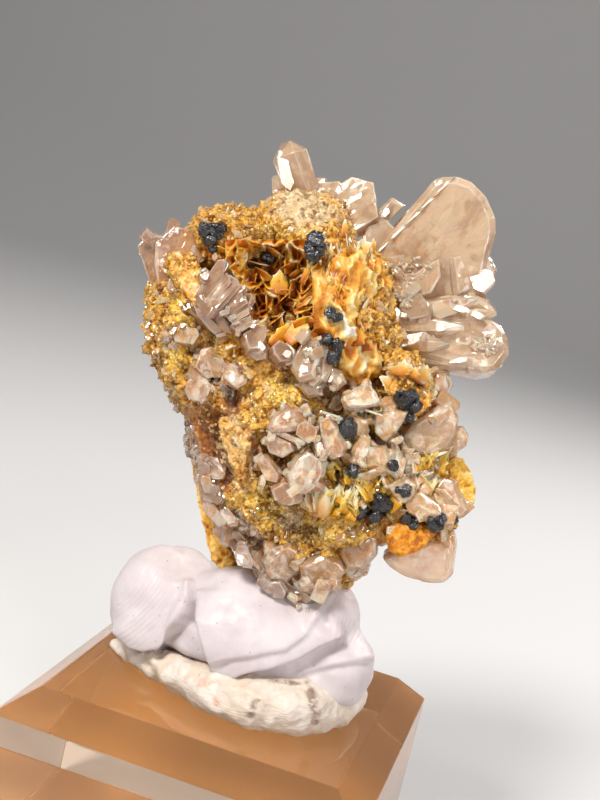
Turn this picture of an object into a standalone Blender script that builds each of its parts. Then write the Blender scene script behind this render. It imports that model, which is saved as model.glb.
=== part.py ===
"""A cerussite specimen: pale tabular crystals, thin leaves and black grains on an ochre matrix.

The matrix stands in a lump of white putty, which a roll of old putty holds on a clear acrylic block.
Sizes are in millimetres until each object is finished, and the finished objects are in metres.
The origin is the centre of the block's underside, with +Z up and the block's front facing -Y.
"""

import math
import random

import bmesh
import bpy
from mathutils import Euler, Matrix, Vector, noise
from mathutils.bvhtree import BVHTree

MM = 0.001

# The block, a square acrylic base with its top edges cut back.
BLOCK_WIDTH = 50.0
BLOCK_DEPTH = 49.0
BLOCK_HEIGHT = 25.0
CUT_BACK = 4.4
CUT_DOWN = 3.7

# The clear gap that is kept between any two pieces that touch. A seat is cut a little wider, because its
# faces are coarser than those of the piece that it is for.
GAP = 0.3
SEAT_GAP = 0.7
SEAT_FACES = 300
GRAIN_SEAT_FACES = 36
# How much wider than the specimen's foot its seat in the putty is cut.
SEAT_SLACK = 1.0
# How many of a joined crystal group's triangles are kept, from the largest down.
KEPT_SHARE = 0.55

# How far a shape is moved on where a join fails.
NUDGE = Vector((0.013, -0.017, 0.011))

# The specimen has its own frame: across its show face, up it, and out of it towards the viewer.
# It leans in its putty, and its show face looks a little round from the block's front.
SHOW_TURN = math.radians(13.0)
SHOW_RISE = math.radians(11.2)
LEAN = math.radians(13.0)
SPECIMEN_CENTRE = Vector((0.1, 0.0, BLOCK_HEIGHT + 42.2))
# Places on the show face are given as they look from this far in front of the specimen's centre.
SIGHT = 173.3

# The matrix is one mass of overlapping lumps: (across, up, out), (half sizes), turn in the show plane.
MATRIX_LUMPS = (
    ((-5.8, 5.4, -3.0), (12.2, 13.2, 9.5), 15),
    ((5.5, 3.0, -4.0), (11.0, 15.0, 9.0), -10),
    ((-0.5, -10.0, -3.0), (11.5, 12.0, 7.5), 20),
    ((1.0, -19.5, -2.5), (8.0, 6.5, 5.5), -25),
    ((2.0, -24.5, -2.0), (4.2, 3.6, 3.6), -20),
    ((-9.5, 21.5, -1.0), (6.0, 4.0, 5.5), -5),
    ((1.0, 23.0, -2.5), (6.5, 5.0, 5.0), -25),
    ((-16.2, 10.6, 0.5), (4.2, 7.4, 5.5), 5),
    ((-14.8, 4.6, 1.0), (3.2, 5.6, 4.5), 32),
    ((13.5, -8.0, -2.0), (6.5, 9.5, 6.0), 15),
    ((14.0, -14.5, 1.0), (7.0, 4.5, 5.0), -20),
    ((13.8, 1.6, 3.0), (3.4, 3.2, 4.0), 0),
    ((6.0, -12.0, 2.0), (6.0, 8.0, 5.5), 0),
    ((-4.0, -3.0, 2.0), (9.0, 6.0, 6.0), 30),
    ((8.5, 10.0, -1.0), (4.0, 11.0, 6.5), 0),
    ((-9.6, -8.6, 0.0), (4.2, 11.5, 5.6), 20),
)
MATRIX_VOXEL = 1.0
MATRIX_FACES = 1600
ROUGH_COARSE = 1.5
ROUGH_FINE = 0.8
ROUGH_PITCH = 7.0

# The vug is the deep hollow between the striated book and the leaf plates.
VUG_LUMPS = (
    ((-4.2, 14.5, 8.0), (6.0, 8.0, 9.5), 10),
    ((-1.0, 9.5, 8.5), (4.0, 4.5, 7.0), 35),
    ((-6.0, 18.5, 9.0), (5.0, 3.5, 6.0), 0),
)
# Two smaller pits lower down.
PIT_LUMPS = (
    ((-3.9, -7.6, 8.5), (2.4, 3.6, 5.0), 20),
    ((9.6, -14.4, 8.0), (3.4, 2.2, 4.0), -15),
    ((-11.5, -6.0, 7.0), (2.4, 5.5, 3.5), 18),
)

DRUSE_COUNT = 28
DRUSE_SEED = 11
GRAIN_CORNERS = 11


class Frame:
    """The specimen's frame, as an empty that its pieces hang from."""

    def __init__(self):
        turn = Matrix.Rotation(SHOW_TURN, 4, "Z")
        rise = Matrix.Rotation(math.radians(90) - SHOW_RISE, 4, "X")
        lean = Matrix.Rotation(LEAN, 4, "Z")
        self.matrix = Matrix.Translation(SPECIMEN_CENTRE * MM) @ turn @ rise @ lean
        self.empty = bpy.data.objects.new("specimen_frame", None)
        self.empty.matrix_world = self.matrix


def clear_scene():
    """Removes what the startup scene holds."""
    for obj in list(bpy.data.objects):
        bpy.data.objects.remove(obj)


def material(name, colour, roughness, transmission=0.0):
    """A plain finish from the colour, the roughness and how much light passes."""
    made = bpy.data.materials.new(name)
    made.use_nodes = True
    shader = made.node_tree.nodes["Principled BSDF"]
    shader.inputs["Base Color"].default_value = (*colour, 1.0)
    shader.inputs["Roughness"].default_value = roughness
    shader.inputs["Transmission Weight"].default_value = transmission
    made.diffuse_color = (*colour, 1.0)
    return made


def on_sight(across, up, out):
    """The point that shows at a place on the plane through the centre, moved out along that sight line."""
    nearer = 1.0 - out / SIGHT
    return Vector((across * nearer, up * nearer, out))


def object_from(bm, name):
    """An object in the work collection, from a bmesh, which is freed."""
    bmesh.ops.recalc_face_normals(bm, faces=bm.faces)
    mesh = bpy.data.meshes.new(name)
    bm.to_mesh(mesh)
    bm.free()
    obj = bpy.data.objects.new(name, mesh)
    WORK.objects.link(obj)
    return obj


def hull_object(points, name="crystal"):
    """The flat-faced solid that just holds the points."""
    bm = bmesh.new()
    verts = [bm.verts.new(p) for p in points]
    hull = bmesh.ops.convex_hull(bm, input=verts)
    inner = {g for g in hull["geom_interior"] + hull["geom_unused"] if isinstance(g, bmesh.types.BMVert)}
    bmesh.ops.delete(bm, geom=list(inner), context="VERTS")
    bmesh.ops.dissolve_limit(bm, angle_limit=math.radians(0.5), verts=bm.verts, edges=bm.edges)
    bmesh.ops.triangulate(bm, faces=bm.faces)
    return object_from(bm, name)


def lump_object(lumps, name="lump"):
    """Overlapping ellipsoids in one mesh."""
    bm = bmesh.new()
    for centre, half_sizes, turn in lumps:
        place = Matrix.Translation(Vector(centre)) @ Matrix.Rotation(math.radians(turn), 4, "Z")
        place = place @ Matrix.Diagonal((*half_sizes, 1.0))
        bmesh.ops.create_icosphere(bm, subdivisions=3, radius=1.0, matrix=place)
    return object_from(bm, name)


def settle(obj):
    """Applies the object's modifiers."""
    bpy.context.view_layer.update()
    graph = bpy.context.evaluated_depsgraph_get()
    mesh = bpy.data.meshes.new_from_object(obj.evaluated_get(graph))
    obj.modifiers.clear()
    obj.data = mesh


def largest_body(obj):
    """Keeps the biggest of the separate bodies in a mesh."""
    bm = bmesh.new()
    bm.from_mesh(obj.data)
    left = set(bm.verts)
    bodies = []
    while left:
        body, edge = set(), [left.pop()]
        while edge:
            vert = edge.pop()
            body.add(vert)
            for link in vert.link_edges:
                other = link.other_vert(vert)
                if other in left:
                    left.discard(other)
                    edge.append(other)
        bodies.append(body)
    bodies.sort(key=len)
    bmesh.ops.delete(bm, geom=[v for body in bodies[:-1] for v in body], context="VERTS")
    bm.to_mesh(obj.data)
    bm.free()


def weld(obj, distance=0.004):
    """Merges points that a Boolean left almost together."""
    bm = bmesh.new()
    bm.from_mesh(obj.data)
    bmesh.ops.remove_doubles(bm, verts=bm.verts, dist=distance)
    bmesh.ops.dissolve_degenerate(bm, dist=distance, edges=bm.edges)
    bmesh.ops.triangulate(bm, faces=bm.faces)
    bm.to_mesh(obj.data)
    bm.free()


def volume(obj):
    """The volume inside a closed mesh."""
    bm = bmesh.new()
    bm.from_mesh(obj.data)
    inside = bm.calc_volume(signed=True)
    bm.free()
    return inside


def boolean(target, operand, operation, crossing=False):
    """Joins the operand to the target, or cuts it away, and removes the operand.

    A solver can lose a shape whose faces almost line up with the other's. The volume shows it, and the step
    is then made again with the other solver, and after that with the operand a hair further on.
    """
    before, start = volume(target), target.data.copy()
    if operation == "UNION":
        least, most = before * 0.999, (before + volume(operand)) * 1.001
    else:
        least, most = before * 0.02, before * 1.001
    for solver in ("EXACT", "MANIFOLD", "EXACT", "MANIFOLD"):
        modifier = target.modifiers.new("shape", "BOOLEAN")
        modifier.operation = operation
        modifier.solver = solver
        modifier.use_self = crossing
        modifier.object = operand
        settle(target)
        if least <= volume(target) <= most:
            break
        target.data = start.copy()
        if solver == "MANIFOLD":
            operand.data.transform(Matrix.Translation(NUDGE))
    else:
        raise RuntimeError(f"{operation} failed between {target.name} and {operand.name}")
    bpy.data.objects.remove(operand)


def box_of(obj):
    """The lowest and highest corner of an object's box."""
    corners = [v.co for v in obj.data.vertices]
    low = Vector(min(c[axis] for c in corners) for axis in range(3))
    high = Vector(max(c[axis] for c in corners) for axis in range(3))
    return low, high


def near(one, other):
    """Whether two objects' boxes come within the clear gap of each other."""
    low, high = box_of(one)
    other_low, other_high = box_of(other)
    reaches_up = all(low[axis] - GAP < other_high[axis] for axis in range(3))
    reaches_down = all(other_low[axis] - GAP < high[axis] for axis in range(3))
    return reaches_up and reaches_down


def joined(objects, name):
    """One solid from several that overlap."""
    whole = objects[0]
    for other in objects[1:]:
        boolean(whole, other, "UNION")
    weld(whole)
    largest_body(whole)
    whole.name = name
    return whole


def grown(obj, by, faces, voxel=0.45):
    """A plain-shaped copy of a solid, a little bigger all round, which cuts a seat for it."""
    copy = bpy.data.objects.new("cutter", obj.data.copy())
    WORK.objects.link(copy)
    remeshed(copy, voxel)
    bm = bmesh.new()
    bm.from_mesh(copy.data)
    bm.normal_update()
    for vert, move in [(v, v.normal * by) for v in bm.verts]:
        vert.co += move
    bm.to_mesh(copy.data)
    bm.free()
    remeshed(copy, voxel)
    decimated(copy, faces)
    return copy


def cut_clear(target, others):
    """Cuts a seat in the target for each of the others, with the clear gap all round."""
    for other in others:
        if near(target, other):
            faces = max(GRAIN_SEAT_FACES, min(SEAT_FACES, len(other.data.vertices)))
            boolean(target, grown(other, SEAT_GAP, faces), "DIFFERENCE", crossing=True)
    weld(target)
    largest_body(target)


def without_slivers(obj):
    """Drops the smallest triangles that the joins of a crystal group left."""
    decimated(obj, KEPT_SHARE * len(obj.data.polygons))
    return obj


def tree_of(*objects):
    """A search tree of the objects' faces."""
    bm = bmesh.new()
    for obj in objects:
        bm.from_mesh(obj.data)
    tree = BVHTree.FromBMesh(bm)
    bm.free()
    return tree


def seat(tree, across, up, sunk=0.0):
    """The place on the show face that is seen at (across, up), sunk a little below the surface."""
    eye = Vector((0, 0, SIGHT))
    sight = (Vector((across, up, 0)) - eye).normalized()
    hit = tree.ray_cast(eye, sight)[0]
    if hit is None:
        return on_sight(across, up, 0.0)
    return hit + sight * sunk


# Crystals. Each returns an object that is one flat-faced solid.


def turned(lean, tilt, swing):
    """The turn of a crystal: leaning clockwise in the show plane, tilted about its length, and swung."""
    return (
        Matrix.Rotation(-math.radians(lean), 4, "Z")
        @ Matrix.Rotation(math.radians(swing), 4, "X")
        @ Matrix.Rotation(math.radians(tilt), 4, "Y")
    )


def table(centre, length, width, thickness, lean=0, tilt=0, swing=0, shoulder=0.3):
    """A tabular crystal: a six-cornered plate with a blunt point at each end."""
    half_length, half_width = length / 2, width / 2
    cut = shoulder * width
    outline = [
        (-half_width, -half_length + cut), (0.15 * width, -half_length), (half_width, -half_length + cut),
        (half_width, half_length - cut), (-0.15 * width, half_length), (-half_width, half_length - cut),
    ]
    return plate(centre, outline, thickness, lean, tilt, swing)


def plate(centre, outline, thickness, lean=0, tilt=0, swing=0, rim=0.0):
    """A flat crystal of any outline without hollows. Its edge is bevelled on both faces if it has a rim."""
    place = Matrix.Translation(Vector(centre)) @ turned(lean, tilt, swing)
    middle = Vector((sum(x for x, _ in outline), sum(y for _, y in outline))) / len(outline)
    inset = rim * thickness
    points = []
    for x, y in outline:
        corner = Vector((x, y))
        pulled = corner + (middle - corner).normalized() * inset * 1.6
        for side in (-1, 1):
            points.append(place @ Vector((*pulled, side * thickness / 2)))
            if rim:
                points.append(place @ Vector((x, y, side * (thickness / 2 - inset))))
    return hull_object(points)


def prism(foot, tip, width, depth=None, point=0.3, skew=0.0, turn=0, sides=6, blunt=0.25):
    """A long crystal with flat sides and a roof-shaped end."""
    foot, tip = Vector(foot), Vector(tip)
    depth = width if depth is None else depth
    along = tip - foot
    aim = along.to_track_quat("Z", "Y").to_matrix().to_4x4() @ Matrix.Rotation(math.radians(turn), 4, "Z")
    points = []
    for level, size in ((0.0, 0.9), (1.0 - point, 1.0)):
        for side in range(sides):
            angle = math.tau * (side + 0.5) / sides
            ring = Vector((math.cos(angle) * width / 2 * size, math.sin(angle) * depth / 2 * size, 0))
            points.append(foot + along * level + aim @ ring)
    for end in (-1, 1):
        points.append(tip + aim @ Vector((end * width / 2 * blunt + skew * width / 2, 0, 0)))
    return hull_object(points)


def grain(centre, radius, rng):
    """A small black crystal, almost round, with flat faces."""
    points = []
    for index in range(GRAIN_CORNERS):
        height = 1 - 2 * (index + 0.5) / GRAIN_CORNERS
        angle = index * math.pi * (3 - math.sqrt(5)) + rng.uniform(-0.25, 0.25)
        ring = math.sqrt(1 - height * height)
        spot = Vector((math.cos(angle) * ring, math.sin(angle) * ring, height))
        points.append(Vector(centre) + spot * radius * rng.uniform(0.88, 1.08))
    return hull_object(points)


# The matrix.


def roughen(obj, coarse, fine, pitch):
    """Moves a surface in and out to the rugged shape of broken ore."""
    bm = bmesh.new()
    bm.from_mesh(obj.data)
    bm.normal_update()
    moves = []
    for vert in bm.verts:
        spot = vert.co / pitch
        broad = noise.noise(spot)
        ridges = 1 - 2 * abs(noise.noise(spot * 2.7 + Vector((9, 3, 5))))
        moves.append((vert, vert.normal * (coarse * broad + fine * ridges)))
    for vert, move in moves:
        vert.co += move
    bm.to_mesh(obj.data)
    bm.free()


def remeshed(obj, voxel):
    """One closed skin round everything in the mesh."""
    modifier = obj.modifiers.new("skin", "REMESH")
    modifier.mode = "VOXEL"
    modifier.voxel_size = voxel
    settle(obj)


def decimated(obj, faces):
    """The same shape in about this many flat triangles."""
    triangles = sum(len(polygon.vertices) - 2 for polygon in obj.data.polygons)
    modifier = obj.modifiers.new("facets", "DECIMATE")
    modifier.ratio = min(1.0, faces / triangles)
    settle(obj)
    weld(obj)
    largest_body(obj)


def bare_matrix():
    """The ochre mass with its vug and pits, before anything grows on it."""
    mass = lump_object(MATRIX_LUMPS, name="matrix")
    remeshed(mass, MATRIX_VOXEL)
    hollow = lump_object(VUG_LUMPS + PIT_LUMPS, name="vug")
    remeshed(hollow, MATRIX_VOXEL)
    boolean(mass, hollow, "DIFFERENCE")
    remeshed(mass, MATRIX_VOXEL)
    roughen(mass, ROUGH_COARSE, ROUGH_FINE, ROUGH_PITCH)
    return mass


def seated_matrix(mass, pieces):
    """The mass in flat facets, with seats for all that grows on it."""
    bm = bmesh.new()
    for piece in pieces:
        bm.from_mesh(piece.data)
    cutter = object_from(bm, "seats")
    remeshed(cutter, 0.45)
    bm = bmesh.new()
    bm.from_mesh(cutter.data)
    bm.normal_update()
    for vert, move in [(v, v.normal * (SEAT_GAP + 0.15)) for v in bm.verts]:
        vert.co += move
    bm.to_mesh(cutter.data)
    bm.free()
    remeshed(cutter, 0.45)
    boolean(mass, cutter, "DIFFERENCE")
    remeshed(mass, 0.55)
    decimated(mass, MATRIX_FACES)
    return mass


def ledges(tree):
    """The plates that are one with the matrix: the ochre back plate, the left slab edge and the flaps."""
    back = [
        (-2.8, 8.8), (-1.4, 8.8), (0.7, 4.2), (3.2, -2.8), (3.8, -6.3), (3.0, -8.4), (1.0, -6.6),
        (-0.8, -3.3), (-1.6, 2.2), (-2.4, 6.2),
    ]
    slab = [(-2, 4.6), (1, 4), (2.2, -1), (2.4, -4.2), (-0.4, -3.4)]
    flake = [(-1.6, 4.6), (0.2, 4.4), (2.0, 2.0), (2.3, -0.6), (1.3, -3.4), (-0.8, -4.8), (-2.2, -2.0)]
    flap = [(-3.4, 2.0), (-1.0, 2.6), (2.6, 1.6), (3.0, 0.2), (0.8, -1.8), (-1.8, -2.4), (-3.3, -1.0)]
    return [
        plate(on_sight(-12.2, -14.2, -4.0), back, 1.8, tilt=-10),
        plate(on_sight(-7.4, -6.8, 5.2), slab, 1.6, tilt=-18),
        plate(on_sight(21.4, -12.0, 0.0), flake, 1.6, tilt=25),
        plate(on_sight(14.8, -18.9, 5.5), flap, 1.8, swing=-15, tilt=10),
        table(on_sight(-18.2, 14.0, 2.5), 6.0, 3.4, 2.2, lean=20, tilt=-20),
        table(seat(tree, -15.7, 17.2, 0.4), 6.0, 3.8, 2.2, lean=-30, tilt=15),
        table(on_sight(0.8, 24.2, 1.0), 7.0, 9.0, 3.0, lean=-30, tilt=10),
    ]


def druse(tree, crystals):
    """The small crystals all over the matrix, fused with it, where no bigger one is in the way."""
    rng = random.Random(DRUSE_SEED)
    made = []
    while len(made) < DRUSE_COUNT:
        spot = Vector((rng.uniform(-20, 20), rng.uniform(-22, 25), rng.uniform(-14, 14)))
        place, normal, _, _ = tree.find_nearest(spot)
        in_vug = (place - Vector((-4, 14, 4))).length < 9.5
        if in_vug or place.y < -19 or crystals.find_nearest(place)[3] < 2.2:
            continue
        size = rng.uniform(1.2, 2.6)
        lean = Vector((rng.uniform(-0.6, 0.6), rng.uniform(-0.6, 0.6), rng.uniform(-0.6, 0.6)))
        tip = place + (normal + lean).normalized() * size
        if crystals.find_nearest(tip)[3] < 1.6:
            continue
        foot = place - normal * 0.9
        thickness = size * rng.uniform(0.4, 0.8)
        made.append(prism(foot, tip, size * 0.95, thickness, turn=rng.uniform(0, 180), sides=4))
    return made


# The crystal groups. Each is one solid of crystals grown through one another.


def cerussite_fan():
    """The big pale tables and blades that fan out on the right."""
    broad = [
        (-9.5, -3.9), (-8.4, -0.6), (-3.2, 7.0), (-0.8, 9.9), (1.6, 10.2), (3.5, 9.1), (5.5, 7.5),
        (7.2, 4.1), (7.2, 2.0), (5.3, -1.2), (3.0, -6.5), (-1.5, -10.5), (-6.5, -9.5),
    ]
    return joined(
        [
            plate(on_sight(19.4, 20.2, -3.0), broad, 4.6, tilt=-8, swing=6, rim=0.3),
            prism(
                on_sight(11.0, 9.5, -3.0), on_sight(26.6, 17.2, -1.0),
                6.6, 4.4, point=0.3, skew=0.3, turn=40,
            ),
            prism(on_sight(13.0, 9.0, -4.5), on_sight(26.8, 12.4, -3.0), 4.6, 4.0, point=0.25, turn=15),
            prism(
                on_sight(9.5, 8.6, -2.0), on_sight(28.3, 6.0, -1.0),
                8.6, 6.0, point=0.12, blunt=0.7, turn=5,
            ),
            prism(on_sight(11.5, 9.8, 0.5), on_sight(22.5, 9.6, 2.0), 3.4, 3.0, point=0.35, turn=20),
            prism(on_sight(11.0, 7.6, 1.0), on_sight(20.0, 6.8, 3.0), 3.6, 2.6, point=0.3, turn=50),
            table(on_sight(13.0, 16.5, 0.5), 5.5, 4.2, 2.4, lean=15, tilt=20, swing=-12),
            table(on_sight(17.3, 15.5, 0.8), 6.4, 3.6, 2.2, lean=28, tilt=-22, swing=-10),
            table(on_sight(15.6, 12.8, 1.2), 5.0, 4.6, 2.4, lean=-40, tilt=15, swing=-15),
            table(on_sight(20.0, 12.6, 0.2), 4.6, 3.0, 2.2, lean=60, tilt=-15, swing=-15),
            table(on_sight(12.9, 24.4, -7.5), 10.5, 4.6, 3.0, lean=38, tilt=12),
            table(on_sight(15.6, 23.4, -8.0), 9.5, 3.2, 2.6, lean=44, tilt=-20),
            table(on_sight(11.0, 20.5, -6.5), 8.0, 6.0, 3.6, lean=20, tilt=5),
            table(on_sight(18.2, 3.0, -2.5), 6.0, 4.0, 3.0, lean=-15, tilt=15),
            table(on_sight(16.0, 4.0, -4.0), 8.0, 6.0, 4.0, lean=30, tilt=-10),
        ],
        "cerussite_fan",
    )


def top_crystals():
    """The pointed prism on the crest and the milky ones beside it."""
    return joined(
        [
            prism(
                on_sight(1.6, 24.5, -5.0), on_sight(-2.0, 35.2, -3.5),
                5.6, 4.8, point=0.16, blunt=0.35, turn=-50,
            ),
            prism(on_sight(-0.5, 25.5, -6.0), on_sight(-3.6, 30.6, -4.5), 3.0, 2.0, point=0.3, turn=-20),
            table(on_sight(4.2, 27.0, -6.0), 6.2, 4.4, 3.4, lean=-32, tilt=14),
            table(on_sight(6.2, 25.4, -6.5), 11.0, 7.0, 4.4, lean=58, tilt=-10),
            table(on_sight(3.6, 24.2, -6.0), 7.0, 9.0, 4.0, lean=10, tilt=0),
            prism(on_sight(6.0, 25.2, -5.0), on_sight(8.4, 27.6, -7.0), 3.2, 2.6, point=0.2, blunt=0.6),
        ],
        "top_crystals",
    )


def left_plates():
    """The thin brownish plates that stand off the upper left."""
    main = [
        (-4.6, -0.6), (-3.6, 3.2), (-2.4, 3.9), (0.4, 3.3), (1.6, 2.6), (3.2, -0.4), (3.0, -2.0),
        (0.0, -3.4), (-3.0, -3.6),
    ]
    outer = [
        (-2.6, 2.4), (-1.6, 3.4), (-0.4, 3.8), (1.4, 3.6), (2.6, 0.0), (2.0, -4.4), (-0.4, -5.2),
        (-1.7, -1.2),
    ]
    return joined(
        [
            plate(on_sight(-15.7, 19.9, 3.5), main, 2.4, tilt=12, swing=-6),
            plate(on_sight(-19.4, 18.4, 2.0), outer, 2.2, tilt=-16, swing=4),
            table(on_sight(-18.0, 15.4, 3.0), 4.2, 2.8, 2.0, lean=-14, tilt=18),
            table(on_sight(-17.6, 21.0, 2.0), 3.2, 3.6, 2.4, lean=30, tilt=-6),
        ],
        "left_plates",
    )


def striated_book():
    """The stepped book of thin blades along the vug's left edge, on the long rim they stand on."""
    rng = random.Random(5)
    blades = 9
    start, end = Vector((-12.2, 13.2)), Vector((-5.3, 7.4))
    made = [
        prism(
            on_sight(-14.8, 13.6, 6.0), on_sight(-1.2, 4.8, 7.2),
            2.4, 2.6, point=0.08, blunt=0.6, turn=30,
        ),
        prism(
            on_sight(-13.4, 14.0, 7.0), on_sight(-10.1, 19.4, 8.8),
            2.4, 2.0, point=0.2, blunt=0.5, turn=10,
        ),
        prism(on_sight(-13.0, 15.0, 6.4), on_sight(-13.2, 17.8, 8.0), 2.2, 1.8, point=0.3, blunt=0.5),
        prism(
            on_sight(-8.6, 7.0, 6.8), on_sight(-5.2, 10.4, 9.4),
            2.2, 3.2, point=0.25, blunt=0.5, turn=25,
        ),
        prism(on_sight(-5.6, 5.4, 6.8), on_sight(-3.2, 8.0, 8.8), 2.6, 2.4, point=0.3, blunt=0.4, turn=15),
        prism(on_sight(-3.0, 4.6, 7.0), on_sight(-1.6, 6.6, 8.6), 2.4, 2.0, point=0.3, blunt=0.4, turn=-15),
    ]
    for index in range(blades):
        share = index / (blades - 1)
        spot = start.lerp(end, share)
        long = 7.6 - 2.6 * share + rng.uniform(-0.7, 0.7)
        out = 7.4 + 0.6 * math.sin(share * 5) + rng.uniform(-0.3, 0.3)
        lean = 36 + rng.uniform(-3, 3)
        place = on_sight(spot.x, spot.y, out)
        made.append(table(place, long, 4.6, 1.25, lean=lean, tilt=58, swing=8, shoulder=0.2))
    return joined(made, "striated_book")


def centre_prisms():
    """The short clear prisms below the vug."""
    return joined(
        [
            prism(
                on_sight(0.6, 2.6, 6.0), on_sight(2.1, 8.6, 9.0),
                4.2, 3.6, point=0.3, blunt=0.3, turn=20,
            ),
            prism(
                on_sight(2.8, 1.6, 6.0), on_sight(4.6, 6.2, 8.6),
                3.4, 3.0, point=0.3, blunt=0.4, turn=-10,
            ),
            table(on_sight(0.8, 1.0, 6.4), 4.2, 5.4, 3.4, lean=20, tilt=10, swing=-10),
            table(on_sight(4.6, 0.6, 6.4), 3.2, 4.6, 3.0, lean=-60, tilt=10, swing=-10),
        ],
        "centre_prisms",
    )


def shell_crystals():
    """The peach and clear curved crystals in the middle, over a small pit."""
    return joined(
        [
            table(on_sight(-1.2, -2.6, 9.0), 7.0, 3.9, 2.0, lean=74, tilt=18, swing=4),
            table(on_sight(1.1, -4.4, 9.8), 3.0, 2.8, 2.0, lean=10, tilt=-10),
            prism(on_sight(-4.4, -3.8, 9.2), on_sight(0.9, -6.4, 10.6), 1.5, 2.8, point=0.1, blunt=0.5),
            table(on_sight(-2.0, -5.9, 9.2), 2.6, 3.8, 1.6, lean=20, tilt=10),
            table(on_sight(4.0, -4.9, 10.0), 6.4, 3.4, 1.9, lean=-38, tilt=-18),
            table(on_sight(5.3, -7.0, 10.2), 3.6, 2.0, 1.6, lean=-60, tilt=10),
            table(on_sight(1.0, -8.9, 9.4), 7.4, 4.2, 2.8, lean=26, tilt=-24),
            table(on_sight(-1.2, -11.6, 8.4), 4.4, 6.2, 2.6, lean=30, tilt=10, swing=-18),
            prism(on_sight(-3.0, -12.2, 7.8), on_sight(-7.0, -6.6, 9.2), 2.6, 2.2, point=0.25, blunt=0.5),
            prism(on_sight(-4.6, -10.6, 8.2), on_sight(-0.2, -10.4, 9.4), 1.8, 1.8, point=0.2),
        ],
        "shell_crystals",
    )


def pale_leaves():
    """The cream and sandy leaves that stand in a ruffle down the right of the middle."""
    return joined(
        [
            table(on_sight(8.2, 0.7, 7.8), 5.4, 3.6, 2.2, lean=62, tilt=12, swing=-14),
            table(on_sight(5.6, -1.0, 7.8), 2.0, 6.6, 1.4, lean=-12, tilt=0, swing=-20),
            table(on_sight(11.9, -3.6, 8.0), 4.6, 4.0, 2.0, lean=-24, tilt=24, swing=6),
            table(on_sight(9.4, -2.4, 6.4), 3.0, 8.0, 2.4, lean=8, tilt=0, swing=-10),
            table(on_sight(8.1, -7.6, 7.8), 5.4, 2.8, 1.4, lean=14, tilt=-35),
            table(on_sight(10.2, -8.0, 8.0), 5.2, 3.6, 1.4, lean=-16, tilt=30),
            table(on_sight(12.6, -8.0, 7.6), 4.6, 3.2, 1.6, lean=8, tilt=-24),
            table(on_sight(10.2, -5.8, 6.8), 3.0, 7.0, 2.4, lean=0, tilt=0, swing=-20),
            table(on_sight(15.2, -12.4, 6.6), 9.6, 4.4, 2.4, lean=-56, tilt=0, swing=-8),
            table(on_sight(18.2, -15.0, 5.4), 5.6, 3.6, 2.4, lean=-64, tilt=16),
            table(on_sight(13.0, -10.6, 6.4), 5.0, 4.0, 2.6, lean=-30, tilt=10),
        ],
        "pale_leaves",
    )


def low_leaf():
    """The two cream leaves that curl out below the clear crystals."""
    return joined(
        [
            table(on_sight(1.4, -13.2, 8.4), 3.8, 2.4, 1.2, lean=-28, tilt=25),
            table(on_sight(3.0, -13.9, 8.6), 4.2, 2.3, 1.2, lean=14, tilt=-22),
            table(on_sight(2.2, -12.8, 7.6), 2.2, 3.8, 1.6, lean=0, tilt=0),
        ],
        "low_leaf",
    )


def right_crystals():
    """The rosy crystals that reach out on the right, above the yellow flake."""
    return joined(
        [
            table(on_sight(17.6, -4.8, 3.0), 8.6, 5.2, 3.6, lean=68, tilt=12, swing=6),
            prism(
                on_sight(17.0, -6.4, 2.0), on_sight(23.2, -5.0, 2.0),
                4.0, 3.2, point=0.18, blunt=0.6, turn=20,
            ),
            table(on_sight(19.4, -2.6, 1.4), 5.6, 4.2, 3.0, lean=30, tilt=-14),
            table(on_sight(18.0, -8.2, 2.0), 5.4, 5.0, 3.0, lean=12, tilt=18),
            table(on_sight(19.8, -12.6, 2.2), 4.6, 3.4, 2.4, lean=-28, tilt=12),
            table(on_sight(21.2, -14.0, 1.4), 3.6, 3.0, 2.2, lean=-50, tilt=-12),
            table(on_sight(18.4, -11.0, 1.4), 6.0, 4.4, 3.0, lean=-10, tilt=8),
            table(on_sight(17.4, 0.2, 0.6), 5.4, 4.2, 3.0, lean=-20, tilt=8),
        ],
        "right_crystals",
    )


def lower_crystal():
    """The big smooth crystal that hangs at the lower right."""
    outline = [
        (-4.9, 1.4), (-3.2, 3.2), (3.6, 3.4), (4.3, 1.4), (4.1, -2.4), (2.9, -3.9), (0.4, -4.4),
        (-2.6, -3.0),
    ]
    body = plate(on_sight(16.9, -20.3, 0.0), outline, 5.0, tilt=-10, swing=10, rim=0.32)
    return joined([body], "lower_crystal")


def foot_crystals():
    """The mauve crystals along the specimen's foot."""
    return joined(
        [
            table(on_sight(3.2, -22.6, 2.6), 5.0, 5.6, 3.6, lean=50, tilt=10, swing=12),
            table(on_sight(7.6, -19.8, 3.0), 5.2, 3.8, 3.2, lean=30, tilt=-12),
            prism(on_sight(5.8, -20.4, 3.0), on_sight(9.4, -16.6, 5.4), 3.4, 3.0, point=0.25, blunt=0.5),
            prism(on_sight(6.6, -19.0, 2.4), on_sight(10.3, -20.0, 3.4), 3.4, 3.0, point=0.25, blunt=0.5),
            table(on_sight(5.4, -20.8, 2.4), 5.0, 5.0, 3.4, lean=-20, tilt=0),
        ],
        "foot_crystals",
    )


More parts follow.
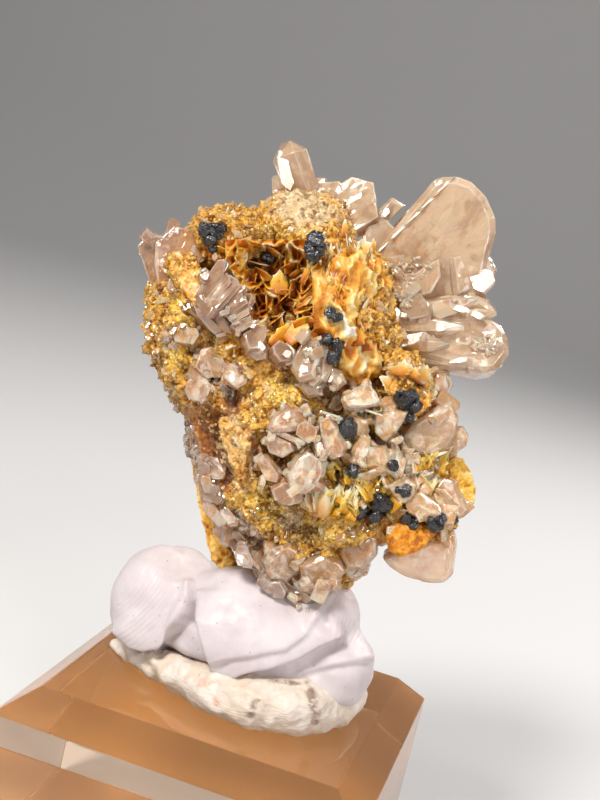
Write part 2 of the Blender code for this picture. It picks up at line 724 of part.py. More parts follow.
def leaf_plates():
    """The curtain of thin orange and cream plates that closes the vug's right side."""
    rng = random.Random(23)
    plates = 7
    made = [table(on_sight(7.2, 11.8, 3.4), 19.0, 6.2, 3.4, lean=-3, tilt=4, shoulder=0.25)]
    for index in range(plates):
        share = index / (plates - 1)
        across = 2.6 + 8.6 * share
        bulge = math.sin(math.pi * share)
        up = 12.6 - 3.0 * (share - 0.4) + rng.uniform(-1.5, 1.5)
        long = 11.0 + 7.0 * bulge + rng.uniform(-1.5, 1.5)
        out = 6.2 + 1.6 * bulge - 3.2 * share
        made.append(
            table(
                on_sight(across, up, out), long, 6.6, 1.0,
                lean=-8 + 16 * share + rng.uniform(-7, 7), tilt=66 - 34 * share + rng.uniform(-8, 8),
                swing=rng.uniform(-6, 6), shoulder=0.32,
            )
        )
    for up, lean, out in ((9.4, 74, 8.6), (7.0, 98, 8.4), (12.0, 56, 8.6)):
        made.append(table(on_sight(3.4, up, out - 1.6), 6.4, 4.6, 1.0, lean=lean, tilt=52, shoulder=0.3))
    return joined(made, "leaf_plates")


def vug_blades():
    """The crust of crossing blades that lines the back of the vug."""
    rng = random.Random(41)
    made = [table((-3.8, 13.8, 0.2), 13.0, 8.6, 2.6, lean=10)]
    for index in range(11):
        across, up = rng.uniform(-7.6, -0.4), rng.uniform(8.6, 19.0)
        made.append(
            table(
                (across, up, rng.uniform(1.8, 2.8)), rng.uniform(3.6, 5.6), rng.uniform(3.4, 4.6), 0.75,
                lean=rng.uniform(0, 180), tilt=rng.choice((-1, 1)) * rng.uniform(50, 78),
                swing=rng.uniform(-25, 25),
            )
        )
    return joined(made, "vug_blades")


# The black grains: a name, then the place and radius of each grain in the group, on the show face.
BLACK_GROUPS = {
    "black_grains_crest": (
        (-12.9, 23.2, 1.2), (-11.6, 23.0, 1.3), (-12.2, 21.9, 1.1), (-10.7, 23.4, 0.8), (-11.9, 20.8, 0.8),
    ),
    "black_grain_vug_left": ((-6.6, 18.8, 1.05),),
    "black_grain_vug_right": ((-4.4, 19.6, 1.25),),
    "black_grains_ridge": ((2.2, 21.7, 1.45), (1.8, 19.9, 1.2), (2.8, 20.6, 1.0), (1.2, 20.9, 0.85)),
    "black_grains_notch": ((4.2, 11.8, 0.9), (5.1, 11.2, 0.8)),
    "black_grain_step": ((3.6, 8.3, 0.95),),
    "black_grains_step": ((5.4, 7.5, 1.1), (4.6, 5.8, 1.05), (5.0, 6.5, 0.9)),
    "black_grain_middle": ((6.1, -3.9, 1.7),),
    "black_grains_dome": ((14.5, 0.2, 1.75), (15.5, -0.6, 1.3), (14.9, -2.4, 0.9), (13.6, 0.6, 1.0)),
    "black_grain_leaf": ((7.2, -9.7, 1.1),),
    "black_grain_white": ((12.7, -9.0, 0.85),),
    "black_grains_pocket": ((14.3, -12.4, 1.0), (13.4, -12.2, 0.7)),
    "black_grains_cleft": ((10.8, -14.0, 1.5), (8.3, -15.3, 1.3), (10.2, -15.7, 1.2), (11.9, -14.4, 1.0)),
    "black_grains_flap": ((14.6, -16.0, 1.1), (15.4, -17.0, 1.0)),
    "black_grains_rim": ((18.4, -16.9, 1.3), (19.2, -16.2, 0.9)),
    "black_grain_rim_end": ((20.7, -16.5, 0.95),),
}

# How far a group stands out beyond its seat.
BLACK_LIFTS = {"black_grain_middle": 4.6, "black_grains_ridge": 0.4}


def black_groups(tree):
    """The groups of black crystals, each seated on what it grows on."""
    rng = random.Random(3)
    made = []
    for name, spots in BLACK_GROUPS.items():
        anchor = max(seat(tree, across, up).z for across, up, _ in spots) + BLACK_LIFTS.get(name, 0.0)
        grains = [
            grain(on_sight(across, up, anchor + 0.25 * radius), radius, rng)
            for across, up, radius in spots
        ]
        made.append(joined(grains, name))
    return made


# The putty and the block, in the block's frame, with height counted from the block's top.
WHITE_LUMPS = (
    ((-13.4, -3.0, 9.0), (6.6, 6.6, 8.4), 0),
    ((-11.0, 1.0, 8.0), (8.0, 7.5, 9.0), 0),
    ((0.5, -3.5, 9.5), (11.5, 8.0, 8.4), -4),
    ((3.0, 0.5, 7.0), (14.5, 8.5, 7.5), 0),
    ((10.6, -1.0, 12.2), (5.4, 6.6, 7.2), 0),
    ((14.6, -2.0, 8.6), (4.8, 6.2, 5.0), 0),
    ((8.0, -4.5, 5.5), (11.0, 5.5, 3.6), 4),
)
WHITE_FACES = 560
# The roll of old putty: places along it as (x, y), and how thick it is there.
ROLL = (
    ((-17.6, -1.6), 1.0), ((-14.2, -4.2), 2.0), ((-10.0, -6.2), 2.6), ((-5.0, -8.4), 3.0),
    ((0.5, -10.2), 3.6), ((6.0, -10.2), 4.2), ((11.2, -7.6), 4.6), ((14.0, -3.0), 4.4),
    ((14.6, 2.4), 3.8), ((13.0, 7.4), 3.0),
)
ROLL_FACES = 480


def old_putty():
    """The dirty roll that the new lump is pressed on."""
    lumps = []
    for (spot, thick), (after, thick_after) in zip(ROLL, ROLL[1:]):
        for share in (0.0, 0.34, 0.67):
            x, y = Vector(spot).lerp(Vector(after), share)
            radius = thick + (thick_after - thick) * share
            lumps.append(((x, y, radius * 0.72), (radius, radius, radius * 0.86), 0))
    roll = lump_object(lumps, name="old_putty")
    remeshed(roll, 0.6)
    roughen(roll, 0.35, 0.15, 3.0)
    flatten(roll, GAP)
    decimated(roll, ROLL_FACES)
    return roll


def flatten(obj, level):
    """Presses everything below a level flat."""
    for vert in obj.data.vertices:
        vert.co.z = max(vert.co.z, level)


def white_putty(roll, rock):
    """The fresh lump, with the seat that the specimen is pressed into."""
    lump = lump_object(WHITE_LUMPS, name="white_putty")
    remeshed(lump, 0.9)
    roughen(lump, 0.7, 0.0, 9.0)
    flatten(lump, GAP)
    decimated(lump, WHITE_FACES)
    cut_clear(lump, [roll])
    boolean(lump, rock, "DIFFERENCE")
    weld(lump)
    largest_body(lump)
    return lump


def acrylic_block():
    """The clear base."""
    bm = bmesh.new()
    straight = BLOCK_HEIGHT - CUT_DOWN
    bmesh.ops.create_cube(bm, size=1.0, matrix=Matrix.Diagonal((BLOCK_WIDTH, BLOCK_DEPTH, straight, 1.0)))
    bmesh.ops.translate(bm, vec=(0, 0, straight / 2), verts=bm.verts)
    top = max(bm.faces, key=lambda face: face.calc_center_median().z)
    lifted = bmesh.ops.extrude_face_region(bm, geom=[top])
    corners = [g for g in lifted["geom"] if isinstance(g, bmesh.types.BMVert)]
    bmesh.ops.delete(bm, geom=[top], context="FACES")
    bmesh.ops.translate(bm, vec=(0, 0, CUT_DOWN), verts=corners)
    shrink = Matrix.Diagonal((1 - 2 * CUT_BACK / BLOCK_WIDTH, 1 - 2 * CUT_BACK / BLOCK_DEPTH, 1.0, 1.0))
    bmesh.ops.transform(bm, matrix=shrink, verts=corners)
    return object_from(bm, "acrylic_block")


def specimen_cutter(pieces, frame):
    """The specimen's foot in the block's frame, with the clear gap round it."""
    bm = bmesh.new()
    for piece in pieces:
        bm.from_mesh(piece.data)
    foot = object_from(bm, "foot_cutter")
    remeshed(foot, 0.7)
    bm = bmesh.new()
    bm.from_mesh(foot.data)
    bm.normal_update()
    for vert, move in [(v, v.normal * SEAT_SLACK) for v in bm.verts]:
        vert.co += move
    to_block = Matrix.Translation(-Vector((0, 0, BLOCK_HEIGHT))) @ Matrix.Scale(1 / MM, 4)
    bmesh.ops.transform(bm, matrix=to_block @ frame.matrix @ Matrix.Scale(MM, 4), verts=bm.verts)
    high = [v for v in bm.verts if v.co.z > 40]
    bmesh.ops.delete(bm, geom=high, context="VERTS")
    bmesh.ops.holes_fill(bm, edges=[e for e in bm.edges if e.is_boundary])
    bmesh.ops.triangulate(bm, faces=bm.faces)
    bpy.data.objects.remove(foot)
    cutter = object_from(bm, "foot_cutter")
    decimated(cutter, 600)
    return cutter


def in_metres(obj, finish, frame=None, lift=0.0):
    """Moves a piece out of the work collection at its real size, with its finish."""
    obj.data.transform(Matrix.Translation(Vector((0, 0, lift))))
    obj.data.transform(Matrix.Scale(MM, 4))
    obj.data.name = obj.name
    obj.data.materials.clear()
    obj.data.materials.append(finish)
    WORK.objects.unlink(obj)
    PARTS.objects.link(obj)
    if frame:
        obj.parent = frame.empty


def build():
    """Makes every piece and places it."""
    frame = Frame()
    PARTS.objects.link(frame.empty)

    clear = material("clear acrylic", (0.86, 0.62, 0.36), 0.05, 0.9)
    fresh = material("white putty", (0.80, 0.72, 0.70), 0.6)
    stale = material("old putty", (0.72, 0.60, 0.50), 0.8)
    ochre = material("ochre ore", (0.62, 0.34, 0.08), 0.75)
    pale = material("pale crystal", (0.78, 0.66, 0.56), 0.15, 0.6)
    rosy = material("rosy crystal", (0.66, 0.50, 0.44), 0.2, 0.5)
    cream = material("cream leaf", (0.84, 0.72, 0.50), 0.4)
    amber = material("amber plate", (0.85, 0.50, 0.12), 0.35, 0.2)
    black = material("black grain", (0.03, 0.03, 0.035), 0.3)

    mass = bare_matrix()
    tree = tree_of(mass)
    groups = {
        cerussite_fan: pale, top_crystals: pale, lower_crystal: pale,
        centre_prisms: pale, shell_crystals: pale, foot_crystals: rosy,
        left_plates: rosy, right_crystals: rosy, pale_leaves: cream, low_leaf: cream,
        striated_book: rosy, leaf_plates: amber, vug_blades: amber,
    }
    crystals = {without_slivers(make()): finish for make, finish in groups.items()}
    edges = ledges(tree)

    # Black grains seat on whatever shows there, so they are placed on all of it together.
    grains = black_groups(tree_of(mass, *edges, *crystals))

    placed = list(grains)
    for piece in crystals:
        cut_clear(piece, placed)
        placed.append(piece)
    for edge in edges:
        cut_clear(edge, placed)
    mass = seated_matrix(mass, placed)
    small = druse(tree_of(mass), tree_of(*placed))
    matrix = joined([mass, *edges, *small], "matrix")

    roll = old_putty()
    lump = white_putty(roll, specimen_cutter([matrix, *crystals], frame))

    in_metres(acrylic_block(), clear)
    in_metres(roll, stale, lift=BLOCK_HEIGHT)
    in_metres(lump, fresh, lift=BLOCK_HEIGHT)
    in_metres(matrix, ochre, frame)
    for piece, finish in crystals.items():
        in_metres(piece, finish, frame)
    for piece in grains:
        in_metres(piece, black, frame)


clear_scene()
PARTS = bpy.data.collections.new("cerussite_specimen")
WORK = bpy.data.collections.new("work")
bpy.context.scene.collection.children.link(PARTS)
bpy.context.scene.collection.children.link(WORK)
build()
bpy.context.scene.collection.children.unlink(WORK)
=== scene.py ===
"""The looks of a cerussite specimen on a clear block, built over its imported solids.

The crystals, the ore that they grow on, the putty and the block are modelled again at full detail, each in
the place and at the size of its solid. Lengths are in millimetres until a piece is finished, and then in
metres.
"""

import logging
import math
import random
from collections.abc import Callable, Sequence
from dataclasses import dataclass, field
from enum import Enum

import bmesh
import bpy
import numpy as np
from mathutils import Matrix, Vector, noise
from mathutils.bvhtree import BVHTree


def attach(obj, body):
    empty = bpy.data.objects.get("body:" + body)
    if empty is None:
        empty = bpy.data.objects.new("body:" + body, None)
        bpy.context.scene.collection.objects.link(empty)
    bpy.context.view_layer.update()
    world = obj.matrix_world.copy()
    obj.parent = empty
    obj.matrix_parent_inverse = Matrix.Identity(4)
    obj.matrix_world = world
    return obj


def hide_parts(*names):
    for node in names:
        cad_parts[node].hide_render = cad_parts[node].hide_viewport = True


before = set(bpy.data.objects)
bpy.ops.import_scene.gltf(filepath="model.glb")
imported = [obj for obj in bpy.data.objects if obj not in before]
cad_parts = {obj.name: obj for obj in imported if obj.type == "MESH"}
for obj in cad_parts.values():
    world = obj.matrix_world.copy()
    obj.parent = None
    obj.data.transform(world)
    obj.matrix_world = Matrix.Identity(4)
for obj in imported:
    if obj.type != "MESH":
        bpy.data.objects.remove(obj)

LOG = logging.getLogger("specimen")
MM = 0.001
BODY = "root"

# The block's height, and the specimen's own frame: across its show face, up it, and out towards the viewer.
BLOCK_HEIGHT = 25.0
SHOW_TURN = math.radians(13.0)
SHOW_RISE = math.radians(11.2)
LEAN = math.radians(13.0)
SPECIMEN_CENTRE = Vector((0.1, 0.0, BLOCK_HEIGHT + 42.2))
# How far the viewer is from the specimen's centre, and where the main light is, in metres.
SIGHT = 173.3
KEY_PLACE = (-0.12, -0.26, 0.42)
# How fine the skin of a worn crystal is.
WORN_VOXEL = 0.19

Object = bpy.types.Object
Material = bpy.types.Material
Socket = bpy.types.NodeSocket
Spot = tuple[float, float]
Point = tuple[float, float, float]
Lump = tuple[Point, Point, float]
Colour = tuple[float, float, float]


class Home(Enum):
    """The frame that a piece is modelled in, as the transform to the row's frame in metres."""

    SPECIMEN = (
        Matrix.Translation(SPECIMEN_CENTRE * MM)
        @ Matrix.Rotation(SHOW_TURN, 4, "Z")
        @ Matrix.Rotation(math.radians(90) - SHOW_RISE, 4, "X")
        @ Matrix.Rotation(LEAN, 4, "Z")
        @ Matrix.Scale(MM, 4)
    )
    BLOCK_TOP = Matrix.Translation((0, 0, BLOCK_HEIGHT * MM)) @ Matrix.Scale(MM, 4)
    ROW = Matrix.Scale(MM, 4)


def seen(red: int, green: int, blue: int) -> Colour:
    """Turns a colour as a screen shows it, from 0 to 255, into the light that it stands for."""
    return tuple(round((value / 255) ** 2.2, 4) for value in (red, green, blue))


# Meshes.


def link(obj: Object) -> Object:
    """Puts an object in the scene."""
    bpy.context.scene.collection.objects.link(obj)
    return obj


def from_bmesh(bm: bmesh.types.BMesh, name: str) -> Object:
    """Makes an object from a bmesh and frees it.

    Args:
        bm: The mesh, in millimetres.
        name: The object's name.

    Returns:
        The new object.
    """
    mesh = bpy.data.meshes.new(name)
    bm.to_mesh(mesh)
    bm.free()
    return link(bpy.data.objects.new(name, mesh))


def settle(obj: Object) -> Object:
    """Applies an object's modifiers.

    Args:
        obj: The object.

    Returns:
        The same object, with no modifiers.
    """
    bpy.context.view_layer.update()
    graph = bpy.context.evaluated_depsgraph_get()
    mesh = bpy.data.meshes.new_from_object(obj.evaluated_get(graph))
    obj.modifiers.clear()
    obj.data = mesh
    return obj


def remeshed(obj: Object, voxel: float) -> Object:
    """Wraps everything in a mesh in one closed skin.

    Args:
        obj: The object.
        voxel: The skin's grid, in millimetres.

    Returns:
        The same object.
    """
    modifier = obj.modifiers.new("skin", "REMESH")
    modifier.mode = "VOXEL"
    modifier.voxel_size = voxel
    return settle(obj)


def smoothed(obj: Object, turns: int, factor: float = 0.5) -> Object:
    """Relaxes a surface.

    Args:
        obj: The object.
        turns: How many times.
        factor: How far each time, from 0 to 1.

    Returns:
        The same object.
    """
    modifier = obj.modifiers.new("relax", "SMOOTH")
    modifier.iterations = turns
    modifier.factor = factor
    return settle(obj)


def points_of(obj: Object) -> np.ndarray:
    """Reads a mesh's points.

    Args:
        obj: The object.

    Returns:
        One row of three numbers for each point.
    """
    flat = np.empty(len(obj.data.vertices) * 3, np.float32)
    obj.data.vertices.foreach_get("co", flat)
    return flat.reshape(-1, 3).astype(float)


def normals_of(obj: Object) -> np.ndarray:
    """Reads the directions that a mesh's points face.

    Args:
        obj: The object.

    Returns:
        One row of three numbers for each point.
    """
    flat = np.empty(len(obj.data.vertices) * 3, np.float32)
    obj.data.vertex_normals.foreach_get("vector", flat)
    return flat.reshape(-1, 3).astype(float)


def move_points(obj: Object, points: np.ndarray) -> None:
    """Writes a mesh's points."""
    obj.data.vertices.foreach_set("co", points.astype(np.float32).ravel())
    obj.data.update()


def set_field(obj: Object, name: str, values: np.ndarray) -> None:
    """Stores a number for each point of a mesh, which a material or a node tree reads."""
    attribute = obj.data.attributes.get(name) or obj.data.attributes.new(name, "FLOAT", "POINT")
    attribute.data.foreach_set("value", values.astype(np.float32))


def lump_object(lumps: Sequence[Lump], name: str) -> Object:
    """Makes overlapping ellipsoids in one mesh.

    Args:
        lumps: The centre, the half sizes and the turn about Z in degrees of each.
        name: The object's name.

    Returns:
        The new object.
    """
    bm = bmesh.new()
    for centre, half_sizes, turn in lumps:
        place = Matrix.Translation(Vector(centre)) @ Matrix.Rotation(math.radians(turn), 4, "Z")
        place = place @ Matrix.Diagonal((*half_sizes, 1.0))
        bmesh.ops.create_icosphere(bm, subdivisions=3, radius=1.0, matrix=place)
    return from_bmesh(bm, name)


def volume_of(obj: Object) -> float:
    """Measures the volume inside a closed mesh.

    Args:
        obj: The object.

    Returns:
        Cubic millimetres.
    """
    bm = bmesh.new()
    bm.from_mesh(obj.data)
    inside = bm.calc_volume(signed=True)
    bm.free()
    return inside


def combine(target: Object, operand: Object, operation: str) -> None:
    """Joins the operand to the target or cuts it away, and removes the operand.

    A solver can lose a shape whose faces almost line up with the other's. The volume shows it, and the other
    solver is then used.

    Args:
        target: The object that changes.
        operand: The object that is joined or cut away.
        operation: UNION or DIFFERENCE.
    """
    before, start = volume_of(target), target.data.copy()
    most = before + volume_of(operand) if operation == "UNION" else before
    least = before if operation == "UNION" else before * 0.02
    for solver in ("MANIFOLD", "EXACT"):
        modifier = target.modifiers.new("shape", "BOOLEAN")
        modifier.operation = operation
        modifier.solver = solver
        modifier.object = operand
        settle(target)
        if least * 0.999 <= volume_of(target) <= most * 1.001:
            break
        target.data = start.copy()
    bpy.data.objects.remove(operand)


def united(objects: Sequence[Object]) -> Object:
    """Joins objects in one solid, two and two.

    Args:
        objects: The objects.

    Returns:
        The first of them, with the others in it.
    """
    left = list(objects)
    while len(left) > 1:
        for first, second in zip(left[::2], left[1::2]):
            combine(first, second, "UNION")
        left = left[::2]
    return left[0]


def tree_of(*objects: Object) -> BVHTree:
    """Makes a search tree of the faces of several objects.

    Args:
        *objects: The objects, all in one frame.

    Returns:
        The tree.
    """
    bm = bmesh.new()
    for obj in objects:
        bm.from_mesh(obj.data)
    tree = BVHTree.FromBMesh(bm)
    bm.free()
    return tree


class NoiseField:
    """Smooth seeded noise over space, worked out for many points at once."""

    def __init__(self, seed: int) -> None:
        """Draws the noise's gradients.

        Args:
            seed: Another seed gives another noise.
        """
        rng = np.random.default_rng(seed)
        self.order = np.concatenate([rng.permutation(256)] * 3)
        steep = rng.normal(size=(256, 3))
        self.steep = steep / np.linalg.norm(steep, axis=1, keepdims=True)

    def at(self, points: np.ndarray, pitch: float) -> np.ndarray:
        """Samples the noise.

        Args:
            points: One row of three numbers for each point.
            pitch: The distance between two cells of the noise.

        Returns:
            One number for each point, from about -1 to 1.
        """
        spots = points / pitch
        cell = np.floor(spots).astype(int)
        within = spots - cell
        fade = within**3 * (within * (within * 6 - 15) + 10)
        cell &= 255
        total = np.zeros(len(points))
        for corner in np.ndindex(2, 2, 2):
            step = np.array(corner)
            index = cell + step
            pick = self.order[self.order[self.order[index[:, 0]] + index[:, 1]] + index[:, 2]]
            weight = np.prod(np.where(step, fade, 1 - fade), axis=1)
            total += weight * np.einsum("ij,ij->i", self.steep[pick], within - step)
        return total * 1.6

    def layered(self, points: np.ndarray, pitch: float, layers: int, gain: float = 0.5) -> np.ndarray:
        """Adds up finer and finer noise.

        Args:
            points: One row of three numbers for each point.
            pitch: The coarsest layer's pitch.
            layers: How many layers, each at half the last one's pitch.
            gain: Each layer's height beside the last one's.

        Returns:
            One number for each point.
        """
        total, height = np.zeros(len(points)), 1.0
        for _ in range(layers):
            total += height * self.at(points, pitch)
            pitch, height = pitch * 0.5, height * gain
        return total

    def ridged(self, points: np.ndarray, pitch: float, layers: int, gain: float = 0.5) -> np.ndarray:
        """Adds up finer and finer noise with sharp crests.

        Args:
            points: One row of three numbers for each point.
            pitch: The coarsest layer's pitch.
            layers: How many layers.
            gain: Each layer's height beside the last one's.

        Returns:
            One number for each point, highest on the crests.
        """
        total, height = np.zeros(len(points)), 1.0
        for _ in range(layers):
            total += height * (1 - 2 * np.abs(self.at(points, pitch)))
            pitch, height = pitch * 0.5, height * gain
        return total


# Finishes.


def join(tree: bpy.types.NodeTree, socket: Socket, value: object) -> None:
    """Sets a socket of a node, or links it to another node.

    Args:
        tree: The node's tree.
        socket: The input.
        value: A number, a colour, a vector, something else that the socket takes, or an output socket.
    """
    if isinstance(value, Socket):
        tree.links.new(value, socket)
    elif isinstance(value, tuple) and len(value) == 3 and socket.type == "RGBA":
        socket.default_value = (*value, 1.0)
    else:
        socket.default_value = value


def add_node(tree: bpy.types.NodeTree, kind: str, **values: object) -> bpy.types.Node:
    """Adds a node to a tree.

    Args:
        tree: The tree.
        kind: The node's type.
        **values: The value of each input, by its name with underscores for spaces. A name in small letters is
            one of the node's own settings.

    Returns:
        The node.
    """
    node = tree.nodes.new(kind)
    for name, value in values.items():
        if name.islower():
            setattr(node, name, value)
        else:
            join(tree, node.inputs[name.replace("_", " ")], value)
    return node


class Shader:
    """A material with one Principled shader, whose textures lie in millimetres of the row's frame."""

    def __init__(self, name: str) -> None:
        """Starts the material.

        Args:
            name: The material's name.
        """
        self.material = bpy.data.materials.new(name)
        self.material.use_nodes = True
        self.tree = self.material.node_tree
        self.principled = self.tree.nodes["Principled BSDF"]
        self.output = self.tree.nodes["Material Output"]
        self.place = self.vector("SCALE", self.add("TexCoord").outputs["Object"], 1 / MM)

    def add(self, kind: str, **values: object) -> bpy.types.Node:
        """Adds a shader node, as add_node does."""
        return add_node(self.tree, f"ShaderNode{kind}", **values)

    def set(self, **values: object) -> Material:
        """Sets the Principled shader's sockets.

        Args:
            **values: Each socket's name, with underscores for spaces, and its value.

        Returns:
            The material.
        """
        for name, value in values.items():
            join(self.tree, self.principled.inputs[name.replace("_", " ")], value)
        return self.material

    def vector(self, operation: str, first: object, second: object) -> Socket:
        """Adds a vector step.

        Args:
            operation: The step's name.
            first: The vector.
            second: Another vector, or the number to scale by.

        Returns:
            The result.
        """
        node = self.add("VectorMath", operation=operation, Vector=first)
        join(self.tree, node.inputs["Scale" if operation == "SCALE" else 1], second)
        return node.outputs["Value" if operation == "DOT_PRODUCT" else "Vector"]

    def maths(self, operation: str, first: object, second: object = 0.0, clamp: bool = False) -> Socket:
        """Adds a step of arithmetic.

        Args:
            operation: The step's name.
            first: The first number.
            second: The second number.
            clamp: Whether the result is kept from 0 to 1.

        Returns:
            The result.
        """
        node = self.add("Math", operation=operation, use_clamp=clamp)
        join(self.tree, node.inputs[0], first)
        join(self.tree, node.inputs[1], second)
        return node.outputs["Value"]

    def noise(
        self, pitch: float, detail: float = 3.0, rough: float = 0.55, warp: float = 0.0, at: object = None
    ) -> Socket:
        """Adds noise.

        Args:
            pitch: The size of its patches, in millimetres.
            detail: How many finer layers.
            rough: How strong the finer layers are.
            warp: How far the noise twists itself.
            at: Where to sample it, if not at the surface's own place.

        Returns:
            A number from about 0.3 to 0.7.
        """
        node = self.add(
            "TexNoise", Vector=at or self.place, Scale=1.0 / pitch, Detail=detail, Roughness=rough,
            Distortion=warp,
        )
        return node.outputs["Fac"]

    def cells(self, pitch: float) -> Socket:
        """Adds cells of a size in millimetres, and gives the distance from the middle of the cell."""
        return self.add("TexVoronoi", Vector=self.place, Scale=1.0 / pitch).outputs["Distance"]

    def facets(self, pitch: float, at: object = None) -> tuple[Socket, Socket]:
        """Adds a pattern of cells that each slant their own way, as broken or stepped crystal does.

        Args:
            pitch: The size of a cell, in millimetres.
            at: Where to sample it, if not at the surface's own place.

        Returns:
            The height of the slanted cells, in millimetres, and a number from 0 to 1 of each cell's own.
        """
        spot = at or self.place
        node = self.add("TexVoronoi", Vector=spot, Scale=1.0 / pitch)
        slant = self.vector("SUBTRACT", node.outputs["Color"], (0.5, 0.5, 0.5))
        offset = self.vector("SUBTRACT", spot, node.outputs["Position"])
        return self.vector("DOT_PRODUCT", slant, offset), self.part(node.outputs["Color"], "X")

    def field(self, name: str) -> Socket:
        """Reads a number stored on the mesh."""
        return self.add("Attribute", attribute_name=name).outputs["Fac"]

    def uv(self, name: str) -> Socket:
        """Reads a place on a UV map."""
        return self.add("UVMap", uv_map=name).outputs["UV"]

    def part(self, vector: Socket, axis: str) -> Socket:
        """Takes the number for X, Y or Z out of a vector."""
        return self.add("SeparateXYZ", Vector=vector).outputs[axis]

    def ramp(self, factor: object, *stops: tuple[float, Colour]) -> Socket:
        """Turns a number into a colour.

        Args:
            factor: The number.
            *stops: Where each colour stands, and the colour.

        Returns:
            The colour.
        """
        node = self.add("ValToRGB", Fac=factor)
        elements = node.color_ramp.elements
        while len(elements) < len(stops):
            elements.new(0.5)
        for element, (position, colour) in zip(elements, stops):
            element.position = position
            element.color = (*colour, 1.0)
        return node.outputs["Color"]

    def step(self, factor: object, low: float, high: float, start: float = 0.0, end: float = 1.0) -> Socket:
        """Stretches part of a number's range, with soft ends.

        Args:
            factor: The number.
            low: Where the result is at its start.
            high: Where the result is at its end.
            start: The result at low.
            end: The result at high.

        Returns:
            The stretched number.
        """
        node = self.add(
            "MapRange", interpolation_type="SMOOTHSTEP", Value=factor, From_Min=low, From_Max=high,
            To_Min=start, To_Max=end,
        )
        return node.outputs["Result"]

    def blend(self, factor: object, first: object, second: object, how: str = "MIX") -> Socket:
        """Mixes two colours.

        Args:
            factor: How much of the second, from 0 to 1.
            first: A colour.
            second: A colour.
            how: The way they mix.

        Returns:
            The mixed colour.
        """
        node = self.add("Mix", data_type="RGBA", blend_type=how)
        sockets = {s.identifier: s for s in node.inputs}
        for name, value in (("Factor_Float", factor), ("A_Color", first), ("B_Color", second)):
            join(self.tree, sockets[name], value)
        return next(s for s in node.outputs if s.identifier == "Result_Color")

    def bump(self, height: object, distance: float, strength: float = 1.0, over: object = None) -> Socket:
        """Adds relief too fine for the mesh.

        Args:
            height: The height, from 0 to 1.
            distance: The relief's depth, in millimetres.
            strength: How strongly it shows, from 0 to 1.
            over: Relief that this one is added to.

        Returns:
            The direction that the surface faces.
        """
        node = self.add("Bump", Strength=strength, Distance=distance * MM, Height=height)
        if over is not None:
            join(self.tree, node.inputs["Normal"], over)
        return node.outputs["Normal"]


@dataclass(frozen=True)
class CrystalFinish:
    """Milky, greasy-bright cerussite, with a painted highlight along its rubbed edges.

    Attributes:
        name: The material's name.
        clear: The crystal's colour where it is clean.
        cloud: Its colour where it is cloudy.
        edge: The colour of its light growth lines, and of the painted highlight along its rubbed edges.
        dust: The colour of the ore that stains it.
        stain: How much of it is stained, from 0 to 1.
        passing: How much light goes through, from 0 to 1.
        drawn: How strongly the growth lines show, from 0 to 1.
        milk: How deep light gets in the milky part, in millimetres.
        veils: How far apart the clear and the cloudy parts are, in millimetres.
    """

    name: str
    clear: Colour = seen(232, 198, 162)
    cloud: Colour = seen(240, 212, 180)
    edge: Colour = seen(251, 240, 228)
    dust: Colour = seen(216, 150, 60)
    stain: float = 0.10
    passing: float = 0.62
    drawn: float = 0.10
    milk: float = 0.9
    veils: float = 3.6

    def make(self) -> Material:
        """Builds the material.

        Returns:
            The material.
        """
        s = Shader(self.name)
        broad = s.noise(self.veils, 4, 0.6, 0.6)
        fine = s.noise(0.4, 4, 0.65)
        stretched = s.vector("MULTIPLY", s.uv("growth"), (1.0, 0.10, 0.0))
        growth = s.noise(0.42, 4, 0.62, at=stretched)
        steps, own = s.facets(0.8, s.vector("MULTIPLY", s.uv("growth"), (1.0, 0.35, 0.0)))
        breaks, _ = s.facets(1.3)
        tint = s.maths("MULTIPLY", s.maths("SUBTRACT", s.part(s.uv("own"), "X"), 0.5), 0.16)
        tint = s.maths("ADD", tint, s.maths("MULTIPLY", s.maths("SUBTRACT", own, 0.5), 0.07))
        cloudy = s.step(s.maths("ADD", broad, tint), 0.36, 0.66)
        colour = s.blend(cloudy, self.clear, self.cloud)
        colour = s.blend(s.step(growth, 0.50, 0.74, 0.0, self.drawn), colour, self.edge)
        colour = s.blend(s.step(growth, 0.46, 0.28, 0.0, self.drawn), colour, (0.50, 0.34, 0.23))
        # Painted highlight along the rubbed edges.
        colour = s.blend(s.maths("MULTIPLY", s.field("rim"), 0.5), colour, self.edge)
        specks = s.maths("MULTIPLY", s.step(s.cells(0.7), 0.20, 0.08), s.step(s.noise(3.0, 2), 0.50, 0.64))
        dusty = s.maths("MULTIPLY", s.step(s.noise(1.4, 5, 0.7), 0.56, 0.70), self.stain)
        stained = s.maths("MAXIMUM", dusty, s.maths("MULTIPLY", specks, min(1.0, 3 * self.stain)))
        colour = s.blend(stained, colour, self.dust)
        clean = s.step(s.noise(1.1, 4, 0.65), 0.3, 0.7, 0.0, 0.9)
        root = s.maths("SUBTRACT", s.field("root"), clean, clamp=True)
        colour = s.blend(s.maths("MULTIPLY", root, 0.9), colour, seen(226, 158, 62))
        relief = s.bump(steps, 0.40)
        relief = s.bump(breaks, 0.22, over=relief)
        relief = s.bump(growth, 0.05, 0.5, over=relief)
        relief = s.bump(fine, 0.02, 0.35, over=relief)
        passing = s.step(cloudy, 0.0, 1.0, self.passing, self.passing * 0.75)
        passing = s.maths("MULTIPLY", passing, s.maths("SUBTRACT", 1.0, stained))
        return s.set(
            Base_Color=colour, Roughness=s.step(fine, 0.35, 0.7, 0.04, 0.20), IOR=1.80, Normal=relief,
            Transmission_Weight=passing, Coat_Weight=0.3, Coat_Roughness=0.05,
            Subsurface_Weight=1.0, Subsurface_Radius=(1.0, 0.66, 0.42), Subsurface_Scale=self.milk * MM,
        )


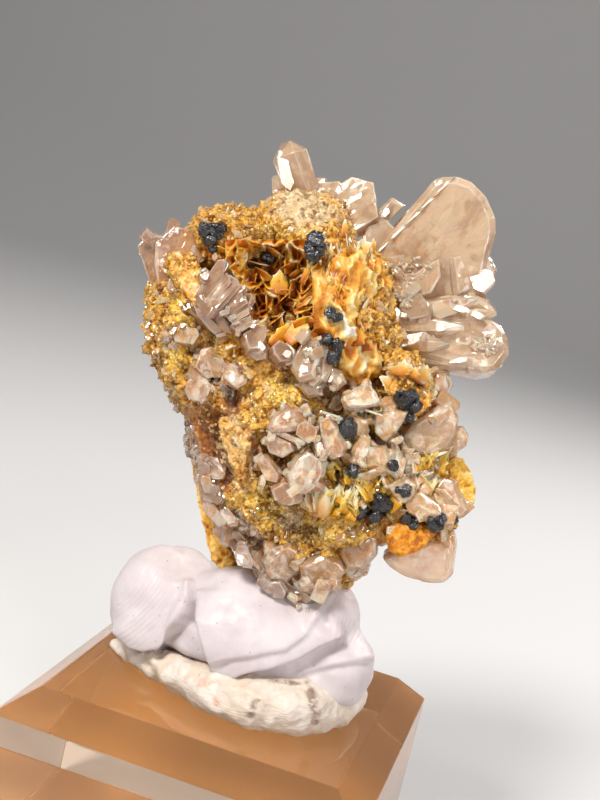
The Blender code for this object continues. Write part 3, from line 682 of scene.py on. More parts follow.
def ore_colour(s: Shader, tone: Socket) -> Socket:
    """Mixes the ore's colours where the mesh says how much of each kind there is.

    Args:
        s: The shader to build in.
        tone: How light each place is within its kind, from 0 to 1.

    Returns:
        The colour.
    """
    broad = s.noise(3.4, 4, 0.6, 0.5)
    ochre = s.ramp(
        tone, (0.3, seen(112, 62, 10)), (0.43, seen(188, 118, 26)), (0.55, seen(232, 166, 48)),
        (0.7, seen(252, 214, 118)),
    )
    ochre = s.blend(s.step(broad, 0.50, 0.66, 0.0, 0.75), ochre, s.blend(0.5, ochre, seen(238, 156, 18)))
    ochre = s.blend(s.step(broad, 0.46, 0.32, 0.0, 0.6), ochre, s.blend(0.5, ochre, seen(200, 164, 124)))
    powder = s.ramp(
        tone, (0.32, seen(212, 146, 32)), (0.5, seen(248, 196, 66)), (0.68, seen(255, 232, 140))
    )
    rust = s.ramp(tone, (0.32, seen(92, 46, 6)), (0.5, seen(190, 108, 12)), (0.68, seen(230, 152, 32)))
    mauve = s.step(s.noise(1.6, 4, 0.65), 0.46, 0.6, 0.0, 0.8)
    rust = s.blend(mauve, rust, s.blend(0.35, seen(142, 104, 92), rust))
    sand = s.ramp(tone, (0.34, seen(196, 160, 110)), (0.52, seen(224, 194, 148)), (0.68, seen(240, 220, 184)))
    specks = s.maths("MULTIPLY", s.step(s.cells(0.9), 0.20, 0.10), s.step(s.noise(1.8, 2), 0.50, 0.62))
    sand = s.blend(specks, sand, seen(104, 56, 28))
    film = s.ramp(tone, (0.32, seen(104, 76, 62)), (0.5, seen(158, 128, 108)), (0.68, seen(206, 180, 158)))
    colour = s.blend(s.field("powder"), ochre, powder)
    colour = s.blend(s.field("rust"), colour, rust)
    colour = s.blend(s.field("sand"), colour, sand)
    return s.blend(s.field("film"), colour, film)


@dataclass(frozen=True)
class OreFinish:
    """Earthy ochre ore, which changes to powder, rust, sand and crystal film where the mesh says, with
    painted shade in its low places, vug and pits and painted light on its raised places.

    Attributes:
        name: The material's name.
    """

    name: str = "ochre ore"

    def make(self) -> Material:
        """Builds the material.

        Returns:
            The material.
        """
        s = Shader(self.name)
        fine = s.noise(0.22, 3, 0.7)
        colour = ore_colour(s, s.noise(0.8, 4, 0.65))
        colour = s.blend(s.step(fine, 0.56, 0.74, 0.0, 0.4), colour, seen(240, 196, 110))
        # Painted shade: the relief's low places are darkened.
        low = s.step(s.field("height"), 0.05, -0.55, 0.0, 0.75)
        colour = s.blend(low, colour, s.blend(0.85, colour, seen(120, 70, 26), "MULTIPLY"))
        # Painted light: the relief's raised places are lightened.
        high = s.step(s.field("height"), 0.2, 0.65, 0.0, 0.3)
        colour = s.blend(high, colour, seen(246, 204, 118))
        # Painted shade: the vug and the pits are darkened.
        hollow = s.step(s.field("hollow"), 0.0, 1.0, 0.0, 0.85)
        colour = s.blend(hollow, colour, s.blend(0.6, colour, seen(84, 44, 8)))
        chips, own = s.facets(0.42)
        shards, _ = s.facets(0.9)
        relief = s.bump(s.noise(0.5, 5, 0.7), 0.20, 0.8)
        relief = s.bump(shards, 0.9, over=relief)
        relief = s.bump(chips, 1.1, over=relief)
        colour = s.blend(s.step(own, 0.78, 0.9, 0.0, 0.5), colour, seen(246, 214, 150))
        colour = s.blend(s.step(own, 0.24, 0.14, 0.0, 0.5), colour, seen(126, 70, 18))
        gloss = s.maths("MULTIPLY", s.maths("ADD", s.field("film"), s.step(own, 0.6, 0.7)), 0.3)
        rough = s.maths("SUBTRACT", s.step(fine, 0.4, 0.66, 0.78, 0.45), gloss)
        return s.set(
            Base_Color=colour, Roughness=rough, Normal=relief,
            Subsurface_Weight=0.12, Subsurface_Radius=(1.0, 0.5, 0.2), Subsurface_Scale=0.5 * MM,
        )


@dataclass(frozen=True)
class EarthFinish:
    """A plate of ore that is denser than the mass.

    Attributes:
        name: The material's name.
        deep: Its darkest colour, in its blotches and specks and, as painted shade, in its hollows.
        middle: Its colour.
        light: Its lightest colour, in its blotches and specks and, as painted light, where it stands up.
    """

    name: str
    deep: Colour
    middle: Colour
    light: Colour

    def make(self) -> Material:
        """Builds the material.

        Returns:
            The material.
        """
        s = Shader(self.name)
        blotch, fine = s.noise(1.6, 4, 0.65, 0.4), s.noise(0.3, 3, 0.7)
        # The height paints shade into the hollows and light onto what stands up; the blotches and specks are
        # the plate's own tone.
        tone = s.maths("ADD", s.maths("MULTIPLY", s.field("height"), 0.22), blotch)
        colour = s.ramp(tone, (0.26, self.deep), (0.46, self.middle), (0.72, self.light))
        colour = s.blend(s.step(fine, 0.56, 0.72, 0.0, 0.5), colour, self.light)
        colour = s.blend(s.step(fine, 0.42, 0.28, 0.0, 0.6), colour, self.deep)
        chips, own = s.facets(0.38)
        relief = s.bump(s.noise(0.4, 4, 0.7), 0.12, 0.8)
        relief = s.bump(chips, 0.8, over=relief)
        return s.set(
            Base_Color=colour, Roughness=s.step(own, 0.3, 0.8, 0.75, 0.38), Normal=relief,
            Subsurface_Weight=0.15, Subsurface_Radius=(1.0, 0.5, 0.2), Subsurface_Scale=0.6 * MM,
        )


@dataclass(frozen=True)
class GrainFinish:
    """The tiny crystals that crust the ore.

    Attributes:
        name: The material's name.
        share: How much of their own colour they have, and not the ore's, from 0 to 1.
        dark: The darkest grains' colour.
        light: The lightest grains' colour.
        passing: How much light goes through, from 0 to 1.
    """

    name: str
    share: float = 0.25
    dark: Colour = seen(140, 82, 18)
    light: Colour = seen(246, 206, 120)
    passing: float = 0.35

    def make(self) -> Material:
        """Builds the material.

        Returns:
            The material.
        """
        s = Shader(self.name)
        mottle = s.maths("MULTIPLY", s.noise(1.3, 3), 0.7)
        tint = s.maths("ADD", s.maths("MULTIPLY", s.field("tint"), 0.5), mottle)
        own = s.blend(s.step(tint, 0.3, 0.85), self.dark, self.light)
        zone = ore_colour(s, s.step(tint, 0.2, 1.0, 0.28, 0.74))
        colour = s.blend(self.share, zone, own)
        relief = s.bump(s.noise(0.15, 2), 0.03, 0.5)
        return s.set(
            Base_Color=colour, Roughness=s.step(s.noise(0.3, 2), 0.35, 0.65, 0.15, 0.4), IOR=1.8,
            Transmission_Weight=self.passing, Normal=relief,
        )


@dataclass(frozen=True)
class LeafFinish:
    """Thin curved plates, stained at the foot and pale at the rim; on the curtain's sheet and the lining, the
    foot's colour is also painted shade in the pockets.

    Attributes:
        name: The material's name.
        foot: The colour at a leaf's foot.
        middle: The colour half way.
        rim: The colour at its rim.
        passing: How much light goes through, from 0 to 1.
        stain: How much of the foot's colour runs up to the rim, from 0 to 1.
    """

    name: str
    foot: Colour = (0.46, 0.16, 0.012)
    middle: Colour = (0.80, 0.40, 0.035)
    rim: Colour = (0.90, 0.74, 0.46)
    passing: float = 0.2
    stain: float = 0.5

    def make(self) -> Material:
        """Builds the material.

        Returns:
            The material.
        """
        s = Shader(self.name)
        blotch = s.noise(1.5, 4, 0.65, 0.5)
        uneven = s.maths("MULTIPLY", s.maths("SUBTRACT", blotch, 0.5), 1.6 * self.stain)
        reach = s.maths("ADD", s.field("reach"), uneven)
        colour = s.ramp(reach, (0.08, self.foot), (0.42, self.middle), (0.8, self.rim), (
            1.0, (0.92, 0.84, 0.72),
        ))
        colour = s.blend(s.step(s.noise(0.5, 4, 0.7), 0.56, 0.72, 0.0, 0.5), colour, self.middle)
        relief = s.bump(s.noise(0.35, 4, 0.65), 0.08, 0.7)
        return s.set(
            Base_Color=colour, Roughness=s.step(blotch, 0.4, 0.65, 0.36, 0.65), IOR=1.6, Normal=relief,
            Transmission_Weight=self.passing,
            Subsurface_Weight=0.35, Subsurface_Radius=(1.0, 0.55, 0.2), Subsurface_Scale=0.8 * MM,
        )


@dataclass(frozen=True)
class BlackFinish:
    """Black crystal with a bright, nearly metallic lustre.

    Attributes:
        name: The material's name.
    """

    name: str = "black grain"

    def make(self) -> Material:
        """Builds the material.

        Returns:
            The material.
        """
        s = Shader(self.name)
        mottle = s.noise(0.5, 4, 0.7)
        colour = s.ramp(
            mottle, (0.35, (0.008, 0.007, 0.008)), (0.55, (0.020, 0.018, 0.020)), (
                0.72, (0.06, 0.055, 0.055),
            )
        )
        relief = s.bump(s.cells(0.3), 0.10, 0.7)
        relief = s.bump(s.noise(0.12, 3), 0.03, 0.6, over=relief)
        rough = s.step(mottle, 0.4, 0.65, 0.16, 0.45)
        return s.set(Base_Color=colour, Roughness=rough, IOR=1.6, Normal=relief)


@dataclass(frozen=True)
class PuttyFinish:
    """Soft putty, clean or dirty.

    Attributes:
        name: The material's name.
        light: Its clean colour.
        shade: Its colour in patches.
        dirt: The colour of what has stuck to it.
        flush: The colour of its pink streaks.
        soiled: How strongly the dirt shows, from 0 to 1.
    """

    name: str
    light: Colour = seen(206, 196, 197)
    shade: Colour = seen(196, 184, 186)
    dirt: Colour = (0.12, 0.08, 0.07)
    flush: Colour = seen(214, 146, 118)
    soiled: float = 0.0

    def make(self) -> Material:
        """Builds the material.

        Returns:
            The material.
        """
        s = Shader(self.name)
        colour = s.blend(s.step(s.noise(5.0, 4, 0.6), 0.38, 0.66), self.light, self.shade)
        specks = s.maths("MULTIPLY", s.step(s.cells(1.6), 0.10, 0.05), 0.4)
        colour = s.blend(specks, colour, self.dirt)
        torn = s.noise(1.7, 5, 0.7)
        flushed = s.maths("MULTIPLY", s.field("flush"), s.step(torn, 0.46, 0.62, 0.0, 0.55))
        colour = s.blend(flushed, colour, self.flush)
        dirty = s.maths("MULTIPLY", s.field("dirt"), s.step(torn, 0.38, 0.56))
        colour = s.blend(s.maths("MULTIPLY", dirty, self.soiled), colour, self.dirt)
        ridges = s.maths("SINE", s.maths("MULTIPLY", s.field("swirl"), 11.0))
        relief = s.bump(s.noise(0.5, 4, 0.6), 0.05, 0.5)
        relief = s.bump(s.maths("MULTIPLY", ridges, s.field("print")), 0.018, 0.8, over=relief)
        return s.set(
            Base_Color=colour, Roughness=s.step(s.noise(1.2, 3), 0.4, 0.62, 0.42, 0.62), Normal=relief,
            Subsurface_Weight=0.2, Subsurface_Radius=(1.0, 0.6, 0.5), Subsurface_Scale=0.9 * MM,
        )


@dataclass(frozen=True)
class AcrylicFinish:
    """Clear cast acrylic with an amber cast.

    Attributes:
        name: The material's name.
        tint: The colour that the light takes on inside.
        depth: How strongly, per millimetre.
        under: The colour of the frosted underside.
    """

    name: str = "clear acrylic"
    tint: Colour = (0.88, 0.60, 0.30)
    depth: float = 0.014
    under: Colour = seen(222, 166, 92)

    def make(self) -> Material:
        """Builds the material.

        Returns:
            The material.
        """
        s = Shader(self.name)
        scuffs = s.step(s.noise(9.0, 6, 0.7), 0.52, 0.75)
        colour = s.blend(s.maths("MULTIPLY", scuffs, 0.06), (0.98, 0.95, 0.92), (0.80, 0.70, 0.62))
        underside = s.step(s.part(s.place, "Z"), 0.25, 0.05)
        colour = s.blend(underside, colour, self.under)
        rough = s.maths("MAXIMUM", s.maths("MULTIPLY", scuffs, 0.10), s.maths("MULTIPLY", underside, 0.7))
        through = s.maths("SUBTRACT", 1.0, s.maths("MULTIPLY", underside, 0.75))
        inside = s.add("VolumeAbsorption", Color=self.tint, Density=self.depth / MM)
        join(s.tree, s.output.inputs["Volume"], inside.outputs["Volume"])
        return s.set(Base_Color=colour, Roughness=rough, IOR=1.49, Transmission_Weight=through)


@dataclass(frozen=True)
class PlainFinish:
    """The floor and the backdrop.

    Attributes:
        name: The material's name.
        colour: Its colour.
        glow: How much light it gives of its own, so that the clear block isn't dark inside.
    """

    name: str = "studio"
    colour: Colour = (0.60, 0.59, 0.585)
    glow: float = 0.10

    def make(self) -> Material:
        """Builds the material.

        Returns:
            The material.
        """
        s = Shader(self.name)
        tone = s.blend(s.step(s.noise(120.0, 3), 0.3, 0.7, 0.0, 0.04), self.colour, (0.5, 0.5, 0.5))
        return s.set(Base_Color=tone, Roughness=0.9, Emission_Color=self.colour, Emission_Strength=self.glow)


def finish_piece(
    obj: Object, home: Home, finish: Material, nodes: Sequence[str], smooth: bool = True
) -> Object:
    """Brings a piece to its real size and place, gives it its finish and has it stand for its solids.

    Args:
        obj: The piece, in millimetres of its own frame.
        home: Its own frame.
        finish: Its material, for all of it.
        nodes: The solids that it stands for.
        smooth: Whether its faces shade into each other.

    Returns:
        The same object.
    """
    obj.data.transform(home.value)
    obj.data.materials.clear()
    obj.data.materials.append(finish)
    obj.data.polygons.foreach_set("use_smooth", [smooth] * len(obj.data.polygons))
    obj.data.update()
    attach(obj, BODY)
    if nodes:
        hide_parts(*nodes)
    count = sum(len(p.vertices) - 2 for p in obj.data.polygons)
    LOG.info("%s: %d triangles", obj.name, count)
    return obj


# Places on the show face.


def on_sight(across: float, up: float, out: float) -> Vector:
    """Finds the point that shows at a place on the plane through the specimen's centre, but stands out of it.

    Args:
        across: How far across the plane.
        up: How far up it.
        out: How far out of it towards the viewer.

    Returns:
        The point.
    """
    nearer = 1.0 - out / SIGHT
    return Vector((across * nearer, up * nearer, out))


class Ground:
    """The front of something, as it shows on the face, for small things to be set on."""

    def __init__(self, *objects: Object, finished: bool) -> None:
        """Makes the search tree.

        Args:
            *objects: The objects.
            finished: Whether they stand in the row's frame already.
        """
        self.home = Home.SPECIMEN.value if finished else Matrix()
        self.back = self.home.inverted()
        self.tree = tree_of(*objects)

    def out(self, across: float, up: float, otherwise: float = 3.0) -> float:
        """Finds how far out of the face the front is.

        Args:
            across: Where it shows on the face.
            up: Where it shows on the face.
            otherwise: The result where there is nothing.

        Returns:
            How far out.
        """
        start, aim = on_sight(across, up, 40.0), on_sight(across, up, -40.0)
        start, aim = self.home @ start, self.home @ aim
        hit = self.tree.ray_cast(start, (aim - start).normalized())[0]
        return otherwise if hit is None else (self.back @ hit).z

    def at(self, across: float, up: float, above: float = 0.0) -> Vector:
        """Finds a place on the front."""
        return on_sight(across, up, self.out(across, up) + above)


@dataclass(frozen=True)
class Patch:
    """A soft-edged patch of the show face.

    Attributes:
        across: Its middle.
        up: Its middle.
        wide: Half its width.
        tall: Half its height.
        turn: Degrees anticlockwise.
        soft: How soft its edge is.
    """

    across: float
    up: float
    wide: float
    tall: float
    turn: float = 0.0
    soft: float = 0.3

    def share(self, face: np.ndarray, ragged: np.ndarray | float = 0.0) -> np.ndarray:
        """Works out how much each place belongs to the patch.

        Args:
            face: Where each place is on the face.
            ragged: Noise that makes the edge uneven.

        Returns:
            One number for each place, from 0 to 1.
        """
        angle = math.radians(self.turn)
        offset = face - np.array((self.across, self.up))
        along = offset[:, 0] * math.cos(angle) + offset[:, 1] * math.sin(angle)
        aside = offset[:, 1] * math.cos(angle) - offset[:, 0] * math.sin(angle)
        reach = np.sqrt((along / self.wide) ** 2 + (aside / self.tall) ** 2) + 0.35 * ragged
        return np.clip((1 + self.soft - reach) / (2 * self.soft), 0, 1)


# Crystals.


def turned(lean: float, tilt: float, swing: float) -> Matrix:
    """Turns a crystal.

    Args:
        lean: Degrees clockwise in the show plane.
        tilt: Degrees about its length.
        swing: Degrees towards the viewer.

    Returns:
        The turn.
    """
    return (
        Matrix.Rotation(-math.radians(lean), 4, "Z")
        @ Matrix.Rotation(math.radians(swing), 4, "X")
        @ Matrix.Rotation(math.radians(tilt), 4, "Y")
    )


def crystal(points: Sequence[Vector], edge: float = 0.09, along: Vector = Vector((0, 1, 0))) -> Object:
    """Makes the flat-faced solid that just holds some points, with its edges rubbed.

    Its first UV map runs across and along its growth lines, in millimetres. The second holds a tint of its
    own.

    Args:
        points: The points.
        edge: How wide the rubbed edges are.
        along: The way that its growth lines run.

    Returns:
        The crystal.
    """
    bm = bmesh.new()
    hull = bmesh.ops.convex_hull(bm, input=[bm.verts.new(p) for p in points])
    inner = {g for g in hull["geom_interior"] + hull["geom_unused"] if isinstance(g, bmesh.types.BMVert)}
    bmesh.ops.delete(bm, geom=list(inner), context="VERTS")
    bmesh.ops.dissolve_limit(bm, angle_limit=math.radians(7), verts=bm.verts, edges=bm.edges)
    sharp = [e for e in bm.edges if e.calc_face_angle(0.0) > 0.2]
    bmesh.ops.bevel(
        bm, geom=sharp, offset=edge, offset_type="OFFSET", segments=2 if edge > 0.06 else 1, profile=0.6,
        affect="EDGES", clamp_overlap=True,
    )
    bmesh.ops.recalc_face_normals(bm, faces=bm.faces)
    growth, own = bm.loops.layers.uv.new("growth"), bm.loops.layers.uv.new("own")
    rng = random.Random(round(100 * (points[0].x + 3.7 * points[0].y + 7.1 * points[-1].z)))
    shift, tint = Vector((rng.uniform(0, 90), rng.uniform(0, 90))), rng.random()
    for face in bm.faces:
        across = along.cross(face.normal)
        if across.length < 0.3:
            across = Vector((1, 0, 0)).cross(along)
        across.normalize()
        for loop in face.loops:
            loop[growth].uv = shift + Vector((loop.vert.co.dot(across), loop.vert.co.dot(along)))
            loop[own].uv = (tint, 0.5)
    return from_bmesh(bm, "crystal")


def plate(
    centre: Vector, outline: Sequence[Spot], thickness: float,
    lean: float = 0, tilt: float = 0, swing: float = 0, rim: float = 0.2, edge: float = 0.09,
    grain: Vector = Vector((0, 1, 0)),
) -> Object:
    """Makes a flat crystal of any outline without hollows, bevelled at its rim.

    Args:
        centre: Its middle.
        outline: Its corners.
        thickness: Its thickness.
        lean: See turned.
        tilt: See turned.
        swing: See turned.
        rim: How far in from the outline the bevel on each face goes.
        edge: How wide its rubbed edges are.
        grain: The way that its growth lines run, before it is turned.

    Returns:
        The crystal.
    """
    place = Matrix.Translation(centre) @ turned(lean, tilt, swing)
    middle = Vector((sum(x for x, _ in outline), sum(y for _, y in outline))) / len(outline)
    inset = min(rim, 0.4 * thickness)
    points = []
    for x, y in outline:
        corner = Vector((x, y))
        pulled = corner + (middle - corner).normalized() * inset * 1.3
        for side in (-1, 1):
            points.append(place @ Vector((x, y, side * (thickness / 2 - inset))))
            points.append(place @ Vector((*pulled, side * thickness / 2)))
    return crystal(points, edge, (place.to_3x3() @ grain).normalized())


def table(
    centre: Vector, length: float, width: float, thickness: float,
    lean: float = 0, tilt: float = 0, swing: float = 0, shoulder: float = 0.3, edge: float = 0.09,
) -> Object:
    """Makes a tabular crystal: a six-cornered plate with a blunt point at each end.

    Args:
        centre: Its middle.
        length: Its length.
        width: Its width.
        thickness: Its thickness.
        lean: See turned.
        tilt: See turned.
        swing: See turned.
        shoulder: How long its points are beside its width.
        edge: How wide its rubbed edges are.

    Returns:
        The crystal.
    """
    half_length, half_width = length / 2, width / 2
    cut = shoulder * width
    outline = [
        (-half_width, -half_length + cut), (0.15 * width, -half_length), (half_width, -half_length + cut),
        (half_width, half_length - cut), (-0.15 * width, half_length), (-half_width, half_length - cut),
    ]
    return plate(centre, outline, thickness, lean, tilt, swing, 0.12, edge)


def prism(
    foot: Vector, tip: Vector, width: float, depth: float, point: float = 0.3, skew: float = 0.0,
    turn: float = 0, sides: int = 6, blunt: float = 0.25, edge: float = 0.09,
) -> Object:
    """Makes a long crystal with flat sides and a roof-shaped end.

    Args:
        foot: The middle of its foot.
        tip: The middle of its roof's ridge.
        width: Its width.
        depth: Its depth.
        point: How much of its length the roof takes.
        skew: How far the ridge is off centre.
        turn: Degrees about its length.
        sides: How many sides it has.
        blunt: How long the ridge is beside the width.
        edge: How wide its rubbed edges are.

    Returns:
        The crystal.
    """
    along = tip - foot
    aim = along.to_track_quat("Z", "Y").to_matrix().to_4x4() @ Matrix.Rotation(math.radians(turn), 4, "Z")
    points = []
    for level, size in ((0.0, 0.9), (1.0 - point, 1.0)):
        for side in range(sides):
            angle = math.tau * (side + 0.5) / sides
            ring = Vector((math.cos(angle) * width / 2 * size, math.sin(angle) * depth / 2 * size, 0))
            points.append(foot + along * level + aim @ ring)
    for end in (-1, 1):
        points.append(tip + aim @ Vector((end * width / 2 * blunt + skew * width / 2, 0, 0)))
    return crystal(points, edge, along.normalized())


def face_plate(
    outline: Sequence[Spot], out: float, thickness: float,
    tilt: float = 0, swing: float = 0, rim: float = 0.2, edge: float = 0.09, grain: float = 0,
) -> Object:
    """Makes a flat crystal from the outline that it shows on the specimen's face.

    Args:
        outline: Its corners on the face.
        out: How far out of the face its middle is.
        thickness: Its thickness.
        tilt: See turned.
        swing: See turned.
        rim: How far in from the outline the bevel on each face goes.
        edge: How wide its rubbed edges are.
        grain: The way that its growth lines run, in degrees clockwise from upright.

    Returns:
        The crystal.
    """
    across = sum(x for x, _ in outline) / len(outline)
    up = sum(y for _, y in outline) / len(outline)
    nearer = 1.0 - out / SIGHT
    narrow, low = math.cos(math.radians(tilt)), math.cos(math.radians(swing))
    corners = [((x - across) * nearer / narrow, (y - up) * nearer / low) for x, y in outline]
    way = Vector((math.sin(math.radians(grain)), math.cos(math.radians(grain)), 0))
    return plate(on_sight(across, up, out), corners, thickness, 0, tilt, swing, rim, edge, way)


def shard(
    centre: Vector, length: float, width: float, thickness: float, lean: float, tilt: float, swing: float,
    rng: random.Random,
) -> Object:
    """Makes a thin broken flake with a pointed end.

    Args:
        centre: Its middle.
        length: Its length.
        width: Its width.
        thickness: Its thickness.
        lean: See turned.
        tilt: See turned.
        swing: See turned.
        rng: Where the random numbers come from.

    Returns:
        The flake.
    """
    half_width, half_length = width / 2, length / 2
    outline = [
        (-half_width * rng.uniform(0.5, 0.9), -half_length),
        (half_width * rng.uniform(0.4, 0.9), -half_length * 0.9),
        (half_width, half_length * rng.uniform(-0.4, 0.3)),
        (half_width * rng.uniform(-0.3, 0.6), half_length),
        (-half_width * rng.uniform(0.7, 1.0), half_length * rng.uniform(-0.2, 0.6)),
    ]
    return plate(centre, outline, thickness, lean, tilt, swing, 0.08, 0.03)


def bright_facet(spot: Spot, out: float, length: float, width: float, lean: float) -> Object:
    """Makes a crystal whose front turns the main light to the viewer.

    Args:
        spot: Where it shows on the face.
        out: How far out of the face its front is.
        length: Its length.
        width: Its width.
        lean: Degrees clockwise from up.

    Returns:
        The crystal.
    """
    place = on_sight(*spot, out)
    lamp = Home.SPECIMEN.value.inverted() @ Vector(KEY_PLACE)
    normal = ((lamp - place).normalized() + (Vector((0, 0, SIGHT)) - place).normalized()).normalized()
    upright = Vector((math.sin(math.radians(lean)), math.cos(math.radians(lean)), 0.0))
    side = upright.cross(normal).normalized()
    along = normal.cross(side)
    ring = ((-0.5, -0.3), (-0.36, 0.36), (0.0, 0.5), (0.44, 0.3), (0.5, -0.34), (0.06, -0.5))
    front = [place + side * (u * width) + along * (v * length) for u, v in ring]
    back = [place + side * (u * width * 0.8) + along * (v * length * 0.8) - normal * 1.6 for u, v in ring]
    return crystal(front + back, 0.05, along)


def side_growths(parent: Object, count: int, rng: random.Random) -> list[Object]:
    """Makes the small crystals that grow on a large one's rim, twinned to it.

    Args:
        parent: The large crystal.
        count: How many.
        rng: Where the random numbers come from.

    Returns:
        The small crystals.
    """
    mesh = parent.data
    points = points_of(parent)
    middle = Vector(points.mean(axis=0))
    spans = np.sort(np.ptp(points, axis=0))
    face = max(mesh.polygons, key=lambda polygon: polygon.area)
    normal = Vector(face.normal)
    frame_of = normal.to_track_quat("Z", "Y").to_matrix().to_4x4()
    made = []
    for _ in range(count):
        corner = Vector(points[rng.randrange(len(points))])
        size = min(3.4, max(0.9, spans[1] * rng.uniform(0.35, 0.65)))
        place = Matrix.Translation(corner.lerp(middle, rng.uniform(0.0, 0.25)) + normal * spans[0] * 0.25)
        twin = math.radians(60 * rng.randrange(6) + rng.uniform(-9, 9))
        place @= frame_of @ Matrix.Rotation(twin, 4, "Z")
        place @= Matrix.Rotation(math.radians(rng.uniform(-60, 60)), 4, "X")
        place @= Matrix.Rotation(math.radians(rng.uniform(-40, 40)), 4, "Y")
        long, wide, thick = size, size * rng.uniform(0.4, 0.75), size * rng.uniform(0.25, 0.5)
        cut = wide * rng.uniform(0.15, 0.4)
        corners = (
            (-wide / 2, -long / 2), (wide / 2, -long / 2), (wide / 2, long / 2 - cut), (0.1 * wide, long / 2),
            (-wide / 2, long / 2 - cut),
        )
        shape = [place @ Vector((0.88 * x, 0.94 * y, side * thick / 2)) for x, y in corners for side in (
            -1, 1,
        )]
        shape += [place @ Vector((x, y, side * thick / 5)) for x, y in corners for side in (-1, 1)]
        made.append(crystal(shape, 0.04, (place.to_3x3() @ Vector((0, 1, 0))).normalized()))
    return made


def mark_rims(obj: Object) -> None:
    """Stores on each face whether it is a rubbed edge, a face much narrower than the crystal's own, where the
    finish paints a highlight.

    Args:
        obj: The crystals.
    """
    mesh = obj.data
    rims = []
    for polygon in mesh.polygons:
        corners = [mesh.vertices[index].co for index in polygon.vertices]
        longest = max((a - b).length for a, b in zip(corners, corners[1:] + corners[:1]))
        rims.append(1.0 if polygon.area < 0.22 * max(longest, 0.35) else 0.0)
    attribute = mesh.attributes.new("rim", "FLOAT", "FACE")
    attribute.data.foreach_set("value", rims)


def wear_down(obj: Object, wear: float, seed: int) -> None:
    """Rounds, dents and chips crystals, as where they have partly dissolved.

    Args:
        obj: The crystals, as one solid.
        wear: How much, from 0 to 1.
        seed: Another seed gives other dents.
    """
    crisp = link(bpy.data.objects.new("crisp", obj.data.copy()))
    smoothed(remeshed(obj, WORN_VOXEL), 2)
    points, normals = points_of(obj), normals_of(obj)
    dents, chips = NoiseField(seed).layered(points, 2.4, 3), CellField(1.5, seed).chips(points)
    fine = CellField(0.7, seed + 1).chips(points)
    height = wear * (0.24 * dents + 0.42 * chips + 0.16 * fine)
    move_points(obj, points + normals * height[:, None])
    soft = smoothed(link(bpy.data.objects.new("soft", obj.data.copy())), 14)
    # The rounded edges stand proud of the smoothed copy; the finish paints a highlight there.
    proud = np.einsum("ij,ij->i", points_of(obj) - points_of(soft), normals_of(obj))
    set_field(obj, "rim", np.clip(proud / 0.12 - 0.4, 0, 1))
    for layer in ("growth", "own"):
        obj.data.uv_layers.new(name=layer)
    modifier = obj.modifiers.new("maps", "DATA_TRANSFER")
    modifier.object = crisp
    modifier.use_loop_data = True
    modifier.data_types_loops = {"UV"}
    modifier.loop_mapping = "POLYINTERP_NEAREST"
    modifier.layers_uv_select_src = "ALL"
    modifier.layers_uv_select_dst = "NAME"
    settle(obj)
    bpy.data.objects.remove(crisp)
    bpy.data.objects.remove(soft)


@dataclass
class CrystalGroup:
    """Crystals grown through one another.

    Attributes:
        name: The piece's name.
        slot: The record's material slot. It is not used.
        nodes: The solids that it stands for.
        crystals: What makes them.
        growths: How many small crystals grow on each.
        wear: How worn they are, from 0 to 1.
    """

    name: str
    slot: str
    nodes: tuple[str, ...]
    crystals: Callable[[], list[Object]]
    growths: int = 2
    wear: float = 0.0

    def build(self, finish: Material, ground: BVHTree) -> Object:
        """Makes the crystals, joins them and finishes the piece.

        Args:
            finish: The material.
            ground: The ore, which stains their feet.

        Returns:
            The piece.
        """
        made = self.crystals()
        rng = random.Random(len(self.name) + 7 * len(made))
        for parent in list(made):
            made += side_growths(parent, self.growths, rng)
        whole = united(made)
        whole.name = self.name
        if self.wear > 0:
            wear_down(whole, self.wear, len(self.name))
        else:
            mark_rims(whole)
        near = np.array([ground.find_nearest(v.co)[3] or 9.0 for v in whole.data.vertices])
        set_field(whole, "root", np.clip(1.15 - near / 2.2, 0, 1))
        return finish_piece(whole, Home.SPECIMEN, finish, self.nodes, smooth=self.wear > 0)


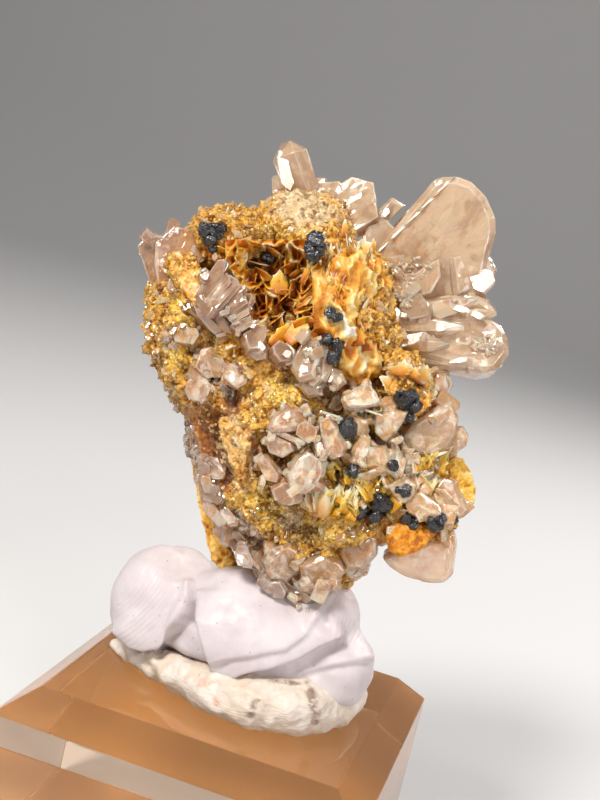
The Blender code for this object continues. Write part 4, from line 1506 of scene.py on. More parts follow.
def cerussite_fan() -> list[Object]:
    """Makes the big pale tables and blades that fan out on the right.

    Returns:
        The crystals.
    """
    broad = [
        (10.2, 19.8), (16.3, 27.4), (18.3, 29.8), (19.4, 30.2), (21.5, 30.2), (23.3, 29.5), (25.2, 27.6),
        (26.5, 24.8), (26.6, 22.8), (26.0, 21.3), (25.0, 19.8), (24.3, 13.7), (19.1, 12.0), (13.7, 11.2),
        (9.8, 13.7),
    ]
    second = [
        (23.2, 20.5), (25.0, 19.8), (25.9, 19.1), (26.6, 17.6), (25.9, 16.5), (24.1, 14.8), (20.5, 13.7),
        (19.8, 19.1),
    ]
    third = [
        (23.2, 14.8), (25.2, 13.9), (26.6, 12.4), (26.5, 11.5), (25.0, 10.6), (21.9, 10.3), (20.5, 13.7),
    ]
    low = [
        (11.5, 10.2), (16.4, 10.9), (25.6, 10.6), (27.2, 9.8), (28.0, 8.0), (28.1, 5.8), (27.2, 4.7),
        (26.3, 3.6), (24.4, 3.2), (19.4, 4.3), (13.3, 6.1), (10.9, 7.4),
    ]
    inner = [(10.9, 19.0), (13.8, 19.7), (14.1, 17.8), (13.0, 15.4), (10.9, 15.2)]
    outer = [(15.0, 16.7), (17.6, 18.4), (19.1, 19.0), (19.3, 16.7), (18.0, 14.4), (15.0, 13.7)]
    between = [(12.6, 16.6), (15.4, 17.2), (16.4, 15.0), (14.4, 13.0), (12.2, 13.6)]
    window = [(9.4, 24.6), (12.4, 27.6), (14.3, 26.5), (11.2, 23.4)]
    made = [
        face_plate(broad, -3.0, 4.4, -8, 6, 0.7, 0.14, 40),
        face_plate(second, -3.2, 3.4, 16, -4, 0.5, 0.12, 60),
        face_plate(third, -2.4, 3.0, -14, 10, 0.5, 0.1, 80),
        face_plate(low, -1.4, 5.4, 6, -12, 0.7, 0.1, 92),
        prism(on_sight(11.5, 11.5, -1.0), on_sight(24.4, 13.2, 0.4), 3.4, 3.0, 0.3, 0.2, 30),
        prism(on_sight(13.0, 9.8, 0.2), on_sight(26.9, 11.8, -0.6), 2.6, 2.2, 0.2, 0.0, 12),
        prism(on_sight(11.5, 9.8, 0.8), on_sight(22.5, 9.8, 2.2), 3.0, 2.6, 0.35, 0.0, 20),
        prism(on_sight(11.0, 7.8, 1.2), on_sight(20.4, 7.4, 2.6), 3.2, 2.4, 0.3, 0.0, 50),
        prism(on_sight(13.0, 6.0, 0.2), on_sight(25.6, 4.8, 1.0), 2.6, 2.2, 0.16, 0.0, 35),
        face_plate(inner, 0.6, 2.6, 20, -12),
        face_plate(outer, 0.2, 1.6, -18, -8),
        face_plate(between, 1.2, 2.2, 14, -20),
        table(on_sight(15.6, 12.4, 1.6), 4.4, 3.6, 2.0, lean=-40, tilt=15, swing=-15),
        table(on_sight(12.4, 11.4, 2.0), 3.4, 3.0, 2.0, lean=20, tilt=-20, swing=-15),
        table(on_sight(19.6, 12.2, 0.6), 4.2, 2.4, 1.8, lean=70, tilt=-15, swing=-15),
        face_plate(window, -7.0, 2.6, 10, 0, 0.5, 0.14, 40),
        table(on_sight(15.2, 24.0, -8.0), 9.0, 2.8, 2.4, lean=42, tilt=-20),
        table(on_sight(13.6, 22.6, -7.4), 8.0, 2.0, 2.0, lean=42, tilt=10),
        table(on_sight(11.0, 20.5, -6.5), 8.0, 6.0, 3.6, lean=20, tilt=5),
        table(on_sight(18.2, 3.0, -2.5), 6.0, 4.0, 3.0, lean=-15, tilt=15),
        table(on_sight(16.0, 4.0, -4.0), 8.0, 6.0, 4.0, lean=30, tilt=-10),
    ]
    made += [
        bright_facet(spot, out, length, width, lean)
        for spot, out, length, width, lean in (
            ((25.0, 16.4), -0.4, 3.6, 3.0, 50), ((13.7, 11.7), 3.0, 0.9, 2.0, 10),
            ((24.4, 11.5), 1.2, 1.0, 1.8, 20), ((14.9, 8.2), 3.4, 1.6, 4.6, -20),
            ((18.9, 9.8), 2.8, 1.1, 1.8, 0), ((22.0, 12.4), 1.8, 0.9, 2.4, 12),
            ((11.6, 25.6), -5.2, 1.6, 1.2, 40), ((26.4, 8.2), 1.4, 1.4, 1.2, 30),
            ((21.6, 5.4), 2.2, 0.8, 2.6, -8),
        )
    ]
    rng = random.Random(17)
    for _ in range(9):
        up = rng.uniform(4.4, 10.2)
        end = on_sight(rng.uniform(27.2, 28.2) - 0.05 * (up - 7) ** 2, up, rng.uniform(-2.6, 1.0))
        foot = end - Vector((rng.uniform(4, 6), rng.uniform(-0.4, 0.4), 0))
        width, depth = rng.uniform(1.2, 2.0), rng.uniform(1.0, 1.6)
        made.append(prism(foot, end, width, depth, 0.25, 0, rng.uniform(0, 90)))
    return made


def top_crystals() -> list[Object]:
    """Makes the pointed prism on the crest and the milky crystals beside it.

    Returns:
        The crystals.
    """
    return [
        prism(on_sight(1.6, 24.5, -5.0), on_sight(-2.0, 35.2, -3.5), 5.6, 4.8, 0.16, 0.0, -50, blunt=0.35),
        prism(on_sight(-0.5, 25.5, -6.0), on_sight(-3.6, 30.6, -4.5), 3.0, 2.0, 0.3, 0.0, -20),
        table(on_sight(4.2, 27.0, -6.0), 6.2, 4.4, 3.4, lean=-32, tilt=14),
        table(on_sight(6.2, 25.4, -6.5), 11.0, 7.0, 4.4, lean=58, tilt=-10),
        table(on_sight(3.6, 24.2, -6.0), 7.0, 9.0, 4.0, lean=10, tilt=0),
        prism(on_sight(6.0, 25.2, -5.0), on_sight(8.4, 27.6, -7.0), 3.2, 2.6, 0.2, blunt=0.6),
        bright_facet((-2.1, 31.4), -1.4, 6.6, 1.7, -14),
        bright_facet((6.4, 26.9), -3.4, 0.7, 1.6, 60),
    ]


def left_plates() -> list[Object]:
    """Makes the thin brownish plates that stand off the upper left.

    Returns:
        The crystals.
    """
    plates = (
        ([(-17.9, 22.9), (-17.3, 23.6), (-14.7, 23.2), (-12.5, 19.6), (-13.5, 18.8), (-14.5, 18.5),
          (-17.7, 16.2), (-19.4, 15.4), (-19.9, 18.3), (-19.8, 21.2)], 3.6, 2.2, 12, -6, 30),
        ([(-21.9, 21.1), (-21.1, 21.8), (-19.8, 22.4), (-17.9, 22.2), (-17.6, 19.1), (-17.8, 15.4),
          (-19.6, 14.7), (-20.2, 16.2), (-20.7, 17.3), (-21.1, 19.1)], 2.8, 2.4, -14, 4, 12),
        ([(-18.1, 16.2), (-17.4, 16.8), (-16.6, 16.2), (-16.4, 14.9), (-17.6, 14.4), (-18.2, 15.2)],
          5.2, 1.4, 10, -10, 0),
    )
    return [
        face_plate(outline, out, thickness, tilt, swing, 0.16, 0.06, grain)
        for outline, out, thickness, tilt, swing, grain in plates
    ]


def slats(
    first: tuple[Spot, Spot], last: tuple[Spot, Spot],
    count: int, out: float,
) -> list[Object]:
    """Makes thin blades side by side, which fill the face from one edge to another.

    Args:
        first: The edge's ends on the show face where they begin.
        last: The edge's ends where they stop.
        count: How many blades.
        out: How far out of the face they are.

    Returns:
        The blades.
    """
    rng = random.Random(count)
    made = []
    for index in range(count):
        near, far = index / count - 0.04, (index + 1) / count + 0.04
        corners = []
        for share, ends in ((near, (0, 1)), (far, (1, 0))):
            for end in ends:
                reach = rng.uniform(-0.25, 0.25)
                across = first[end][0] + (last[end][0] - first[end][0]) * share
                up = first[end][1] + (last[end][1] - first[end][1]) * share
                corners.append((across + reach, up + reach))
        level = out + rng.uniform(-0.16, 0.2)
        made.append(face_plate(corners, level, 2.4, rng.uniform(-9, 9), rng.uniform(-14, 2), 0.1, 0.05, 43))
    return made


def striated_book() -> list[Object]:
    """Makes the stepped book of thin blades along the vug's left edge, and the rim that it stands on.

    Returns:
        The crystals.
    """
    steps = (
        ([(-13.8, 16.9), (-13.4, 17.7), (-12.7, 17.7), (-12.1, 17.1), (-12.5, 16.2), (-13.2, 15.6),
          (-13.7, 16.1)], 7.0, 1.8, 10, -8, 38),
        ([(-14.5, 13.6), (-13.5, 14.4), (-12.7, 16.5), (-11.5, 17.5), (-10.8, 19.1), (-10.0, 19.2),
          (-9.7, 18.6), (-10.0, 16.9), (-10.9, 16.2), (-12.5, 14.7), (-13.0, 13.2)], 7.0, 2.2, -18, 6, 38),
        ([(-13.1, 13.1), (-12.3, 14.1), (-10.1, 16.9), (-8.8, 16.4), (-8.3, 15.4), (-8.5, 14.9),
          (-11.1, 12.0), (-12.5, 12.2)], 7.9, 2.4, 14, -14, 43),
        ([(-11.9, 12.8), (-10.1, 14.9), (-8.7, 16.0), (-8.2, 14.9), (-7.5, 13.6), (-6.9, 12.2),
          (-7.2, 11.8), (-8.9, 11.0), (-10.5, 11.8)], 7.4, 2.6, -8, 10, 43),
        ([(-9.4, 10.5), (-7.1, 11.8), (-6.5, 10.1), (-6.8, 9.7), (-8.3, 8.8), (-8.8, 8.9), (-9.6, 9.8)],
          8.2, 2.2, 12, -16, 43),
        ([(-12.2, 12.0), (-10.6, 11.9), (-9.6, 10.7), (-8.9, 9.2), (-10.1, 9.4), (-11.4, 10.7)],
          7.4, 1.8, -16, 14, 43),
        ([(-14.7, 13.5), (-13.8, 12.8), (-11.7, 10.6), (-10.1, 8.8), (-7.9, 6.8), (-8.8, 6.3), (-10.6, 8.0),
          (-12.7, 10.0), (-14.2, 12.0)], 6.8, 2.6, 22, 22, -40),
        ([(-8.0, 8.3), (-5.8, 10.0), (-5.1, 10.0), (-4.8, 9.2), (-5.0, 8.0), (-5.8, 6.6), (-7.2, 6.3)],
          8.5, 2.2, 18, -24, 50),
        ([(-6.4, 8.1), (-5.0, 8.3), (-4.3, 7.1), (-4.3, 5.9), (-5.6, 5.5), (-7.2, 6.4)],
          8.0, 2.0, -20, 16, 20),
        ([(-4.1, 6.9), (-3.2, 7.9), (-2.2, 7.2), (-1.2, 6.9), (-1.1, 5.2), (-3.0, 4.9), (-3.9, 5.9)],
          8.4, 2.2, 20, -14, 60),
        ([(-2.2, 7.2), (-1.5, 7.7), (-0.4, 6.6), (-0.4, 4.7), (-1.7, 4.5)], 8.0, 2.2, -18, -10, 10),
        ([(-11.9, 19.6), (-11.4, 20.0), (-11.0, 19.4), (-11.4, 18.7), (-11.9, 19.0)],
          6.2, 1.2, -14, -20, 0),
    )
    made = [
        face_plate(outline, out - 0.3, thickness, tilt, swing, 0.14, 0.06, grain)
        for outline, out, thickness, tilt, swing, grain in steps
    ]
    start, end = on_sight(-14.6, 12.6, 4.6), on_sight(-1.4, 4.4, 6.0)
    made.append(prism(start, end, 3.8, 3.6, 0.06, 0.0, 30, blunt=0.6))
    made += [
        bright_facet(spot, out, length, width, lean)
        for spot, out, length, width, lean in (
            ((-13.0, 17.0), 8.2, 1.2, 1.2, 30), ((-10.3, 18.2), 8.2, 1.6, 0.8, 30),
            ((-6.4, 10.4), 9.5, 1.4, 1.0, 40), ((-5.4, 7.4), 9.8, 1.0, 1.6, 40),
            ((-1.8, 6.3), 9.6, 1.2, 1.2, 20), ((-8.0, 15.2), 8.9, 1.4, 0.7, 40),
        )
    ]
    edges = (
        ((-13.2, 13.0), (-10.1, 17.0)), ((-11.1, 11.9), (-8.2, 15.4)), ((-9.3, 10.8), (-6.8, 12.1)),
        ((-8.8, 8.7), (-6.4, 10.2)),
    )
    for first, last, count, out in ((0, 1, 6, 8.2), (1, 2, 4, 7.9), (2, 3, 3, 8.4)):
        made += slats(edges[first], edges[last], count, out)
    return made


def centre_prisms() -> list[Object]:
    """Makes the short clear prisms below the vug.

    Returns:
        The crystals.
    """
    plates = (
        ([(-0.8, 4.1), (-0.5, 5.9), (1.4, 8.6), (3.0, 7.9), (3.4, 6.0), (2.5, 2.7), (0.4, 2.2)],
          8.4, 3.2, -26, -8, 20),
        ([(1.9, 3.0), (2.5, 6.6), (3.0, 7.8), (4.1, 5.9), (3.8, 3.6), (3.0, 2.2)], 8.2, 3.0, 30, -6, 0),
        ([(3.4, 2.7), (3.7, 4.6), (5.5, 3.8), (6.2, 2.2), (4.9, 1.1)], 7.8, 2.6, 14, -10, 10),
        ([(-0.5, 2.2), (0.8, 2.7), (3.0, 2.2), (3.3, 0.8), (1.1, 0.3)], 7.4, 2.2, -10, 16, 60),
    )
    made = [
        face_plate(outline, out, thickness, tilt, swing, 0.5, 0.07, grain)
        for outline, out, thickness, tilt, swing, grain in plates
    ]
    made.append(bright_facet((1.3, 7.0), 9.9, 2.2, 1.6, 20))
    made.append(bright_facet((4.0, 3.0), 9.2, 1.2, 1.0, 10))
    return made


def shell_crystals() -> list[Object]:
    """Makes the peach and clear curved crystals in the middle, over a small pit.

    Returns:
        The crystals.
    """
    plates = (
        ([(-4.5, -4.0), (-3.8, -2.3), (-2.2, -1.1), (0.0, -1.0), (2.2, -2.2), (1.6, -3.4), (0.0, -4.2),
          (-2.2, -4.6), (-4.0, -4.6)], 9.6, 2.0, 16, -12, 80, 0.3),
        ([(-4.6, -5.6), (-3.8, -4.6), (-1.1, -5.6), (-0.8, -6.8), (-2.2, -7.8), (-4.1, -7.2)],
          9.2, 1.8, -14, 10, 100, 0.14),
        ([(2.9, -2.7), (4.1, -2.2), (5.2, -4.0), (6.2, -6.3), (6.0, -7.5), (4.9, -7.9), (3.7, -6.8),
          (3.1, -4.9)], 10.0, 2.2, -18, 8, -30, 0.1),
        ([(-0.5, -7.7), (1.0, -7.0), (2.5, -8.1), (2.9, -9.8), (1.6, -11.9), (0.3, -12.7), (-1.5, -12.2),
          (-1.9, -10.1)], 9.8, 2.8, 14, 10, 24, 0.12),
        ([(-5.6, -8.5), (-4.9, -7.4), (-4.0, -8.2), (-2.6, -10.1), (-2.9, -11.2), (-4.4, -10.9)],
          8.8, 2.0, -20, 6, -34, 0.1),
        ([(-4.1, -11.8), (-2.2, -10.8), (0.7, -12.0), (0.1, -13.8), (-1.6, -14.2), (-3.6, -13.3)],
          8.6, 2.2, 10, 18, 80, 0.1),
        ([(1.5, -5.5), (3.0, -5.1), (4.1, -6.4), (3.7, -7.9), (2.2, -7.9)], 9.4, 2.0, 10, -12, 10, 0.1),
    )
    made = [
        face_plate(outline, out, thickness, tilt, swing, 1.6 * edge, 0.6 * edge, grain)
        for outline, out, thickness, tilt, swing, grain, edge in plates
    ]
    return made + [
        table(on_sight(1.0, -4.4, 10.2), 2.9, 2.7, 1.6, lean=10, tilt=-10, edge=0.3),
        prism(on_sight(-4.2, -4.0, 9.8), on_sight(0.7, -6.1, 10.8), 0.9, 1.2, 0.1, blunt=0.5, edge=0.12),
        prism(on_sight(-1.4, -9.2, 8.6), on_sight(1.8, -7.4, 9.8), 1.6, 1.8, 0.2),
        prism(on_sight(2.7, -1.6, 9.6), on_sight(5.8, -2.6, 10.4), 0.5, 0.8, 0.1, blunt=0.5, edge=0.08),
    ]


def right_crystals() -> list[Object]:
    """Makes the rosy crystals that reach out on the right, above the yellow flake.

    Returns:
        The crystals.
    """
    plates = (
        ([(13.7, -4.6), (15.3, -2.5), (17.8, -1.2), (20.2, 0.0), (21.3, -2.3), (21.0, -4.5), (19.8, -6.6),
          (16.9, -7.5), (14.6, -6.7)], 3.6, 4.0, 10, 8, 60, 0.24),
        ([(20.0, -4.1), (20.8, -3.6), (22.3, -3.7), (23.0, -4.9), (22.7, -6.3), (21.5, -7.1), (20.1, -6.6)],
          2.6, 3.2, -8, 4, 80, 0.3),
        ([(17.1, 1.2), (18.2, 3.7), (19.5, 3.8), (20.1, 2.1), (19.4, 0.5), (17.8, -0.1)],
          1.4, 3.0, 14, 10, 20, 0.12),
        ([(18.0, -12.0), (19.1, -10.7), (20.8, -11.2), (22.4, -13.7), (22.7, -15.3), (21.6, -16.1),
          (19.7, -15.3), (18.3, -13.7)], 2.6, 2.4, 12, -8, -30, 0.12),
        ([(15.0, -9.8), (15.9, -8.3), (17.5, -7.9), (18.3, -9.3), (17.8, -10.9), (16.1, -11.2)],
          3.4, 2.4, -14, 10, 10, 0.12),
        ([(17.8, -1.6), (19.7, -0.5), (20.5, -2.7), (19.1, -4.1), (17.8, -3.3)],
          4.4, 2.0, -16, -12, 30, 0.12),
        ([(14.2, -7.1), (16.1, -6.8), (18.3, -7.7), (18.0, -9.8), (15.6, -10.4), (13.9, -9.0)],
          2.8, 3.4, 8, 14, 70, 0.16),
    )
    return [
        face_plate(outline, out, thickness, tilt, swing, 0.2 + edge, 0.6 * edge, grain)
        for outline, out, thickness, tilt, swing, grain, edge in plates
    ]


def lower_crystal() -> list[Object]:
    """Makes the big smooth crystal that hangs at the lower right.

    Returns:
        The crystal, on its own.
    """
    outline = [
        (11.3, -21.3), (12.6, -20.4), (18.2, -19.1), (19.8, -17.5), (20.8, -17.5), (21.3, -19.7),
        (20.9, -23.4), (19.8, -24.5), (17.8, -24.7), (14.5, -23.9), (12.4, -22.7),
    ]
    return [face_plate(outline, 0.0, 5.0, -10, 10, 0.9, 0.45, 20)]


def foot_crystals() -> list[Object]:
    """Makes the mauve crystals along the specimen's foot.

    Returns:
        The crystals.
    """
    plates = (
        ([(-0.3, -22.1), (1.4, -21.3), (3.0, -20.5), (5.5, -21.7), (6.3, -23.0), (4.6, -25.0), (2.2, -25.6),
          (0.1, -24.6)], 3.0, 3.4, 10, 12, 60),
        ([(5.6, -20.9), (6.3, -17.6), (7.9, -16.3), (9.6, -16.7), (10.7, -18.5), (10.4, -21.3),
          (8.7, -23.1), (6.7, -23.1)], 3.6, 3.6, -12, 4, 20),
        ([(5.5, -22.7), (7.1, -21.9), (9.6, -22.1), (9.0, -23.8), (6.8, -24.3)], 2.4, 3.0, 8, 10, 80),
        ([(-5.2, -21.9), (-4.1, -20.0), (-1.6, -19.3), (0.1, -20.5), (0.0, -23.5), (-2.2, -24.9),
          (-4.4, -24.1)], 2.6, 3.0, 14, 6, 40),
        ([(-1.1, -24.7), (0.3, -24.2), (2.2, -24.9), (2.6, -26.0), (1.4, -26.5), (-0.3, -26.1)],
          2.4, 2.2, -6, 10, 80),
        ([(7.1, -18.6), (8.2, -16.9), (9.6, -17.5), (9.8, -19.7), (8.2, -20.5)], 5.0, 2.0, 16, -14, 30),
    )
    return [
        face_plate(outline, out, thickness, tilt, swing, 0.5, 0.2, grain)
        for outline, out, thickness, tilt, swing, grain in plates
    ]


def side_crystals() -> list[Object]:
    """Makes the crystals that stand in the ore on the left: the round knob and those round it.

    Returns:
        The crystals.
    """
    angles = np.linspace(0, math.tau, 15)[:-1]
    knob = [(1.78 * math.cos(angle), 1.72 * math.sin(angle)) for angle in angles]
    return [
        plate(on_sight(-13.9, 1.5, 6.6), knob, 1.7, 0, -14, -8, 0.36, 0.2),
        table(on_sight(-12.6, 5.0, 5.6), 4.4, 3.2, 2.0, 20, 14, -8),
        table(on_sight(-11.0, 4.4, 5.8), 3.4, 2.4, 1.8, -30, -14, -8),
        table(on_sight(-8.9, 3.3, 7.0), 3.6, 3.2, 1.6, 10, 16, -12),
        table(on_sight(-17.6, 9.2, 4.4), 3.0, 2.4, 1.6, 30, -10, 10),
        table(on_sight(-15.6, 8.6, 5.6), 3.0, 3.4, 1.6, -20, 14, -14),
        table(on_sight(-20.2, 9.8, 2.6), 2.2, 1.8, 1.6, 30, -30, 10),
    ]


def glinting_crystals(ground: Ground) -> list[Object]:
    """Makes the small crystals all over the front that catch the light.

    Args:
        ground: What they grow on.

    Returns:
        The crystals.
    """
    spots = (
        (-20.3, 10.2, 1.8, 1.1, 20), (-20.0, 8.8, 1.4, 1.0, -20), (-16.7, 10.2, 2.4, 1.2, 10),
        (-15.8, 12.4, 2.6, 1.4, -14), (-19.8, 6.4, 1.2, 0.8, 40), (-14.6, 9.4, 1.0, 0.8, 0),
        (-12.6, 2.2, 1.2, 0.9, 50), (-11.6, -10.9, 1.0, 0.8, 20), (-12.4, -9.6, 1.6, 0.9, -30),
        (-10.9, -13.4, 1.4, 0.8, -40), (-10.0, -15.6, 1.2, 0.9, -30), (-7.8, -19.0, 1.4, 0.8, -40),
        (-5.0, -22.2, 1.2, 0.9, -50), (-1.6, -18.6, 1.4, 1.0, 20), (2.4, -21.4, 1.8, 0.9, 40),
        (6.4, -18.0, 1.4, 0.8, 10), (9.4, -17.2, 1.2, 0.9, -20), (3.4, 1.0, 1.2, 0.9, 0),
        (0.6, -1.8, 1.2, 0.8, 30), (10.6, -12.0, 1.2, 0.8, 60), (17.2, -13.4, 1.6, 0.9, -50),
        (19.8, -15.2, 1.2, 0.8, -40), (-8.2, 4.4, 0.9, 0.7, 30), (-6.0, -15.4, 1.0, 0.8, 0),
        (-3.2, -21.0, 1.0, 0.7, -30), (-7.0, 0.0, 0.9, 0.7, 10), (18.8, -9.4, 1.0, 0.8, 20),
    )
    rng = random.Random(61)
    made = []
    for across, up, length, width, lean in spots:
        for share in (0.55, 0.4, 0.32):
            spot = (across + rng.gauss(0, 0.5), up + rng.gauss(0, 0.6))
            out = ground.out(*spot) + rng.uniform(0.4, 0.8)
            made.append(bright_facet(spot, out, length * share, width * share, lean + rng.gauss(0, 30)))
    return made


def fan_bevel(fan: Ground) -> list[Object]:
    """Makes the bright bevel along the edge of the fan's big plate."""
    line = [(11.9 + 1.95 * step, 21.4 + 1.95 * step) for step in range(5)]
    return [bright_facet(spot, fan.out(*spot) + 0.12, 4.2, 0.34, 45) for spot in line]


def glassy_band(ground: Ground) -> list[Object]:
    """Makes the band of dark glassy crystals along the lower left edge.

    Args:
        ground: What it grows on.

    Returns:
        The crystals.
    """
    rng = random.Random(83)
    path = (
        (-13.2, -8.6), (-12.4, -12.0), (-10.9, -15.8), (-8.6, -19.4), (-5.4, -22.8), (-2.2, -25.2),
        (0.6, -26.2),
    )
    made = []
    for start, end in zip(path, path[1:]):
        for step in range(7):
            share = (step + rng.random()) / 7
            across = start[0] + (end[0] - start[0]) * share + rng.gauss(0, 0.55)
            up = start[1] + (end[1] - start[1]) * share + rng.gauss(0, 0.55)
            size = rng.uniform(2.2, 4.4)
            lean = math.degrees(math.atan2(end[0] - start[0], end[1] - start[1])) + rng.gauss(0, 16)
            made.append(
                table(
                    ground.at(across, up, rng.uniform(-0.2, 0.2)), size, rng.uniform(1.2, 2.0),
                    rng.uniform(1.0, 1.7), lean, rng.uniform(-50, 50), rng.uniform(-14, 14), 0.3, 0.05,
                )
            )
    return made


@dataclass(frozen=True)
class CellField:
    """Space split into cells of uneven shape.

    Attributes:
        pitch: How big the cells are.
        seed: Another seed gives other cells.
    """

    pitch: float
    seed: int

    def split(self, points: np.ndarray) -> tuple[np.ndarray, np.ndarray, np.ndarray]:
        """Finds where points are in their cells.

        Args:
            points: One row of three numbers for each point.

        Returns:
            The distances to the nearest and the next cell's heart, and the height of a slanted face in the
            cell.
        """
        spots = points / self.pitch
        cell = np.floor(spots).astype(int)
        rng = np.random.default_rng(self.seed)
        hearts, slants = rng.uniform(0, 1, (4096, 3)), rng.normal(0, 0.9, (4096, 3))
        levels = rng.uniform(-0.7, 0.7, 4096)
        first, second = np.full(len(points), 9.0), np.full(len(points), 9.0)
        height = np.zeros(len(points))
        for step in np.ndindex(3, 3, 3):
            other = cell + np.array(step) - 1
            key = (other[:, 0] * 73856093 ^ other[:, 1] * 19349663 ^ other[:, 2] * 83492791) & 4095
            away = spots - other - hearts[key]
            distance = np.linalg.norm(away, axis=1)
            here = distance < first
            second = np.where(here, first, np.minimum(second, distance))
            first = np.where(here, distance, first)
            height = np.where(here, levels[key] + np.einsum("ij,ij->i", away, slants[key]), height)
        return first, second, np.clip(height, -1.2, 1.2)

    def pebbles(self, points: np.ndarray) -> np.ndarray:
        """Works out rounded grains with creases between them."""
        first, second, _ = self.split(points)
        return np.sqrt(np.clip(second - first, 0, 1))

    def chips(self, points: np.ndarray) -> np.ndarray:
        """Works out flat-faced chips that stand at every slant, with sharp steps between them."""
        return self.split(points)[2]

    def walls(self, points: np.ndarray, thick: float) -> tuple[np.ndarray, np.ndarray]:
        """Works out thin walls that stand between hollows.

        Args:
            points: One row of three numbers for each point.
            thick: How thick the walls are beside the cells.

        Returns:
            For each point, how high up a wall it is, from 0 to 1, and the level of its hollow's floor.
        """
        first, second, height = self.split(points)
        rise = np.clip(1 - (second - first) / thick, 0, 1)
        return rise * rise * (3 - 2 * rise), height


# Thin leaves.


@dataclass
class Shell:
    """A closed skin in the making.

    Attributes:
        points: One row of three numbers for each point.
        faces: The corners of each face.
        reach: How far each point is from the foot, from 0 to 1; on the curtain's sheet and the lining, a
            number that rises up the relief, which paints shade into their pockets.
    """

    points: np.ndarray
    faces: list[tuple[int, ...]]
    reach: np.ndarray


def shells_object(shells: Sequence[Shell], name: str) -> Object:
    """Puts skins in one mesh.

    Args:
        shells: The skins.
        name: The object's name.

    Returns:
        The new object, whose points carry their reach.
    """
    faces, start = [], 0
    for shell in shells:
        faces += [tuple(corner + start for corner in face) for face in shell.faces]
        start += len(shell.points)
    mesh = bpy.data.meshes.new(name)
    mesh.from_pydata(np.concatenate([shell.points for shell in shells]).tolist(), [], faces)
    obj = link(bpy.data.objects.new(name, mesh))
    set_field(obj, "reach", np.concatenate([shell.reach for shell in shells]))
    return obj


def grid_skin(rows: int, columns: int) -> list[tuple[int, ...]]:
    """Lists the faces of a front grid, a back grid and the rim between them.

    Args:
        rows: How many rows of points each grid has.
        columns: How many columns.

    Returns:
        The corners of each face.
    """
    back = rows * columns
    faces = []
    for row in range(rows - 1):
        for column in range(columns - 1):
            a, b = row * columns + column, row * columns + column + 1
            c, d = b + columns, a + columns
            faces.append((a, b, c, d))
            faces.append((back + d, back + c, back + b, back + a))
    rim = list(range(columns))
    rim += [row * columns + columns - 1 for row in range(1, rows)]
    rim += [(rows - 1) * columns + column for column in range(columns - 2, -1, -1)]
    rim += [row * columns for row in range(rows - 2, 0, -1)]
    for a, b in zip(rim, rim[1:] + rim[:1]):
        faces.append((b, a, back + a, back + b))
    return faces


@dataclass(frozen=True)
class Leaf:
    """A thin curved leaf, thick at its foot and thin and ragged at its rim.

    Attributes:
        centre: Its middle.
        length: From its foot to its tip.
        width: Its greatest width.
        thickness: Its thickness at the foot.
        lean: See turned.
        tilt: See turned.
        swing: See turned.
        curl: How far its sides bend forward.
        ripple: How high its waves are.
        ragged: How uneven its rim is.
        seed: Another seed gives another rim.
        square: Whether its sides are straight, as on a crystal plate.
    """

    centre: Vector
    length: float
    width: float
    thickness: float = 0.5
    lean: float = 0.0
    tilt: float = 0.0
    swing: float = 0.0
    curl: float = 0.5
    ripple: float = 0.2
    ragged: float = 0.5
    seed: int = 0
    square: bool = False

    def shell(self) -> Shell:
        """Works out the leaf's skin.

        Returns:
            The skin.
        """
        rows = max(8, int(self.length / 0.45))
        columns = max(8, int(self.width / 0.4))
        rng = np.random.default_rng(self.seed)
        wave, turn = rng.uniform(0, math.tau, 4), rng.uniform(0.7, 1.5)
        up, across = np.meshgrid(np.linspace(0, 1, rows), np.linspace(-1, 1, columns), indexing="ij")
        up, across = up.ravel(), across.ravel()
        if self.square:
            half = self.width / 2 * (1 - 0.3 * np.clip((up - 0.6) / 0.4, 0, 1))
        else:
            half = self.width / 2 * np.clip(0.5 + 0.75 * np.sin(math.pi * (0.12 + 0.80 * up)), 0.2, 1.0)
        half *= 1 + self.ragged * (0.12 * np.sin(up * 17 + wave[0]) + 0.08 * np.sin(up * 41 + wave[1]))
        teeth = np.sin(across * 7 + wave[2]) + np.sin(across * 15 + wave[3])
        crown = 1 - 0.28 * across**2 + 0.07 * self.ragged * teeth
        x, y = across * half, self.length * (up * crown - 0.5)
        bend = self.curl * (across**2 - 0.35) * (0.4 + 0.6 * up)
        bend += self.ripple * np.sin(across * 3.2 * turn + wave[1] + 1.6 * up) * (0.25 + 0.75 * up)
        bend += 0.35 * self.ripple * np.sin(across * 9 + wave[2] - 3 * up)
        near_rim = np.maximum(np.abs(across) ** 6, up**8)
        half_thick = self.thickness / 2 * (1 - 0.45 * up) * (1 - 0.72 * near_rim)
        front = np.stack([x, y, bend + half_thick], axis=1)
        back = np.stack([x, y, bend - half_thick], axis=1)
        place = np.array(Matrix.Translation(self.centre) @ turned(self.lean, self.tilt, self.swing))
        points = np.concatenate([front, back]) @ place[:3, :3].T + place[:3, 3]
        reach = np.clip(np.maximum(up**1.3, 0.75 * np.abs(across) ** 5 * (0.4 + 0.6 * up)), 0, 1)
        return Shell(points, grid_skin(rows, columns), np.concatenate([reach, reach]))


@dataclass
class LeafGroup:
    """Leaves that grow from one place.

    Attributes:
        name: The piece's name.
        slot: The record's material slot. It is not used.
        nodes: The solids that it stands for.
        leaves: The leaves.
    """

    name: str
    slot: str
    nodes: tuple[str, ...]
    leaves: list[Leaf]

    def build(self, finish: Material) -> Object:
        """Makes the piece."""
        obj = shells_object([leaf.shell() for leaf in self.leaves], self.name)
        return finish_piece(obj, Home.SPECIMEN, finish, self.nodes)


